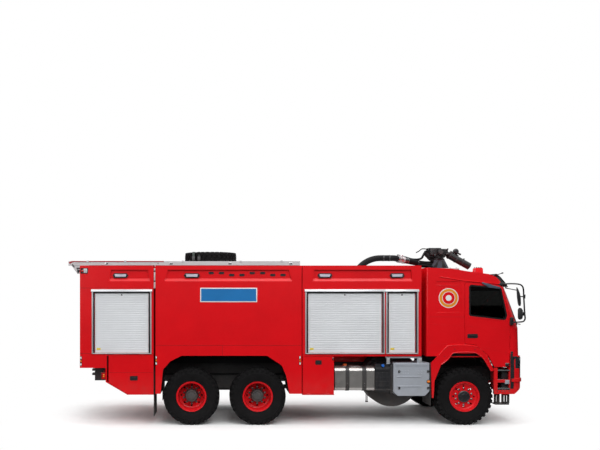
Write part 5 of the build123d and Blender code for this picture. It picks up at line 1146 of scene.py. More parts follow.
@dataclass
class Shutters:
    """Slatted roller shutters, their guides, gutters, locks and tabs."""

    openings: tuple[Pair, ...] = ((-4.095, -2.99), (0.225, 1.733), (1.86, 2.411))
    sill: float = 1.47
    head: float = 2.7
    face: float = 1.257
    pitch: float = 0.0455
    side: float = 1.275
    rear_half: float = 0.7
    rear_x: float = -4.388

    def build(self) -> None:
        """Makes the curtains and their surrounds."""
        curtain = Form(SHUTTER_SILVER)
        for start, end in self.openings:
            for flip in (1, -1):
                outline = [(y * flip, z) for y, z in self.slats(self.face)]
                curtain.prism(outline, X, (start + 0.012, end - 0.012))
        rear = [(-y, z) for y, z in self.slats(-self.rear_x - 0.018)]
        curtain.prism(rear, Y, (-self.rear_half + 0.012, self.rear_half - 0.012))
        curtain.piece("shutter_curtains", replaces=["shutters"], slot="shutter_aluminium", smooth=25.0)
        dress(FRAME_SILVER, "shutter_frames")
        trim = Form(FRAME_SILVER)
        for start, end in self.openings:
            self.surround(trim, start, end)
        trim.piece("shutter_surrounds", sides=Sides.BOTH, slot="frame_aluminium")
        self.rear_surround()

    def slats(self, face: float) -> list[Pair]:
        """Section of a curtain: crowned slats with a groove between them, from the sill up.

        Args:
            face: how far out the slats' crowns lie.

        Returns:
            The outline, (outward, height) points.
        """
        outline = [(face - 0.014, self.sill + 0.004), (face, self.sill + 0.004), (face, self.sill + 0.05)]
        count = int((self.head - self.sill - 0.05) / self.pitch)
        for k in range(count):
            z = self.sill + 0.05 + k * self.pitch
            outline += [(face - 0.0065, z + 0.001), (face - 0.0065, z + 0.0045), (face - 0.0015, z + 0.0065),
                        (face, z + self.pitch * 0.5), (face - 0.0015, z + self.pitch - 0.002)]
        outline += [(face - 0.006, self.head - 0.002), (face - 0.014, self.head - 0.002)]
        return outline

    def surround(self, form: Form, start: float, end: float) -> None:
        """Gutter, side frames, guide seals, lock and tab of one side shutter.

        Args:
            form: the form that they are added to.
            start: rear end of the opening.
            end: front end of the opening.
        """
        out = self.side + 0.008
        form.use(FRAME_SILVER)
        gutter = [(self.side, self.head + 0.008), (self.side + 0.03, self.head + 0.008),
                  (self.side + 0.03, self.head + 0.016), (self.side + 0.022, self.head + 0.02),
                  (self.side + 0.018, self.head + 0.052), (self.side, self.head + 0.06)]
        form.prism(gutter, X, (start - 0.064, end + 0.064), 0.0015)
        for x in (start - 0.044, end + 0.032):
            form.block((x, x + 0.012), on(out, 0.012), (self.sill - 0.02, self.head + 0.008), 0.002)
        form.block((start - 0.044, end + 0.044), on(out, 0.01), (self.sill - 0.021, self.sill - 0.006), 0.002)
        form.use(SEAL_BLACK)
        for x in (start - 0.024, end + 0.002):
            form.block((x, x + 0.022), (self.face - 0.004, out + 0.004), (self.sill, self.head), 0.002)
        form.block((start - 0.002, end + 0.002), (self.face - 0.004, out + 0.004),
                   (self.head - 0.016, self.head + 0.006), 0.002)
        middle = (start + end) / 2
        form.use(STEEL).turned([(0.0, 0.016), (0.003, 0.016), (0.005, 0.013), (0.005, 0.0)],
                               (middle, self.face, self.head - 0.055), Y, 24)
        form.use(SEAL_BLACK).block(about(middle, 0.0015), (self.face + 0.004, self.face + 0.0056),
                                   (self.head - 0.062, self.head - 0.048))
        form.use(TAB_YELLOW).block((start + 0.042, start + 0.122), (self.face - 0.001, self.face + 0.0016),
                                   (self.sill + 0.058, self.sill + 0.096), 0.0006)

    def rear_surround(self) -> None:
        """Frame and lift bar of the rear shutter."""
        form = Form(FRAME_SILVER)
        x = self.rear_x
        half = self.rear_half
        for y in (-half - 0.045, half + 0.005):
            form.block((x - 0.012, x + 0.002), (y, y + 0.04), (self.sill - 0.045, self.head + 0.045), 0.003)
        for z in (self.sill - 0.045, self.head + 0.005):
            form.block((x - 0.012, x + 0.002), (-half - 0.045, half + 0.045), (z, z + 0.04), 0.003)
        form.use(SEAL_BLACK)
        for y in (-half, half - 0.016):
            form.block((x - 0.004, x + 0.03), (y, y + 0.016), (self.sill, self.head), 0.002)
        form.use(STEEL)
        form.bar(Y, (x - 0.03, self.sill + 0.1), (-half + 0.1, half - 0.1), 0.011)
        for y in (-half + 0.12, 0.0, half - 0.12):
            form.bar(X, (y, self.sill + 0.1), (x - 0.03, x + 0.02), 0.009)
        form.piece("rear_shutter_surround", slot="frame_aluminium")


@dataclass
class BodyPanels:
    """Seams, vents, sign panel, marker strips and scene lights of the body modules."""

    side: float = 1.275
    recess: float = 1.245
    seam_width: float = 0.004
    seam_proud: float = 0.0008
    level_seams: tuple[tuple[float, float, float], ...] = (
        (-4.388, -2.896, 2.783), (-4.388, -2.896, 1.455), (-2.858, 0.103, 1.621), (0.117, 2.526, 1.43),
    )
    upright_seams: tuple[tuple[float, float, float], ...] = ((-1.504, 1.413, 1.619), (-3.826, 1.17, 1.453))
    vent_start: float = -1.73
    vent_pitch: float = 0.208
    vent_heights: tuple[float, ...] = (3.088, 3.088, 3.047, 3.047)
    scene_lights: tuple[Pair, ...] = ((-3.706, -3.432), (-2.263, -1.981), (0.445, 0.706), (1.909, 2.168))
    sign_x: Pair = (-1.953, -0.8)
    sign_z: Pair = (2.496, 2.787)

    def build(self) -> None:
        """Makes the pieces on both sides of the body."""
        dress(ARCH_SHADED_RED, "tank_body")
        dress(BODY_RED, "rear_body", "front_body", "front_flap_left", "front_flap_right",
              "rear_flap_left", "rear_flap_right")
        self.seams().piece("body_seams", sides=Sides.BOTH)
        self.vents().piece("band_vents", sides=Sides.BOTH, slot="black_plastic")
        self.sign().piece("blank_signs", sides=Sides.BOTH)
        self.markers().piece("marker_strips", sides=Sides.BOTH)
        self.lights().piece("scene_light_units", sides=Sides.BOTH, replaces=["scene_lights"],
                            slot="clear_lamp")

    def seams(self) -> Form:
        """Panel joints and the caps over the gaps between the modules."""
        form = Form(SEAM_AND_CREASE_SHADE)
        face = (self.side - 0.001, self.side + self.seam_proud)
        half = self.seam_width / 2
        for start, end, z in self.level_seams:
            form.block((start, end), face, (z - half, z + half))
        for x, low, high in self.upright_seams:
            form.block((x - half, x + half), face, (low, high))
        return form

    def vents(self) -> Form:
        """Row of dark slots in the tank's band."""
        form = Form(BLACK_PLASTIC)
        for i in range(8):
            x = self.vent_start + i * self.vent_pitch
            z = self.vent_heights[i % len(self.vent_heights)]
            form.dished(Y, about(x, 0.055), about(z, 0.025), 0.024, 0.008, self.recess, (0.006, 0.0015))
            for k in (-1, 0, 1):
                level = z + k * 0.012
                form.block(about(x, 0.044), (self.recess, self.recess + 0.004), about(level, 0.0025))
        return form

    def sign(self) -> Form:
        """Plain blue panel with a white edge."""
        form = Form(SIGN_WHITE)
        x, z = self.sign_x, self.sign_z
        form.plate(Y, x, z, on(self.side, 0.002), 0.012, 0.0004)
        height = (z[0] + 0.02, z[1] - 0.02)
        form.use(SIGN_BLUE).block((x[0] + 0.02, x[1] - 0.02), (self.side, self.side + 0.003), height)
        return form

    def markers(self) -> Form:
        """Upright strips with a white, an amber and a white field."""
        form = Form(BLACK_PLASTIC)
        for x, low, high in ((-2.842, 1.225, 1.407), (0.067, 1.225, 1.407), (-4.366, 1.204, 1.4)):
            form.block(about(x, 0.016), on(self.side, 0.006), (low, high), 0.002)
            for share, lens in ((0.16, SIGN_WHITE), (0.5, LAMP_AMBER), (0.84, SIGN_WHITE)):
                z = low + (high - low) * share
                form.use(lens).block(about(x, 0.012), (self.side + 0.004, self.side + 0.01), about(z, 0.021),
                                     0.002)
            form.use(BLACK_PLASTIC)
        return form

    def lights(self) -> Form:
        """Long scene lights in the bands: dark housings with a pale lens behind a lip."""
        form = Form(BLACK_PLASTIC)
        for start, end in self.scene_lights:
            outer = panel((start, end), (2.992, 3.082), 0.014)
            form.prism(outer, Y, (self.recess, self.recess + 0.01), 0.002)
            form.band(outer, shrunk(outer, 0.012), Y, (self.recess + 0.008, self.recess + 0.026))
            form.use(LENS_PALE)
            lens = [(start + 0.032, 3.01), (end - 0.032, 3.01), (end - 0.016, 3.066), (start + 0.016, 3.066)]
            form.prism(lens, Y, (self.recess + 0.008, self.recess + 0.017), 0.002)
            form.use(BLACK_PLASTIC)
            for x in (start - 0.01, end + 0.01):
                form.block(about(x, 0.01), (self.recess, self.recess + 0.008), (3.02, 3.054), 0.002)
                form.bolt((x, self.recess + 0.008, 3.037), Y, 1, 0.005, 0.004)
        return form


@dataclass
class Lockers:
    """Recessed handles, hinge leaves and catches of the low lockers' flaps."""

    side: float = 1.275
    front_handle: tuple[Pair, Pair] = ((0.378, 0.504), (1.231, 1.32))
    rear_handle: tuple[Pair, Pair] = ((-3.374, -3.218), (0.911, 1.002))
    front_hinges: tuple[float, ...] = (0.26, 0.616)
    rear_hinges: tuple[float, ...] = (-3.646, -3.122)

    def build(self) -> None:
        """Makes the flaps' fittings on both sides."""
        for side, sides in (("left", Sides.LEFT), ("right", Sides.RIGHT)):
            self.front().piece(f"front_flap_fittings_{side}", f"front_flap_{side}", sides)
            self.rear().piece(f"rear_flap_fittings_{side}", f"rear_flap_{side}", sides)
        fixed = Form(BODY_RED)
        for x in self.front_hinges:
            fixed.block(about(x, 0.042), (self.side - 0.004, self.side + 0.003), (0.6185, 0.629), 0.001)
        fixed.use(STEEL)
        fixed.block((0.722, 0.748), on(self.side, 0.009), (1.318, 1.38), 0.003)
        fixed.bar(Y, (0.735, 1.34), (self.side + 0.009, self.side + 0.016), 0.009, 18)
        fixed.piece("locker_catches", sides=Sides.BOTH)

    def handle(self, form: Form, x: Pair, z: Pair) -> None:
        """Black dished plate with a folding grip.

        Args:
            form: the form that it is added to.
            x: its two ends.
            z: its foot and head.
        """
        form.use(BLACK_PLASTIC)
        face = self.side
        form.dished(Y, x, z, 0.014, 0.011, face, (0.0045, 0.0012))
        grip = panel((x[0] + 0.024, x[1] - 0.024), (z[0] + 0.026, z[1] - 0.03), 0.01)
        form.prism(grip, Y, (face + 0.001, face + 0.0055), 0.0015)
        form.use(STEEL).bar(Y, ((x[0] + x[1]) / 2, z[1] - 0.021), (face + 0.005, face + 0.0075), 0.007, 20)

    def front(self) -> Form:
        """Handle and hinge leaves of the front flap."""
        form = Form(BLACK_PLASTIC)
        self.handle(form, *self.front_handle)
        form.use(BODY_RED)
        for x in self.front_hinges:
            form.block(about(x, 0.0145), on(self.side, 0.0035), (0.6405, 0.69), 0.0012)
            for z in (0.655, 0.677):
                form.bolt((x, self.side + 0.0035, z), Y, 1, 0.0045, 0.003)
        return form

    def rear(self) -> Form:
        """Handle, hinge leaves and a dark line of painted shade along the crease of the rear flap."""
        form = Form(BLACK_PLASTIC)
        self.handle(form, *self.rear_handle)
        # Dark line along the flap's crease: painted shade.
        form.use(SEAM_AND_CREASE_SHADE).block((-3.8, -2.91), on(self.side, 0.0006), (1.0685, 1.0715))
        form.use(BODY_RED)
        for x in self.rear_hinges:
            form.block(about(x, 0.0145), on(self.side, 0.0035), (1.38, 1.428), 0.0012)
            for z in (1.392, 1.414):
                form.bolt((x, self.side + 0.0035, z), Y, 1, 0.0045, 0.003)
        return form


@dataclass
class SideEquipment:
    """Fuel tank, additive tank, silencer box and their straps on the right, and the air tanks on the left."""

    fuel_x: Pair = (0.785, 1.579)
    fuel_z: Pair = (0.694, 1.178)
    straps: tuple[Pair, ...] = ((0.998, 1.075), (1.336, 1.423))
    outer: float = 1.235
    inner: float = 0.85
    tank_corner: float = 0.09
    filler: Pair = (1.01, 1.085)
    urea_x: Pair = (1.595, 1.909)
    box_x: Pair = (1.965, 2.69)
    box_face: float = 1.255
    additive_cap: Pair = (1.753, 1.208)
    marker: Pair = (2.674, 0.885)
    air_strap: Pair = (0.131, 0.127)

    def build(self) -> None:
        """Makes what hangs between the axles."""
        dress(TANK_SILVER, "fuel_tank")
        dress(TANK_BLACK, "urea_tank")
        dress(BOX_SILVER, "side_box")
        dress(CHASSIS_BLACK, "left_tanks")
        self.fuel().piece("fuel_tank_fittings", sides=Sides.RIGHT)
        self.urea().piece("additive_tank_ribs", sides=Sides.RIGHT, slot="black_plastic")
        self.silencer().piece("silencer_box_details", sides=Sides.RIGHT, slot="box_aluminium")
        self.air().piece("air_tank_fittings", slot="frame_paint")

    def section(self, grow: float) -> list[Pair]:
        """Rounded section of the fuel tank, grown by a distance."""
        low, high = self.fuel_z
        return panel((self.inner - grow, self.outer + grow), (low - grow, high + grow),
                     self.tank_corner + grow)

    def fuel(self) -> Form:
        """Straps, end beads, filler cap and step rung of the fuel tank."""
        form = Form(CHASSIS_BLACK)
        for x in self.straps:
            form.band(self.section(0.005), self.section(0.0), X, x)
            form.band(self.section(0.008), self.section(0.003), X, (x[0] + 0.018, x[1] - 0.018))
            middle = (x[0] + x[1]) / 2
            form.use(STEEL).bar(Z, (middle, self.outer + 0.004), (0.775, 0.835), 0.007, 14)
            form.bolt((middle, self.outer + 0.008, 0.835), Y, 1, 0.01, 0.008)
            form.use(CHASSIS_BLACK)
        form.use(TANK_SILVER)
        low, high = self.fuel_x
        for x in ((low - 0.004, low + 0.012), (low + 0.03, low + 0.038), (high - 0.012, high + 0.004),
                  (high - 0.038, high - 0.03)):
            form.band(self.section(0.004), self.section(-0.002), X, x)
        x, y = self.filler
        neck = [(0.0, 0.052), (0.01, 0.052), (0.012, 0.049), (0.012, 0.0)]
        cap = [(0.0, 0.04), (0.022, 0.04), (0.028, 0.035), (0.03, 0.0)]
        form.use(STEEL).turned(neck, (x, y, 1.182), Z, 32)
        form.use(CAP_ORANGE).turned(cap, (x, y, 1.19), Z, 32)
        for angle in (0.0, math.pi / 2):
            dx, dy = 0.03 * math.cos(angle), 0.03 * math.sin(angle)
            form.rod((x - dx, y - dy, 1.222), (x + dx, y + dy, 1.222), 0.006, 10)
        form.use(TREAD_STEEL).block((1.11, 1.31), (0.9, 1.18), (1.1785, 1.186), 0.002)
        form.use(CHASSIS_BLACK)
        for x in (1.438, 1.462):
            form.bar(Z, (x, 1.12), (0.7, 0.47), 0.008, 12)
        form.block((1.425, 1.475), (1.095, 1.145), (0.452, 0.474), 0.004)
        return form

    def urea(self) -> Form:
        """Moulded ribs, blue filler cap and pipe stubs of the additive tank."""
        form = Form(TANK_BLACK)
        face = self.outer
        low, high = self.urea_x
        for z in (0.79, 0.88, 0.97, 1.06):
            form.block((low + 0.02, high - 0.02), on(face, 0.007, 0.002), about(z, 0.006), 0.0025)
        for x in (low + 0.07, (low + high) / 2, high - 0.07):
            form.block(about(x, 0.005), on(face, 0.006, 0.002), (0.735, 1.085), 0.0025)
        form.plate(Y, (low + 0.012, high - 0.012), (1.1, 1.15), on(face, 0.01, 0.002), 0.02, 0.004)
        form.use(SEAL_BLACK).bar(Y, self.additive_cap, (face - 0.02, face + 0.006), 0.04, 32)
        form.use(CAP_BLUE).bar(Y, self.additive_cap, (face + 0.004, face + 0.026), 0.033, 10, 0.03, 0.003)
        form.use(CHASSIS_BLACK)
        for z in (0.72, 1.165):
            form.block((low - 0.004, high + 0.004), on(face, 0.004), about(z, 0.014), 0.001)
        form.use(HOSE_RUBBER).tube([(1.64, 1.15, 1.235), (1.64, 1.14, 1.275), (1.6, 1.08, 1.29),
                                    (1.56, 0.96, 1.285)], 0.011)
        return form

    def silencer(self) -> Form:
        """Pressed ribs, dimples, bolts on rubber and marker lamp of the silencer box, and rail brackets."""
        form = Form(BOX_SILVER)
        face = self.box_face
        low, high = self.box_x
        for z in (0.986, 0.791):
            form.plate(Y, (low + 0.075, high - 0.16), about(z, 0.013), on(face, 0.009, 0.003), 0.012, 0.005)
        form.plate(Y, (low + 0.03, high - 0.03), (1.2, 1.262), on(face, 0.006, 0.003), 0.02, 0.004)
        for x in (2.15, 2.205, 2.26, 2.47, 2.525, 2.58):
            for z in (1.1, 1.045):
                form.ball((x, face, z), (0.011, 0.004, 0.011), 12)
        for x in (2.08, 2.664):
            for z in (1.08, 0.745):
                form.use(SEAL_BLACK).bar(Y, (x, z + 0.012), on(face, 0.004, 0.002), 0.024, 24)
                form.use(STEEL).bolt((x, face + 0.003, z), Y, 1, 0.014, 0.012)
        form.use(SEAL_BLACK).bar(Y, self.marker, on(face, 0.006, 0.002), 0.04, 28)
        form.use(LAMP_AMBER).ball(placed(*self.marker, face + 0.005, Y), (0.033, 0.016, 0.024), 24)
        form.use(FRAME_SILVER)
        for x in (1.83, 2.48):
            form.block((x, x + 0.062), (1.196, 1.25), (1.268, 1.366), 0.004)
            form.bolt((x + 0.031, 1.25, 1.32), Y, 1, 0.01, 0.007)
        for x in (1.842, 2.15, 2.458):
            form.bolt((x, 1.251, 1.382), Y, 1, 0.008, 0.006)
        form.use(CHASSIS_BLACK)
        form.block((low - 0.052, low - 0.006), (0.87, 1.215), (0.64, 1.225), 0.006)
        return form

    def air(self) -> Form:
        """Straps, end bosses and pipes of the left air tanks, and the battery box's lid."""
        form = Form(CHASSIS_BLACK)
        centres = [(y, z) for z in (0.82, 1.09) for y in (0.5533, 0.8096)]
        for y, z in centres:
            outer, inner = ([(y + radius * math.cos(a), z + radius * math.sin(a)) for a in circle(32)]
                            for radius in self.air_strap)
            for x in (0.98, 1.72):
                form.band(outer, inner, X, (x, x + 0.045))
            form.turned([(0.0, 0.122), (-0.012, 0.1), (-0.02, 0.05), (-0.022, 0.0)], (0.821, y, z), X, 32)
        form.use(STEEL)
        for y, z in centres:
            form.bar(X, (y, z), (0.805, 0.78), 0.014, 6)
            form.bar(Z, (1.1, y), (z - 0.13, z - 0.148), 0.012, 6)
        form.use(HOSE_RUBBER).tube([(0.782, 0.8096, 0.82), (0.745, 0.8096, 0.85), (0.745, 0.8096, 1.05),
                                    (0.782, 0.8096, 1.09)], 0.008)
        form.use(BLACK_PLASTIC)
        form.plate(Y, (1.975, 2.68), (0.66, 1.24), (1.233, 1.247), 0.03, 0.006)
        for x in (2.18, 2.475):
            form.block(about(x, 0.03), (1.243, 1.254), (1.02, 1.2), 0.004)
        return form


@dataclass
class Cab:
    """Window seals, creases, handles, visor, deflectors, mirrors and wipers of the cab."""

    side: float = 1.245
    recess: float = 1.237
    window: tuple[Point, ...] = (
        (3.505, 2.222, 0.04), (4.236, 2.135, 0.05), (4.27, 2.228, 0.04), (4.146, 2.786, 0.04),
        (3.505, 2.85, 0.05),
    )
    roundel_at: Pair = (3.0876, 2.58)
    roundel_radius: float = 0.2
    shell_creases: tuple[tuple[Pair, Pair], ...] = (
        ((2.69, 2.042), (3.408, 2.018)), ((2.69, 1.662), (3.066, 1.647)),
    )
    door_creases: tuple[tuple[Pair, Pair], ...] = (
        ((3.44, 2.014), (3.735, 1.98)), ((3.895, 1.972), (4.322, 1.938)), ((3.74, 1.582), (4.322, 1.455)),
    )
    mirror_turn: float = -0.46
    mirror_y: float = 1.415
    wipers: tuple[float, ...] = (0.95, 0.05, -0.4)
    wiper_reach: float = -0.6
    wiper_heights: Pair = (1.985, 2.06)
    rail_height: float = 1.9
    deflector: tuple[Point, ...] = (
        (3.745, 2.885, 0.0), (3.765, 2.905, 0.01), (4.12, 2.8, 0.02), (4.14, 2.765, 0.015), (3.9, 2.79, 0.03),
    )

    def build(self) -> None:
        """Makes the cab's fittings."""
        dress(CAB_RED, "door_left", "door_right")
        dress(SHELL_SHADED_RED, "cab_shell")
        dress(FENDER_RED, "fenders")
        dress(DARK_GLASS, "windscreen", "door_glass_left", "door_glass_right")
        for side, sides in (("left", Sides.LEFT), ("right", Sides.RIGHT)):
            self.door_fittings().piece(f"door_fittings_{side}", f"door_{side}", sides)
        self.shell_fittings().piece("cab_fittings", sides=Sides.BOTH)
        self.arch_edges().piece("arch_edges", sides=Sides.BOTH, slot="cab_red")
        self.front().piece("cab_front_fittings")
        self.visor().piece("sun_visor_blade", replaces=["sun_visor"], slot="tinted_glass")
        self.mirrors().piece("mirror_sets", sides=Sides.BOTH, replaces=["mirrors"], slot="black_plastic")

    def crease(self, form: Form, start: Pair, end: Pair) -> None:
        """Low pressed ridge between two points of the cab's side."""
        low = 0.0035
        outline = [(start[0], start[1]), (end[0], end[1]), (end[0], end[1] + 2 * low),
                   (start[0], start[1] + 2 * low)]
        form.prism(outline, Y, on(self.side, 0.003), 0.0018)

    def door_fittings(self) -> Form:
        """Window seal, sill, creases, handle, deflector, and the trim card inside, of a door."""
        form = Form(SEAL_BLACK)
        hole = rounded(self.window, 8)
        form.band(shrunk(hole, -0.006), shrunk(hole, 0.026), Y, (self.side - 0.012, self.side + 0.002))
        form.band(shrunk(hole, 0.001), shrunk(hole, 0.02), Y, (self.side - 0.045, self.side - 0.012))
        form.use(CAB_RED)
        sill = [(3.53, 2.198), (4.225, 2.112), (4.262, 2.14), (4.262, 2.148), (4.22, 2.122), (3.53, 2.208)]
        form.prism(sill, Y, on(self.side, 0.005), 0.002)
        for start, end in self.door_creases:
            self.crease(form, start, end)
        form.use(BLACK_PLASTIC)
        form.dished(Y, (3.467, 3.676), (1.767, 1.852), 0.022, 0.01, self.side, (0.007, 0.0015))
        form.plate(Y, (3.5, 3.648), (1.8, 1.836), (self.side + 0.002, self.side + 0.016), 0.012, 0.003)
        form.use(STEEL).bar(Y, (3.486, 1.81), (self.side + 0.001, self.side + 0.006), 0.009, 20)
        form.block((4.235, 4.312), on(self.side, 0.003), (1.19, 1.262), 0.001)
        form.use(DEFLECTOR)
        form.prism(rounded(self.deflector, 4), Y, (self.side + 0.024, self.side + 0.028), 0.001)
        form.use(BLACK_PLASTIC)
        for x, z in ((3.79, 2.88), (3.95, 2.834), (4.1, 2.788)):
            form.bar(Y, (x, z), (self.side - 0.004, self.side + 0.026), 0.009, 14)
        form.use(CAB_TRIM)
        inside = self.side - 0.052
        form.prism(rounded(((3.47, 1.68, 0.04), (3.9, 1.56, 0.08), (4.06, 1.3, 0.05), (4.26, 1.3, 0.04),
                            (4.27, 2.05, 0.04), (3.47, 2.16, 0.04))), Y, (inside - 0.01, inside + 0.003),
                   0.004)
        form.use(BLACK_PLASTIC).block((3.6, 3.98), (inside - 0.06, inside - 0.008), (1.89, 1.935), 0.012)
        form.use(STEEL).block((4.08, 4.2), (inside - 0.024, inside - 0.012), (1.985, 2.005), 0.004)
        return form

    def shell_fittings(self) -> Form:
        """Plain roundel and its recess's edges, creases, gutter, and a dark strip ahead of the door that
        paints the shade in the gap there.
        """
        form = Form(CAB_RED)
        for start, end in self.shell_creases:
            self.crease(form, start, end)
        face = on(self.recess, 0.006)
        for low, high in ((2.83, 2.842), (2.277, 2.29)):
            form.prism([(2.845, low), (3.32, low), (3.3, high), (2.865, high)], Y, face, 0.003)
        x, z = self.roundel_at
        radius = self.roundel_radius
        for finish, share, out in ((SIGN_WHITE, 1.0, 0.0016), (ROUNDEL_AMBER, 0.93, 0.0024),
                                   (SIGN_WHITE, 0.66, 0.0032), (CAB_RED, 0.61, 0.004),
                                   (SIGN_WHITE, 0.3, 0.0048)):
            form.use(finish).bar(Y, (x, z), (self.recess - 0.001, self.recess + out), radius * share, 64)
        form.use(SEAM_AND_CREASE_SHADE).block((2.69, 3.408), on(self.side, 0.0008), (2.196, 2.199))
        form.use(CAB_RED)
        gutter = [(3.42, 2.922), (4.195, 2.852), (4.2, 2.862), (3.425, 2.934), (2.9, 3.02), (2.896, 3.01)]
        form.prism(gutter, Y, on(self.side, 0.01, 0.002), 0.003)
        # Black strip ahead of the door: painted shade of the gap between the door and the lamp panel.
        form.use(BLACK_PLASTIC)
        strip = [(4.339, 1.176), (4.386, 1.176), (4.386, 1.44), (4.398, 1.476), (4.372, 1.5), (4.339, 1.486)]
        form.prism(strip, Y, (self.side - 0.02, self.side + 0.008), 0.003)
        return form

    def arch_edges(self) -> Form:
        """Rolled edge and fold line of the front arch trim."""
        form = Form(CAB_RED)
        out = 1.2745
        inner = [(2.935, out, 1.236), (3.066, out, 1.34), (3.176, out, 1.466), (3.64, out, 1.466),
                 (3.789, out, 1.34), (3.935, out, 1.1)]
        fold = [(2.88, out, 1.418), (3.075, out, 1.61), (3.64, out, 1.592), (3.848, out, 1.402),
                (3.975, out, 1.12)]
        form.tube(inner, 0.009, 10, steps=5)
        form.tube(fold, 0.005, 8, steps=5)
        form.use(BLACK_PLASTIC)
        for x, z in ((2.99, 1.4), (3.2, 1.545), (3.61, 1.54), (3.83, 1.33)):
            form.bolt((x, out, z), Y, 1, 0.007, 0.003)
        return form

    def front(self) -> Form:
        """Windscreen seal, wipers, grab rail, seams and slats of the front, and the roof's marker lamps."""
        form = Form(SEAL_BLACK)
        hole = panel((-1.125, 1.125), (2.015, 2.745), 0.06)
        form.tube([(self.front_x(z) + 0.003, y, z) for y, z in hole], 0.012, 10, closed=True, steps=1)
        form.use(BLACK_PLASTIC)
        low, high = self.wiper_heights
        for y in self.wipers:
            root = (self.front_x(low) + 0.012, y, low)
            tip = (self.front_x(high) + 0.03, y + self.wiper_reach, high)
            form.bar(X, (y, low), (root[0] - 0.03, root[0] + 0.012), 0.02, 18)
            form.rod(root, tip, 0.0075, 10)
            blade_x, blade_y = tip[0] - 0.012, tip[1]
            form.rod((blade_x, blade_y - 0.26, high - 0.015), (blade_x, blade_y + 0.26, high + 0.015), 0.009,
                     10)
        rail_x = self.front_x(self.rail_height)
        form.bar(Y, (rail_x + 0.03, self.rail_height), (-0.7, 0.7), 0.014, 16)
        for y in (-0.66, 0.0, 0.66):
            form.bar(X, (y, self.rail_height), (rail_x - 0.01, rail_x + 0.03), 0.01, 12)
        panel_top, slat_foot, slat_pitch = 1.86, 1.455, 0.048
        form.use(SEAM_AND_CREASE_SHADE)
        for z in (panel_top, 1.64):
            form.block((self.front_x(z) - 0.002, self.front_x(z) + 0.001), (-1.05, 1.05), about(z, 0.0025))
        form.use(BLACK_PLASTIC)
        for k in range(4):
            z = slat_foot + k * slat_pitch
            form.block((self.front_x(z) - 0.004, self.front_x(z) + 0.008), (-0.88, 0.88), about(z, 0.014),
                       0.005)
        form.use(LAMP_AMBER)
        for y in (-0.95, -0.32, 0.32, 0.95):
            form.ball((4.052, y, 3.022), (0.022, 0.05, 0.016), 16)
        return form

    def front_x(self, z: float) -> float:
        """Where the cab's front panel is at a height."""
        rows = ((1.172, 4.565), (1.973, 4.545), (2.773, 4.25), (3.3, 4.045))
        for (z0, x0), (z1, x1) in zip(rows, rows[1:]):
            if z <= z1:
                return x0 + (x1 - x0) * (z - z0) / (z1 - z0)
        return rows[-1][1]

    def visor(self) -> Form:
        """Smoked visor bent over the windscreen, with its arms and the lamp brackets."""
        form = Form(SMOKED)
        outline = [(4.108, 3.071), (4.19, 3.0), (4.27, 2.905), (4.338, 2.806), (4.346, 2.811), (4.277, 2.911),
                   (4.196, 3.007), (4.113, 3.077)]
        form.prism(outline, Y, (-1.128, 1.128), 0.0015)
        form.use(BLACK_PLASTIC)
        for y in (-1.05, -0.62, 0.0, 0.62, 1.05):
            form.prism([(4.062, 3.001), (4.122, 3.064), (4.112, 3.069), (4.048, 3.018)], Y, about(y, 0.014),
                       0.002)
            form.rod((4.228, y, 2.826), (4.306, y, 2.858), 0.007, 10)
            form.bolt((4.117, y, 3.074), Z, 1, 0.008, 0.005)
        form.rod((4.19, -0.95, 3.06), (4.3, -0.95, 3.094), 0.008, 12)
        form.rod((4.29, -0.95, 3.091), (4.322, -0.95, 3.101), 0.014, 12)
        for y in (-1.128, 1.12):
            form.prism([(4.06, 3.012), (4.17, 3.02), (4.262, 2.9), (4.33, 2.812), (4.24, 2.828)], Y,
                       (y, y + 0.008), 0.002)
        return form

    def mirrors(self) -> Form:
        """Tube frame, clamps and the two mirror heads with their glass."""
        form = Form(BLACK_PAINT)
        y = self.mirror_y
        form.tube([(4.18, 1.236, 2.852), (4.25, 1.34, 2.868), (4.4, y, 2.862), (4.48, y, 2.838),
                   (4.518, y, 2.78), (4.53, y, 2.6), (4.548, y, 2.265), (4.556, y, 2.17), (4.53, y, 2.118),
                   (4.47, 1.395, 2.1), (4.36, 1.262, 2.09)], 0.0145, 14)
        form.use(BLACK_PLASTIC)
        form.prism(rounded(((4.318, 2.03, 0.02), (4.385, 2.03, 0.03), (4.392, 2.18, 0.03),
                            (4.33, 2.205, 0.03))), Y, (1.2, 1.29), 0.012)
        form.prism([(4.14, 2.905), (4.27, 2.872), (4.262, 2.836), (4.15, 2.826), (4.096, 2.85)], Y,
                   (1.18, 1.256), 0.01)
        wide = [(4.376, 2.79), (4.39, 2.8), (4.424, 2.74), (4.452, 2.66), (4.466, 2.58), (4.47, 2.48),
                (4.464, 2.424), (4.43, 2.418), (4.41, 2.45), (4.392, 2.6), (4.384, 2.7)]
        near = [(4.408, 2.36), (4.43, 2.384), (4.48, 2.38), (4.506, 2.34), (4.512, 2.25), (4.5, 2.172),
                (4.468, 2.15), (4.425, 2.152), (4.408, 2.18)]
        for outline in (wide, near):
            form.prism(outline, Y, (1.325, 1.525), 0.012, self.mirror_turn)
        for z, x in ((2.61, 4.44), (2.265, 4.48)):
            form.bar(X, (y, z), (x, 4.543), 0.011, 14)
            form.rod((4.538, y, z - 0.04), (4.542, y, z + 0.04), 0.022, 18)
        form.rod((4.236, 1.246, 2.79), (4.27, 1.29, 2.772), 0.016, 14, 0.01)
        form.rod((4.27, 1.29, 2.772), (4.43, y, 2.73), 0.009, 12)
        form.use(MIRROR_GLASS)
        for rear in (((4.381, 2.76), (4.3905, 2.6), (4.4045, 2.475)), ((4.4075, 2.35), (4.4075, 2.19))):
            glass = [(x + 0.001, z) for x, z in rear] + [(x - 0.003, z) for x, z in reversed(rear)]
            form.prism(glass, Y, (1.34, 1.51), lean=self.mirror_turn)
        return form


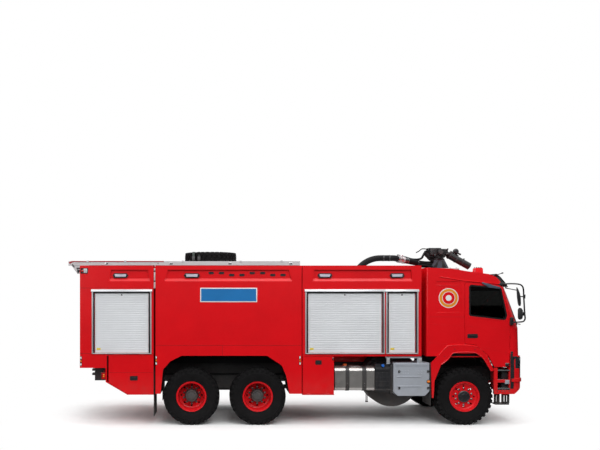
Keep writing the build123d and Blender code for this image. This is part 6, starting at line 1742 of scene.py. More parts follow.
@dataclass
class Bumper:
    """Lamps, grille, treads and tow hook of the bumper, and the hanging steps."""

    side: float = 1.245
    front_x: float = 4.6
    fog_lamp: Pair = (0.82, 1.043)
    # Middle and radius of each lamp behind the headlamp's glass.
    reflectors: tuple[Point, ...] = (
        (0.8, 1.285, 0.072), (0.975, 1.285, 0.072), (0.8, 1.19, 0.02), (0.975, 1.19, 0.02),
    )
    corner_at: tuple[float, float, float] = (4.42, 1.065, 0.18)

    def build(self) -> None:
        """Makes the bumper's fittings."""
        dress(BUMPER_RED, "front_bumper")
        dress(SHADED_STEP_RED, "cab_steps")
        dress(BLACK_PLASTIC, "front_grille")
        dress(LAMP_DARK, "headlamps")
        self.lamps().piece("headlamp_units", sides=Sides.BOTH, slot="clear_lamp")
        self.steps().piece("step_treads", sides=Sides.BOTH)
        self.middle().piece("bumper_middle")

    def lamps(self) -> Form:
        """Round reflectors behind the lamp faces, their bezels and the fog lamps in the bumper."""
        form = Form(BLACK_PLASTIC)
        for y, z, radius in self.reflectors:
            form.use(STEEL).turned([(-0.03, radius * 0.3), (-0.012, radius * 0.8), (0.0, radius)],
                                   (4.586, y, z), X, 32)
            form.use(LAMP_CLEAR).ball((4.59, y, z), (0.008, radius * 0.94, radius * 0.94), 28)
            form.use(BLACK_PLASTIC).turned([(0.0, radius), (0.008, radius * 1.02), (0.008, radius * 1.1),
                                            (0.0, radius * 1.12)], (4.589, y, z), X, 36, closed=True)
        form.use(LAMP_DARK)
        form.prism(self.corner(0.006, 2.0, 62.0), Z, (1.232, 1.372), 0.003)
        form.use(BLACK_PLASTIC)
        form.prism(self.corner(0.004, 0.0, 44.0), Z, (0.962, 1.232), 0.002)
        form.use(LAMP_CLEAR).prism(self.corner(0.008, 18.0, 48.0), Z, (1.3, 1.352), 0.003)
        form.use(BLACK_PLASTIC)
        for z in (1.01, 1.075):
            form.block((4.43, 4.6), (0.7, 0.92), about(z, 0.006), 0.002)
        form.turned([(-0.004, 0.064), (0.006, 0.066), (0.006, 0.052), (-0.004, 0.05)],
                    (self.front_x, *self.fog_lamp), X, 32, closed=True)
        form.use(LAMP_CLEAR).ball((self.front_x - 0.002, *self.fog_lamp), (0.008, 0.05, 0.05), 24)
        # Black strip down the side ahead of the step bay: painted shade of the bay's deep front opening.
        strip = [(4.338, 0.742), (4.4, 0.742), (4.416, 0.96), (4.414, 1.395), (4.338, 1.395)]
        form.use(BLACK_PLASTIC).prism(strip, Y, on(self.side, 0.006, 0.002), 0.004)
        form.prism([(4.395, 1.33), (4.414, 1.33), (4.47, 1.394), (4.47, 1.399), (4.395, 1.399)], Y,
                   (1.215, self.side + 0.006), 0.003)
        return form

    def corner(self, proud: float, start: float, end: float) -> list[Pair]:
        """Strip along the bumper's front corner, in plan.

        Args:
            proud: how far it stands out of the bumper.
            start: degrees from straight ahead where it starts.
            end: degrees where it ends.

        Returns:
            The outline, (x, y) points.
        """
        x, y, radius = self.corner_at
        angles = [math.radians(start + (end - start) * k / 12) for k in range(13)]
        outer = [(x + (radius + proud) * math.cos(a), y + (radius + proud) * math.sin(a)) for a in angles]
        inner = [(x + (radius - 0.004) * math.cos(a), y + (radius - 0.004) * math.sin(a))
                 for a in reversed(angles)]
        return outer + inner

    def steps(self) -> Form:
        """Ribbed treads on the steps, dark inner panels that paint the shade at the back of the step bay, and
        the hanging step's rubber links.
        """
        form = Form(STEEL)
        for low, high in ((1.09, 1.12), (0.713, 0.754)):
            form.block((4.082, 4.33), (1.15, 1.2475), (low, high), 0.004)
            for k in range(11):
                x = 4.092 + k * 0.022
                form.block((x, x + 0.01), (1.16, 1.244), (high - 0.001, high + 0.004), 0.0015)
        form.block((4.082, 4.314), (1.0, 1.186), (0.921, 0.927), 0.001)
        form.use(BOX_SILVER).block((4.232, 4.318), (1.15, 1.2485), (0.836, 0.919), 0.004)
        # Black panels at the back of the step bay: painted shade.
        form.use(BLACK_PLASTIC).block((4.19, 4.317), (0.985, 1.18), (0.935, 1.08), 0.004)
        form.block((4.19, 4.317), (0.985, 1.18), (0.757, 0.86), 0.004)
        form.use(FLAP_RUBBER)
        for low, high in ((4.045, 4.15), (4.198, 4.348)):
            outer = panel((low, high), (0.428, 0.628), 0.02)
            form.band(outer, shrunk(outer, 0.034), Y, (1.14, 1.182))
        form.use(STEEL)
        form.block((4.055, 4.335), (1.045, 1.186), (0.426, 0.434), 0.002)
        for k in range(9):
            x = 4.075 + k * 0.03
            form.block((x, x + 0.01), (1.05, 1.182), (0.433, 0.4385), 0.001)
        form.use(CHASSIS_BLACK)
        for x in (4.075, 4.16, 4.228, 4.314):
            form.bolt((x, 1.246, 0.68), Y, 1, 0.008, 0.005)
        return form

    def middle(self) -> Form:
        """Blank plate, upright bars behind the slats, tow pin and bolts in the bumper's middle."""
        form = Form(BLACK_PLASTIC)
        x = self.front_x
        for k in range(31):
            y = -0.585 + k * 0.039
            form.block((x - 0.042, x - 0.036), about(y, 0.002), (1.01, 1.34))
        form.use(SIGN_WHITE).plate(X, (-0.26, 0.26), (1.12, 1.23), (x - 0.01, x - 0.006), 0.012, 0.001)
        form.use(BLACK_PLASTIC)
        for y in (-0.22, 0.22):
            form.bar(X, (y, 1.175), (x - 0.03, x - 0.009), 0.012, 14)
        form.use(CAST_IRON)
        for y in (-0.13, 0.13):
            for z in (0.66, 0.835):
                form.bolt((4.545, y, z), X, 1, 0.012, 0.01)
        form.use(STEEL).bar(Z, (4.58, 0.0), (0.69, 0.812), 0.018, 24)
        form.turned([(0.0, 0.03), (0.008, 0.03), (0.008, 0.0)], (4.58, 0.0, 0.805), Z, 24)
        form.use(BUMPER_RED)
        for y in (-1.02, -0.5, 0.5, 1.02):
            form.bolt((x, y, 0.76), X, 1, 0.011, 0.006)
        return form


@dataclass
class Roof:
    """Ladder case with its red cap, clips over the module gap, deck trim and the spare wheel's straps."""

    case_out: float = 1.27
    cap_front: float = -2.686
    gap_x: float = -2.877
    deck: float = 3.194
    spare_y: float = 0.1
    strap_x: tuple[float, ...] = (-2.125, -2.005)

    def build(self) -> None:
        """Makes the pieces on the roof."""
        dress(PALE_PAINT, "roof_case")
        dress(PALE_DECK, "roof_deck")
        self.case().piece("roof_case_trim", sides=Sides.RIGHT)
        self.clips().piece("gap_clips", sides=Sides.BOTH)
        self.straps().piece("spare_straps", slot="flap_rubber")
        self.rails().piece("deck_trim", sides=Sides.BOTH, slot="tread_plate")

    def case(self) -> Form:
        """Red cap with its pointed rear end, latches and seam of the ladder case."""
        form = Form(CAP_RED)
        out = self.case_out
        nose = [(-4.622, 3.3), (-4.588, 3.272), (-4.545, 3.3), (-4.52, 3.308), (self.cap_front, 3.308),
                (self.cap_front, 3.33), (-4.56, 3.33)]
        form.prism(nose, Y, (1.182, out + 0.003), 0.002)
        form.use(BLACK_PLASTIC)
        for outline in (((-4.556, 3.268), (-4.53, 3.268), (-4.496, 3.212), (-4.512, 3.205)),
                        ((-4.461, 3.194), (-4.392, 3.194), (-4.392, 3.171), (-4.45, 3.171)),
                        ((-4.446, 3.16), (-4.392, 3.15), (-4.392, 3.118), (-4.436, 3.082))):
            form.prism(outline, Y, (1.255, 1.274), 0.002)
        form.bar(Y, (-2.807, 3.281), on(out, 0.004), 0.01, 16)
        form.use(SEAL_BLACK).block((-4.2, 0.066), on(out, 0.0012), (3.2385, 3.2425))
        form.use(PALE_PAINT)
        for x in (-4.233, -3.47, -2.3, -1.13, -0.3):
            form.plate(Y, about(x, 0.022), (3.3, 3.342), (1.2, out + 0.006), 0.008, 0.003)
        form.use(STEEL)
        for x in (-3.85, -2.54, -1.35, -0.12):
            form.block(about(x, 0.03), on(out, 0.005), (3.262, 3.296), 0.002)
            form.bar(Y, (x, 3.279), (out + 0.004, out + 0.01), 0.008, 16)
        return form

    def clips(self) -> Form:
        """Pale seal in the upper part of the gap between the rear and the tank module, in short lengths."""
        form = Form(PALE_PAINT)
        for low, high in ((2.775, 2.908), (2.935, 3.105), (3.139, 3.184)):
            form.block((self.gap_x - 0.017, self.gap_x + 0.017), (1.236, 1.262), (low, high), 0.004)
        form.use(BLACK_PLASTIC)
        for z in (2.922, 3.122):
            form.block((self.gap_x - 0.016, self.gap_x + 0.016), (1.24, 1.268), about(z, 0.01), 0.002)
        return form

    def straps(self) -> Form:
        """Webbing over the spare wheel, with buckles and deck rings."""
        form = Form(STRAP_WEB)
        half = [(0.61, self.deck + 0.012), (0.495, 3.52), (0.462, 3.566), (0.43, 3.5785), (0.2, 3.579)]
        path = half + [(-y, z) for y, z in reversed(half)]
        for x in self.strap_x:
            outline = [(self.spare_y + y, z) for y, z in path]
            outline += [(self.spare_y + y * 0.992, z - 0.003) for y, z in reversed(path)]
            form.prism(outline, X, about(x, 0.024))
        form.use(CAST_IRON)
        for x in self.strap_x:
            for side in (-1, 1):
                y = self.spare_y + side * 0.612
                form.block(about(x, 0.032), about(y, 0.016), (self.deck, self.deck + 0.02), 0.003)
            y = self.spare_y - 0.53
            form.block(about(x, 0.03), (y - 0.03, y + 0.012), (3.395, 3.47), 0.004)
        return form

    def rails(self) -> Form:
        """Riveted edge strips of the walkway plates."""
        form = Form(STEEL)
        for low, high in ((-4.345, -2.94), (-2.815, 0.06), (0.16, 2.485)):
            form.block((low, high), (1.12, 1.15), (self.deck, self.deck + 0.004), 0.001)
            count = int((high - low) / 0.24)
            for k in range(count + 1):
                x = low + 0.03 + (high - low - 0.06) * k / count
                form.ball((x, 1.135, self.deck + 0.004), (0.006, 0.006, 0.003), 8)
        return form


@dataclass
class Rear:
    """Lenses of the tail and corner lamps, blank plate and ladder treads at the rear."""

    rear_x: float = -4.388
    lamp_x: Pair = (-3.953, -3.868)
    lamp_out: float = 1.25
    side: float = 1.275

    def build(self) -> None:
        """Makes the rear's pieces."""
        dress(LAMP_DARK, "rear_lamps")
        dress(FRAME_SILVER, "rear_ladder")
        dress(FLAP_RUBBER, "mudflaps")
        self.tail().piece("tail_lamp_lenses", sides=Sides.BOTH, slot="red_lamp")
        self.corner().piece("corner_lamp_lenses", sides=Sides.BOTH)
        self.plate().piece("rear_details")

    def tail(self) -> Form:
        """Red, amber and clear fields of the tail lamps, and their side markers."""
        form = Form(BLACK_PLASTIC)
        x = self.lamp_x[0]
        form.plate(X, (0.864, 1.246), (0.924, 1.079), (x - 0.006, x + 0.002), 0.012, 0.002)
        for lens, low, high in ((LAMP_CLEAR, 0.872, 0.958), (LAMP_AMBER, 0.964, 1.078),
                                (LAMP_RED, 1.084, 1.238)):
            form.use(lens).plate(X, (low, high), (0.932, 1.071), (x - 0.014, x - 0.004), 0.008, 0.003)
        out = self.lamp_out
        form.use(LAMP_RED).plate(Y, (self.lamp_x[0] + 0.004, self.lamp_x[1] - 0.004), (0.926, 1.077),
                                 on(out, 0.005, 0.002), 0.008, 0.002)
        form.use(LAMP_AMBER)
        for z, size in ((1.02, 0.017), (0.985, 0.01)):
            form.ball((-3.908, out + 0.005, z), (0.019, 0.006, size), 16)
        form.use(BLACK_PLASTIC)
        for z in (0.929, 1.074):
            form.block((self.lamp_x[0], self.lamp_x[1]), on(out, 0.008, 0.002), about(z, 0.006), 0.002)
        return form

    def corner(self) -> Form:
        """Bluish lens and round red lens of the upper corner lamps."""
        form = Form(BLACK_PLASTIC)
        out = self.side
        outer = panel((-4.37, -4.227), (3.077, 3.183), 0.01)
        form.band(outer, shrunk(outer, 0.007), Y, (out - 0.004, out + 0.006))
        form.use(LAMP_CLEAR).plate(Y, (-4.31, -4.238), (3.09, 3.176), on(out, 0.01, 0.002), 0.01, 0.004)
        form.use(LAMP_RED).turned([(0.0, 0.024), (0.008, 0.023), (0.013, 0.015), (0.015, 0.0)],
                                  (-4.336, out, 3.128), Y, 28)
        form.use(LAMP_DARK).ball((-4.336, out, 3.098), (0.018, 0.006, 0.01), 16)
        return form

    def plate(self) -> Form:
        """Blank number plate with its lamp, reflectors and the ladder's rubber treads."""
        form = Form(SIGN_WHITE)
        x = self.rear_x
        form.plate(X, (-0.26, 0.26), (1.235, 1.345), (x - 0.006, x + 0.001), 0.012, 0.001)
        form.use(BLACK_PLASTIC).block((x - 0.04, x + 0.002), (-0.07, 0.07), (1.368, 1.395), 0.006)
        for y in (-0.22, 0.22):
            form.bar(X, (y, 1.29), (x - 0.009, x), 0.009, 14)
        form.use(LAMP_RED)
        for y in (-1.1, 1.1):
            form.turned([(0.0, 0.036), (-0.006, 0.036), (-0.01, 0.03), (-0.01, 0.0)], (x, y * 0.97, 1.215), X,
                        32)
        for y in (-1.13, 1.13):
            form.plate(X, about(y, 0.05), (3.05, 3.12), (x - 0.02, x + 0.001), 0.014, 0.006)
        form.use(HOSE_RUBBER)
        for i in range(7):
            z = 1.3 + i * 0.29
            form.bar(Y, (x - 0.11, z), (0.8, 1.08), 0.0165, 16)
        form.use(SEAM_AND_CREASE_SHADE).block((x - 0.0008, x + 0.001), (-1.23, 1.23), (2.781, 2.785))
        form.block((x - 0.0008, x + 0.001), (-1.23, 1.23), (1.418, 1.422))
        return form


@dataclass
class Monitor:
    """Motors, valves, hoses and lamp of the monitor, its line's couplings, and the beacons' studs."""

    axis_x: float = 3.29
    pivot: Pair = (3.42, 3.59)
    slope: float = 29.0
    turret_foot: float = 3.4205
    motor: Pair = (3.302, 3.583)
    hose_end: Pair = (-0.52, 3.43)
    line_start: Point = (2.18, -0.52, 3.43)
    line_end: Point = (2.86, -0.11, 3.335)

    def build(self) -> None:
        """Makes the monitor's fixed, swinging and rising pieces."""
        dress(MONITOR_BLACK, "monitor_turret", "monitor_barrel")
        dress(PLATE_GREY, "monitor_base")
        dress(HOSE_RUBBER, "feed_pipe")
        dress(BEACON_RED, "beacons")
        self.turret().piece("monitor_drives", "monitor_turret", slot="black_paint")
        self.barrel().piece("monitor_barrel_fittings", "monitor_barrel", slot="black_paint")
        self.mount().piece("monitor_mount_fittings")
        self.line().piece("feed_line_couplings", slot="frame_aluminium")
        self.studs().piece("beacon_studs", sides=Sides.BOTH, slot="black_plastic")

    def turret(self) -> Form:
        """Ring gear, motors, finned case, valve bodies, levers and hoses that swing with the turret."""
        form = Form(CAST_IRON)
        x, foot = self.axis_x, self.turret_foot
        form.turned([(0.004, 0.116), (0.004, 0.134), (0.026, 0.134), (0.026, 0.116)], (x, 0.0, foot), Z, 60,
                    closed=True)
        ring = Vector((x, 0.0, foot + 0.015))
        for a in circle(30):
            out = Vector((math.cos(a), math.sin(a), 0.0))
            form.rod(ring + out * 0.13, ring + out * 0.141, 0.008, 6)
        form.bolts(Z, (x, 0.0, foot + 0.089), 0.1, circle(12, 0.5), 0.007, 0.006)
        for side in (-1, 1):
            form.use(MONITOR_BLACK).bar(Y, self.motor, (side * 0.098, side * 0.168), 0.064, 36, 0.06, 0.004)
            form.use(CAST_IRON).bar(Y, self.motor, (side * 0.166, side * 0.176), 0.042, 30)
            form.bolts(Y, placed(*self.motor, side * 0.167, Y), 0.05, circle(6), 0.006, 0.006, side)
            form.use(MONITOR_BLACK).bar(Y, self.pivot, (side * 0.098, side * 0.116), 0.045, 32)
            form.bolt(placed(*self.pivot, side * 0.116, Y), Y, side, 0.022, 0.012)
        form.block((3.075, 3.225), (-0.158, -0.098), (3.515, 3.655), 0.008)
        for k in range(7):
            z = 3.53 + k * 0.018
            form.block((3.07, 3.23), (-0.163, -0.1), (z, z + 0.006), 0.001)
        form.bar(Y, (3.14, 3.56), (0.098, 0.158), 0.046, 28, 0.044, 0.003)
        form.block((3.085, 3.215), (0.098, 0.14), (3.61, 3.66), 0.006)
        for low, high, top in ((3.09, 3.15, 3.679), (3.172, 3.206, 3.676), (3.228, 3.262, 3.679),
                               (3.284, 3.318, 3.674)):
            form.block((low, high), (-0.128, -0.06), (3.64, top), 0.004)
        form.use(CAST_IRON)
        form.rod((3.395, -0.108, 3.628), (3.462, -0.124, 3.652), 0.012, 12)
        form.rod((3.425, -0.12, 3.534), (3.54, -0.134, 3.584), 0.015, 14)
        form.ball((3.464, -0.124, 3.653), (0.018, 0.018, 0.018), 16)
        form.use(HOSE_RUBBER)
        form.tube([(3.06, -0.06, 3.65), (2.96, -0.075, 3.662), (2.9, -0.085, 3.655), (2.84, -0.095, 3.61),
                   (2.775, -0.1, 3.575)], 0.0105, 12)
        form.tube([(3.065, -0.02, 3.6), (3.0, -0.03, 3.605), (2.985, -0.045, 3.56), (3.01, -0.06, 3.5),
                   (3.085, -0.07, 3.462), (3.17, -0.06, 3.455)], 0.021, 16)
        form.tube([(3.18, -0.15, 3.52), (3.2, -0.168, 3.47), (3.26, -0.165, 3.45), (3.33, -0.15, 3.47),
                   (3.35, -0.13, 3.52)], 0.012, 12)
        form.tube([(3.15, 0.15, 3.6), (3.17, 0.172, 3.66), (3.24, 0.17, 3.668), (3.3, 0.15, 3.64)], 0.01, 12)
        form.use(STEEL)
        for at in ((3.078, -0.06, 3.649), (3.078, -0.02, 3.6), (3.18, -0.152, 3.523)):
            form.rod(at, (at[0] - 0.024, at[1], at[2] + 0.001), 0.018, 6)
        return form

    def along(self, distance: float, above: float, across: float = 0.0) -> Point:
        """Point at a distance along the barrel, above its axis and to its left."""
        a = math.radians(self.slope)
        return (self.pivot[0] + distance * math.cos(a) + above * math.sin(a), across,
                self.pivot[1] - distance * math.sin(a) + above * math.cos(a))

    def barrel(self) -> Form:
        """Clamp rings, water pipe and round lamp on its arm, which rise with the barrel."""
        form = Form(CAST_IRON)
        for start, end, radius in ((0.128, 0.15, 0.086), (0.3, 0.318, 0.084), (0.455, 0.47, 0.083)):
            form.rod(self.along(start, 0.0), self.along(end, 0.0), radius, 40)
            form.block((self.along(start, 0.084)[0] - 0.004, self.along(start, 0.084)[0] + 0.024),
                       (-0.018, 0.018), (self.along(end, 0.078)[2], self.along(end, 0.078)[2] + 0.022), 0.003)
        form.use(MONITOR_BLACK)
        form.rod(self.along(0.185, 0.07), self.along(0.215, 0.16), 0.018, 16)
        form.rod(self.along(0.12, 0.094), self.along(0.3, 0.094), 0.013, 14)
        lamp = Vector(self.along(0.225, 0.146))
        form.ball(lamp, (0.064, 0.056, 0.064), 32)
        form.use(CAST_IRON).rod(lamp + Vector((0.03, 0.0, -0.03)), lamp + Vector((0.092, 0.0, -0.062)), 0.022,
                                20, 0.018, 0.003)
        form.ball(lamp + Vector((0.096, 0.0, -0.064)), (0.022, 0.022, 0.022), 20)
        form.use(LAMP_DARK).rod(lamp + Vector((0.0, -0.05, 0.0)), lamp + Vector((0.0, -0.058, 0.0)), 0.034,
                                28)
        form.use(HOSE_RUBBER)
        form.tube([self.along(0.12, 0.08, 0.03), self.along(0.18, 0.096, 0.034), self.along(0.24, 0.1, 0.03),
                   self.along(0.29, 0.08, 0.02)], 0.008, 10)
        form.use(STEEL)
        for k in range(8):
            a = 2 * math.pi * k / 8
            at = Vector(self.along(0.118, 0.066 * math.cos(a), 0.066 * math.sin(a)))
            form.rod(at, Vector(self.along(0.106, 0.066 * math.cos(a), 0.066 * math.sin(a))), 0.008, 6)
        return form

    def mount(self) -> Form:
        """Rim, bolts and small hoses of the plate and column under the monitor."""
        form = Form(PALE_PAINT)
        for side in (-1, 1):
            form.block((2.936, 3.636), (side * 0.33 - 0.004, side * 0.33 + 0.004), (3.2, 3.2245), 0.001)
        form.use(CAST_IRON)
        for x in (2.985, 3.15, 3.46, 3.595):
            for y in (-0.285, 0.285):
                form.bolt((x, y, 3.225), Z, 1, 0.013, 0.01)
        form.use(MONITOR_BLACK)
        for y in (-0.112, 0.112):
            for low, high in ((3.15, 3.2), (3.38, 3.43)):
                form.prism([(low - 0.03, 3.225), (high + 0.02, 3.225), (3.27 + (low - 3.15) * 0.4, 3.4),
                            (3.25 + (low - 3.15) * 0.4, 3.4)], Y, about(y, 0.006), 0.001)
        form.use(HOSE_RUBBER)
        form.tube([(2.3, -0.33, 3.5), (2.48, -0.27, 3.462), (2.68, -0.2, 3.42), (2.86, -0.17, 3.44),
                   (2.93, -0.16, 3.54), (2.955, -0.15, 3.572), (2.985, -0.15, 3.52), (3.04, -0.14, 3.44),
                   (3.15, -0.112, 3.38)], 0.024, 16)
        form.tube([(2.42, -0.3, 3.4), (2.6, -0.23, 3.345), (2.8, -0.2, 3.3), (2.96, -0.19, 3.29),
                   (3.12, -0.15, 3.262)], 0.02, 14)
        form.tube([(2.66, 0.12, 3.225), (2.8, 0.1, 3.262), (2.96, 0.12, 3.27), (3.13, 0.1, 3.27)], 0.018, 14)
        return form

    def line(self) -> Form:
        """Silver coupling with its flanges and clamp bands on the hose line."""
        form = Form(HOSE_SILVER)
        start, end = Vector(self.line_start), Vector(self.line_end)
        way = end - start

        def ring(first: float, last: float, radius: float) -> None:
            """Adds a collar between two shares of the straight run."""
            form.rod(start + way * first, start + way * last, radius, 36, None, 0.002)

        ring(0.14, 0.34, 0.0675)
        for first in (0.14, 0.2, 0.32):
            ring(first, first + 0.022, 0.08)
        form.rod(start + way * 0.23 + Vector((0.0, 0.0, 0.06)),
                 start + way * 0.27 + Vector((0.02, -0.02, 0.105)), 0.014, 12)
        form.use(STEEL)
        for share in (0.11, 0.4, 0.47, 0.86):
            ring(share, share + 0.014, 0.067)
        form.use(MONITOR_BLACK)
        ring(0.345, 0.385, 0.074)
        for x in (1.93, 2.06):
            form.bar(X, self.hose_end, (x, x + 0.024), 0.0675, 36)
        return form

    def studs(self) -> Form:
        """Black studs and foot of the beacons."""
        form = Form(BLACK_PLASTIC)
        for x in (3.76, 3.806, 3.852):
            for y in (0.87, 0.97):
                form.bar(Z, (x, y), (3.198, 3.22), 0.012, 14, 0.009, 0.002)
        form.prism([(3.722, 3.094), (3.893, 3.066), (3.893, 3.086), (3.722, 3.114)], Y, (0.836, 1.004), 0.003)
        return form


@dataclass
class Interior:
    """Padded seats, trim and instruments that show through the cab's windows."""

    floor: float = 1.46
    rows: Pair = (3.56, 2.9)
    seat_y: float = 0.7
    pad_corner: float = 0.026
    voxel: float = 0.012
    channel_share: float = 0.42
    pressure: float = 4.0
    cushion_cap: float = 0.026
    frames: int = 20

    def build(self) -> None:
        """Makes the seats and the trim."""
        dress(DASH_DARK, "dashboard")
        cushion = self.pad("cushion", ((-0.183, 0.276), (0.222, 0.276), (0.222, 0.385), (-0.183, 0.385)),
                           0.212)
        back = self.pad("back", ((-0.134, 0.395), (-0.056, 0.395), (-0.103, 1.003), (-0.176, 1.003)), 0.203)
        for x in self.rows:
            row = "front" if x > 3.2 else "rear"
            for side, y in (("left", self.seat_y), ("right", -self.seat_y)):
                for part, mesh in (("cushion", cushion), ("back", back)):
                    piece = bpy.data.objects.new(f"seat_{part}_{row}_{side}", mesh)
                    piece.location = (x, y, self.floor)
                    show(piece)
                    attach(piece, "truck")
                    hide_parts("seats")
                    log.info("%s: %d faces", piece.name, len(mesh.polygons))
        self.frames_of_seats().piece("seat_frames", sides=Sides.BOTH, replaces=["seats"])
        self.trim().piece("cab_trim")
        self.instruments().piece("dash_instruments")

    def pad(self, name: str, outline: Sequence[Pair], half: float) -> bpy.types.Mesh:
        """Swells one pad by cloth simulation, with two sewn channels held down.

        Args:
            name: the pad's name.
            outline: its (x, z) outline about the seat's reference point.
            half: half its width.

        Returns:
            The pad's mesh.
        """
        mesh = Form(SEAT_CLOTH).prism(outline, Y, (-half, half), self.pad_corner).ended(f"seat_{name}", 180.0)
        pad = bpy.data.objects.new(f"seat_{name}_form", mesh)
        show(pad)
        remesh = pad.modifiers.new("even_mesh", "REMESH")
        remesh.mode = "VOXEL"
        remesh.voxel_size = self.voxel
        pad.data = self.applied(pad)
        sewn = pad.vertex_groups.new(name="sewn")
        channel = half * self.channel_share
        sewn.add([v.index for v in pad.data.vertices if abs(abs(v.co.y) - channel) < self.voxel * 0.6], 1.0,
                 "REPLACE")
        self.swell(pad)
        finer = pad.modifiers.new("finer", "SUBSURF")
        finer.levels = 1
        mesh = self.applied(pad)
        mesh.name = f"seat_{name}_mesh"
        mesh.polygons.foreach_set("use_smooth", [True] * len(mesh.polygons))
        bpy.data.objects.remove(pad)
        return mesh

    def swell(self, pad: bpy.types.Object) -> None:
        """Runs the cloth simulation on a pad, and keeps what it moves each point by under a limit."""
        start = [v.co.copy() for v in pad.data.vertices]
        settings = pad.modifiers.new("swell", "CLOTH").settings
        settings.use_pressure = True
        settings.uniform_pressure_force = self.pressure
        settings.effector_weights.gravity = 0.0
        settings.vertex_group_mass = "sewn"
        pad.modifiers["swell"].point_cache.frame_end = self.frames
        for step in range(1, self.frames + 1):
            bpy.context.scene.frame_set(step)
        swollen = self.applied(pad)
        for vertex, before in zip(swollen.vertices, start):
            moved = vertex.co - before
            if moved.length > self.cushion_cap:
                vertex.co = before + moved.normalized() * self.cushion_cap
        pad.data = swollen
        bpy.context.scene.frame_set(1)

    def applied(self, piece: bpy.types.Object) -> bpy.types.Mesh:
        """Copy of a piece's mesh with its modifiers applied, which then come off the piece."""
        graph = bpy.context.evaluated_depsgraph_get()
        graph.update()
        mesh = bpy.data.meshes.new_from_object(piece.evaluated_get(graph))
        piece.modifiers.clear()
        return mesh

    def frames_of_seats(self) -> Form:
        """Plinths, pans, recliner covers, pivots and belt strips of the seats."""
        form = Form(BLACK_PLASTIC)
        for x in self.rows:
            y, z = self.seat_y, self.floor
            form.block(about(x, 0.11), about(y, 0.13), (z, z + 0.24), 0.012)
            form.block((x - 0.19, x + 0.215), about(y, 0.205), (z + 0.238, z + 0.268), 0.01)
            for side in (-1, 1):
                form.prism(rounded(((x - 0.19, z + 0.245, 0.02), (x - 0.06, z + 0.245, 0.03),
                                    (x - 0.07, z + 0.43, 0.03), (x - 0.165, z + 0.43, 0.02))), Y,
                           (y + side * 0.218 - 0.008, y + side * 0.218 + 0.008), 0.003)
            form.use(STEEL).bar(Y, (x - 0.1, z + 0.3), about(y, 0.232), 0.01, 14)
            form.use(CAP_ORANGE).block((x - 0.165, x - 0.135), (y + 0.232, y + 0.238), (z + 0.29, z + 0.44),
                                       0.004)
            form.use(BLACK_PLASTIC)
        return form

    def trim(self) -> Form:
        """Headliner, rear wall, floor mats and engine tunnel cover."""
        form = Form(CAB_TRIM)
        roof = [(2.7, 3.1375), (3.161, 3.118), (3.483, 3.063), (3.9, 3.01), (3.98, 2.97)]
        form.prism(roof + [(x, z - 0.01) for x, z in reversed(roof)], Y, (-1.165, 1.165))
        form.block((2.6885, 2.7), (-1.165, 1.165), (1.48, 3.11), 0.004)
        form.use(DASH_DARK)
        for low, high in ((-1.18, -0.41), (0.41, 1.18)):
            form.block((2.705, 4.28), (low, high), (1.4605, 1.468), 0.002)
        return form

    def instruments(self) -> Form:
        """Cowl, screens, switches and vents on the instrument panel, and the wheel's hub."""
        form = Form(DASH_DARK)
        form.prism(rounded(((4.16, 1.96, 0.02), (4.42, 1.96, 0.02), (4.42, 2.055, 0.03),
                            (4.185, 2.075, 0.03))), Y, (0.43, 0.85), 0.012)
        form.use(LAMP_DARK).prism([(4.172, 1.972), (4.19, 2.06), (4.186, 2.06), (4.168, 1.972)], Y,
                                  (0.46, 0.82))
        form.prism([(4.186, 1.8), (4.196, 1.95), (4.19, 1.95), (4.176, 1.8)], Y, (-0.16, 0.18))
        form.use(STEEL)
        for k in range(8):
            form.bar(X, (-0.56 + k * 0.045, 1.88), (4.18, 4.166), 0.009, 14)
        form.use(BLACK_PLASTIC)
        for y in (-0.9, -0.3, 0.26, 0.96):
            form.turned([(0.0, 0.048), (-0.012, 0.046), (-0.012, 0.036), (-0.004, 0.034), (-0.004, 0.0)],
                        (4.186, y, 1.93), X, 28)
        wheel, foot = Vector((4.075, 0.64, 2.01)), Vector((4.3, 0.64, 1.83))
        axis = (wheel - foot).normalized()
        form.rod(wheel - axis * 0.03, wheel + axis * 0.022, 0.062, 32, 0.052, 0.004)
        return form


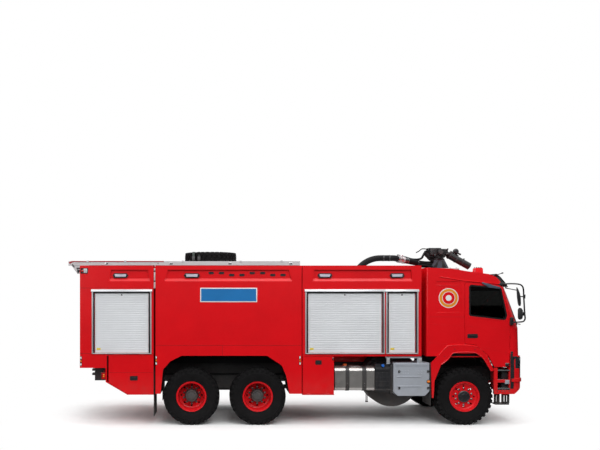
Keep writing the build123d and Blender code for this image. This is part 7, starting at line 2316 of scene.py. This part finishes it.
@dataclass
class Underbody:
    """Brake chambers on the bogie axles, and bolts and pipes along the chassis rails."""

    axles: tuple[float, ...] = (-0.785, -2.135)
    chamber: Pair = (0.62, 0.64)
    rail_side: float = 0.425
    rail_start: float = -4.1
    rail_bolts: int = 26
    rail_pitch: float = 0.3

    def build(self) -> None:
        """Makes the running gear's small pieces."""
        dress(CHASSIS_BLACK, "chassis_frame", "leaf_springs")
        dress(CAST_IRON, "axles", "drive_shafts", "knuckle_left", "knuckle_right", "engine_block")
        self.chambers().piece("brake_chambers", sides=Sides.BOTH, slot="frame_paint")
        self.rails().piece("rail_details", sides=Sides.BOTH, slot="frame_paint")

    def chambers(self) -> Form:
        """Brake chambers with their clamp bands and push rods on the bogie axles."""
        form = Form(CHASSIS_BLACK)
        for x in self.axles:
            for out in (-1, 1):
                near, far = x + out * 0.13, x + out * 0.29
                form.bar(X, self.chamber, (near, far), 0.07, 30, 0.066, 0.006)
                form.use(STEEL).bar(X, self.chamber, (near + out * 0.07, near + out * 0.086), 0.078, 30)
                form.rod((near, 0.62, 0.64), (x, 0.62, 0.628), 0.011, 12)
                form.use(CHASSIS_BLACK)
        return form

    def rails(self) -> Form:
        """Bolts along the side rails and the pipe bundle above their foot."""
        form = Form(CAST_IRON)
        side = self.rail_side
        for k in range(self.rail_bolts):
            x = self.rail_start + k * self.rail_pitch
            for z in (0.86, 1.04):
                form.bolt((x, side, z), Y, 1, 0.013, 0.01)
        form.use(HOSE_RUBBER)
        for z in (0.925, 0.95):
            form.tube([(-4.05, side + 0.012, z), (-2.0, side + 0.012, z), (0.0, side + 0.012, z),
                       (0.7, side + 0.012, z)], 0.008, 8)
        return form


def main() -> None:
    """Builds the truck's sub-assemblies in order and reports each."""
    logging.basicConfig(level=logging.INFO, format="%(name)s %(message)s", stream=sys.stdout)
    for assembly in (Studio(), Wheels(), Shutters(), BodyPanels(), Lockers(), SideEquipment(), Cab(),
                     Bumper(), Roof(), Rear(), Monitor(), Interior(), Underbody()):
        log.info("building %s", type(assembly).__name__)
        assembly.build()


if __name__ == "__main__":
    main()
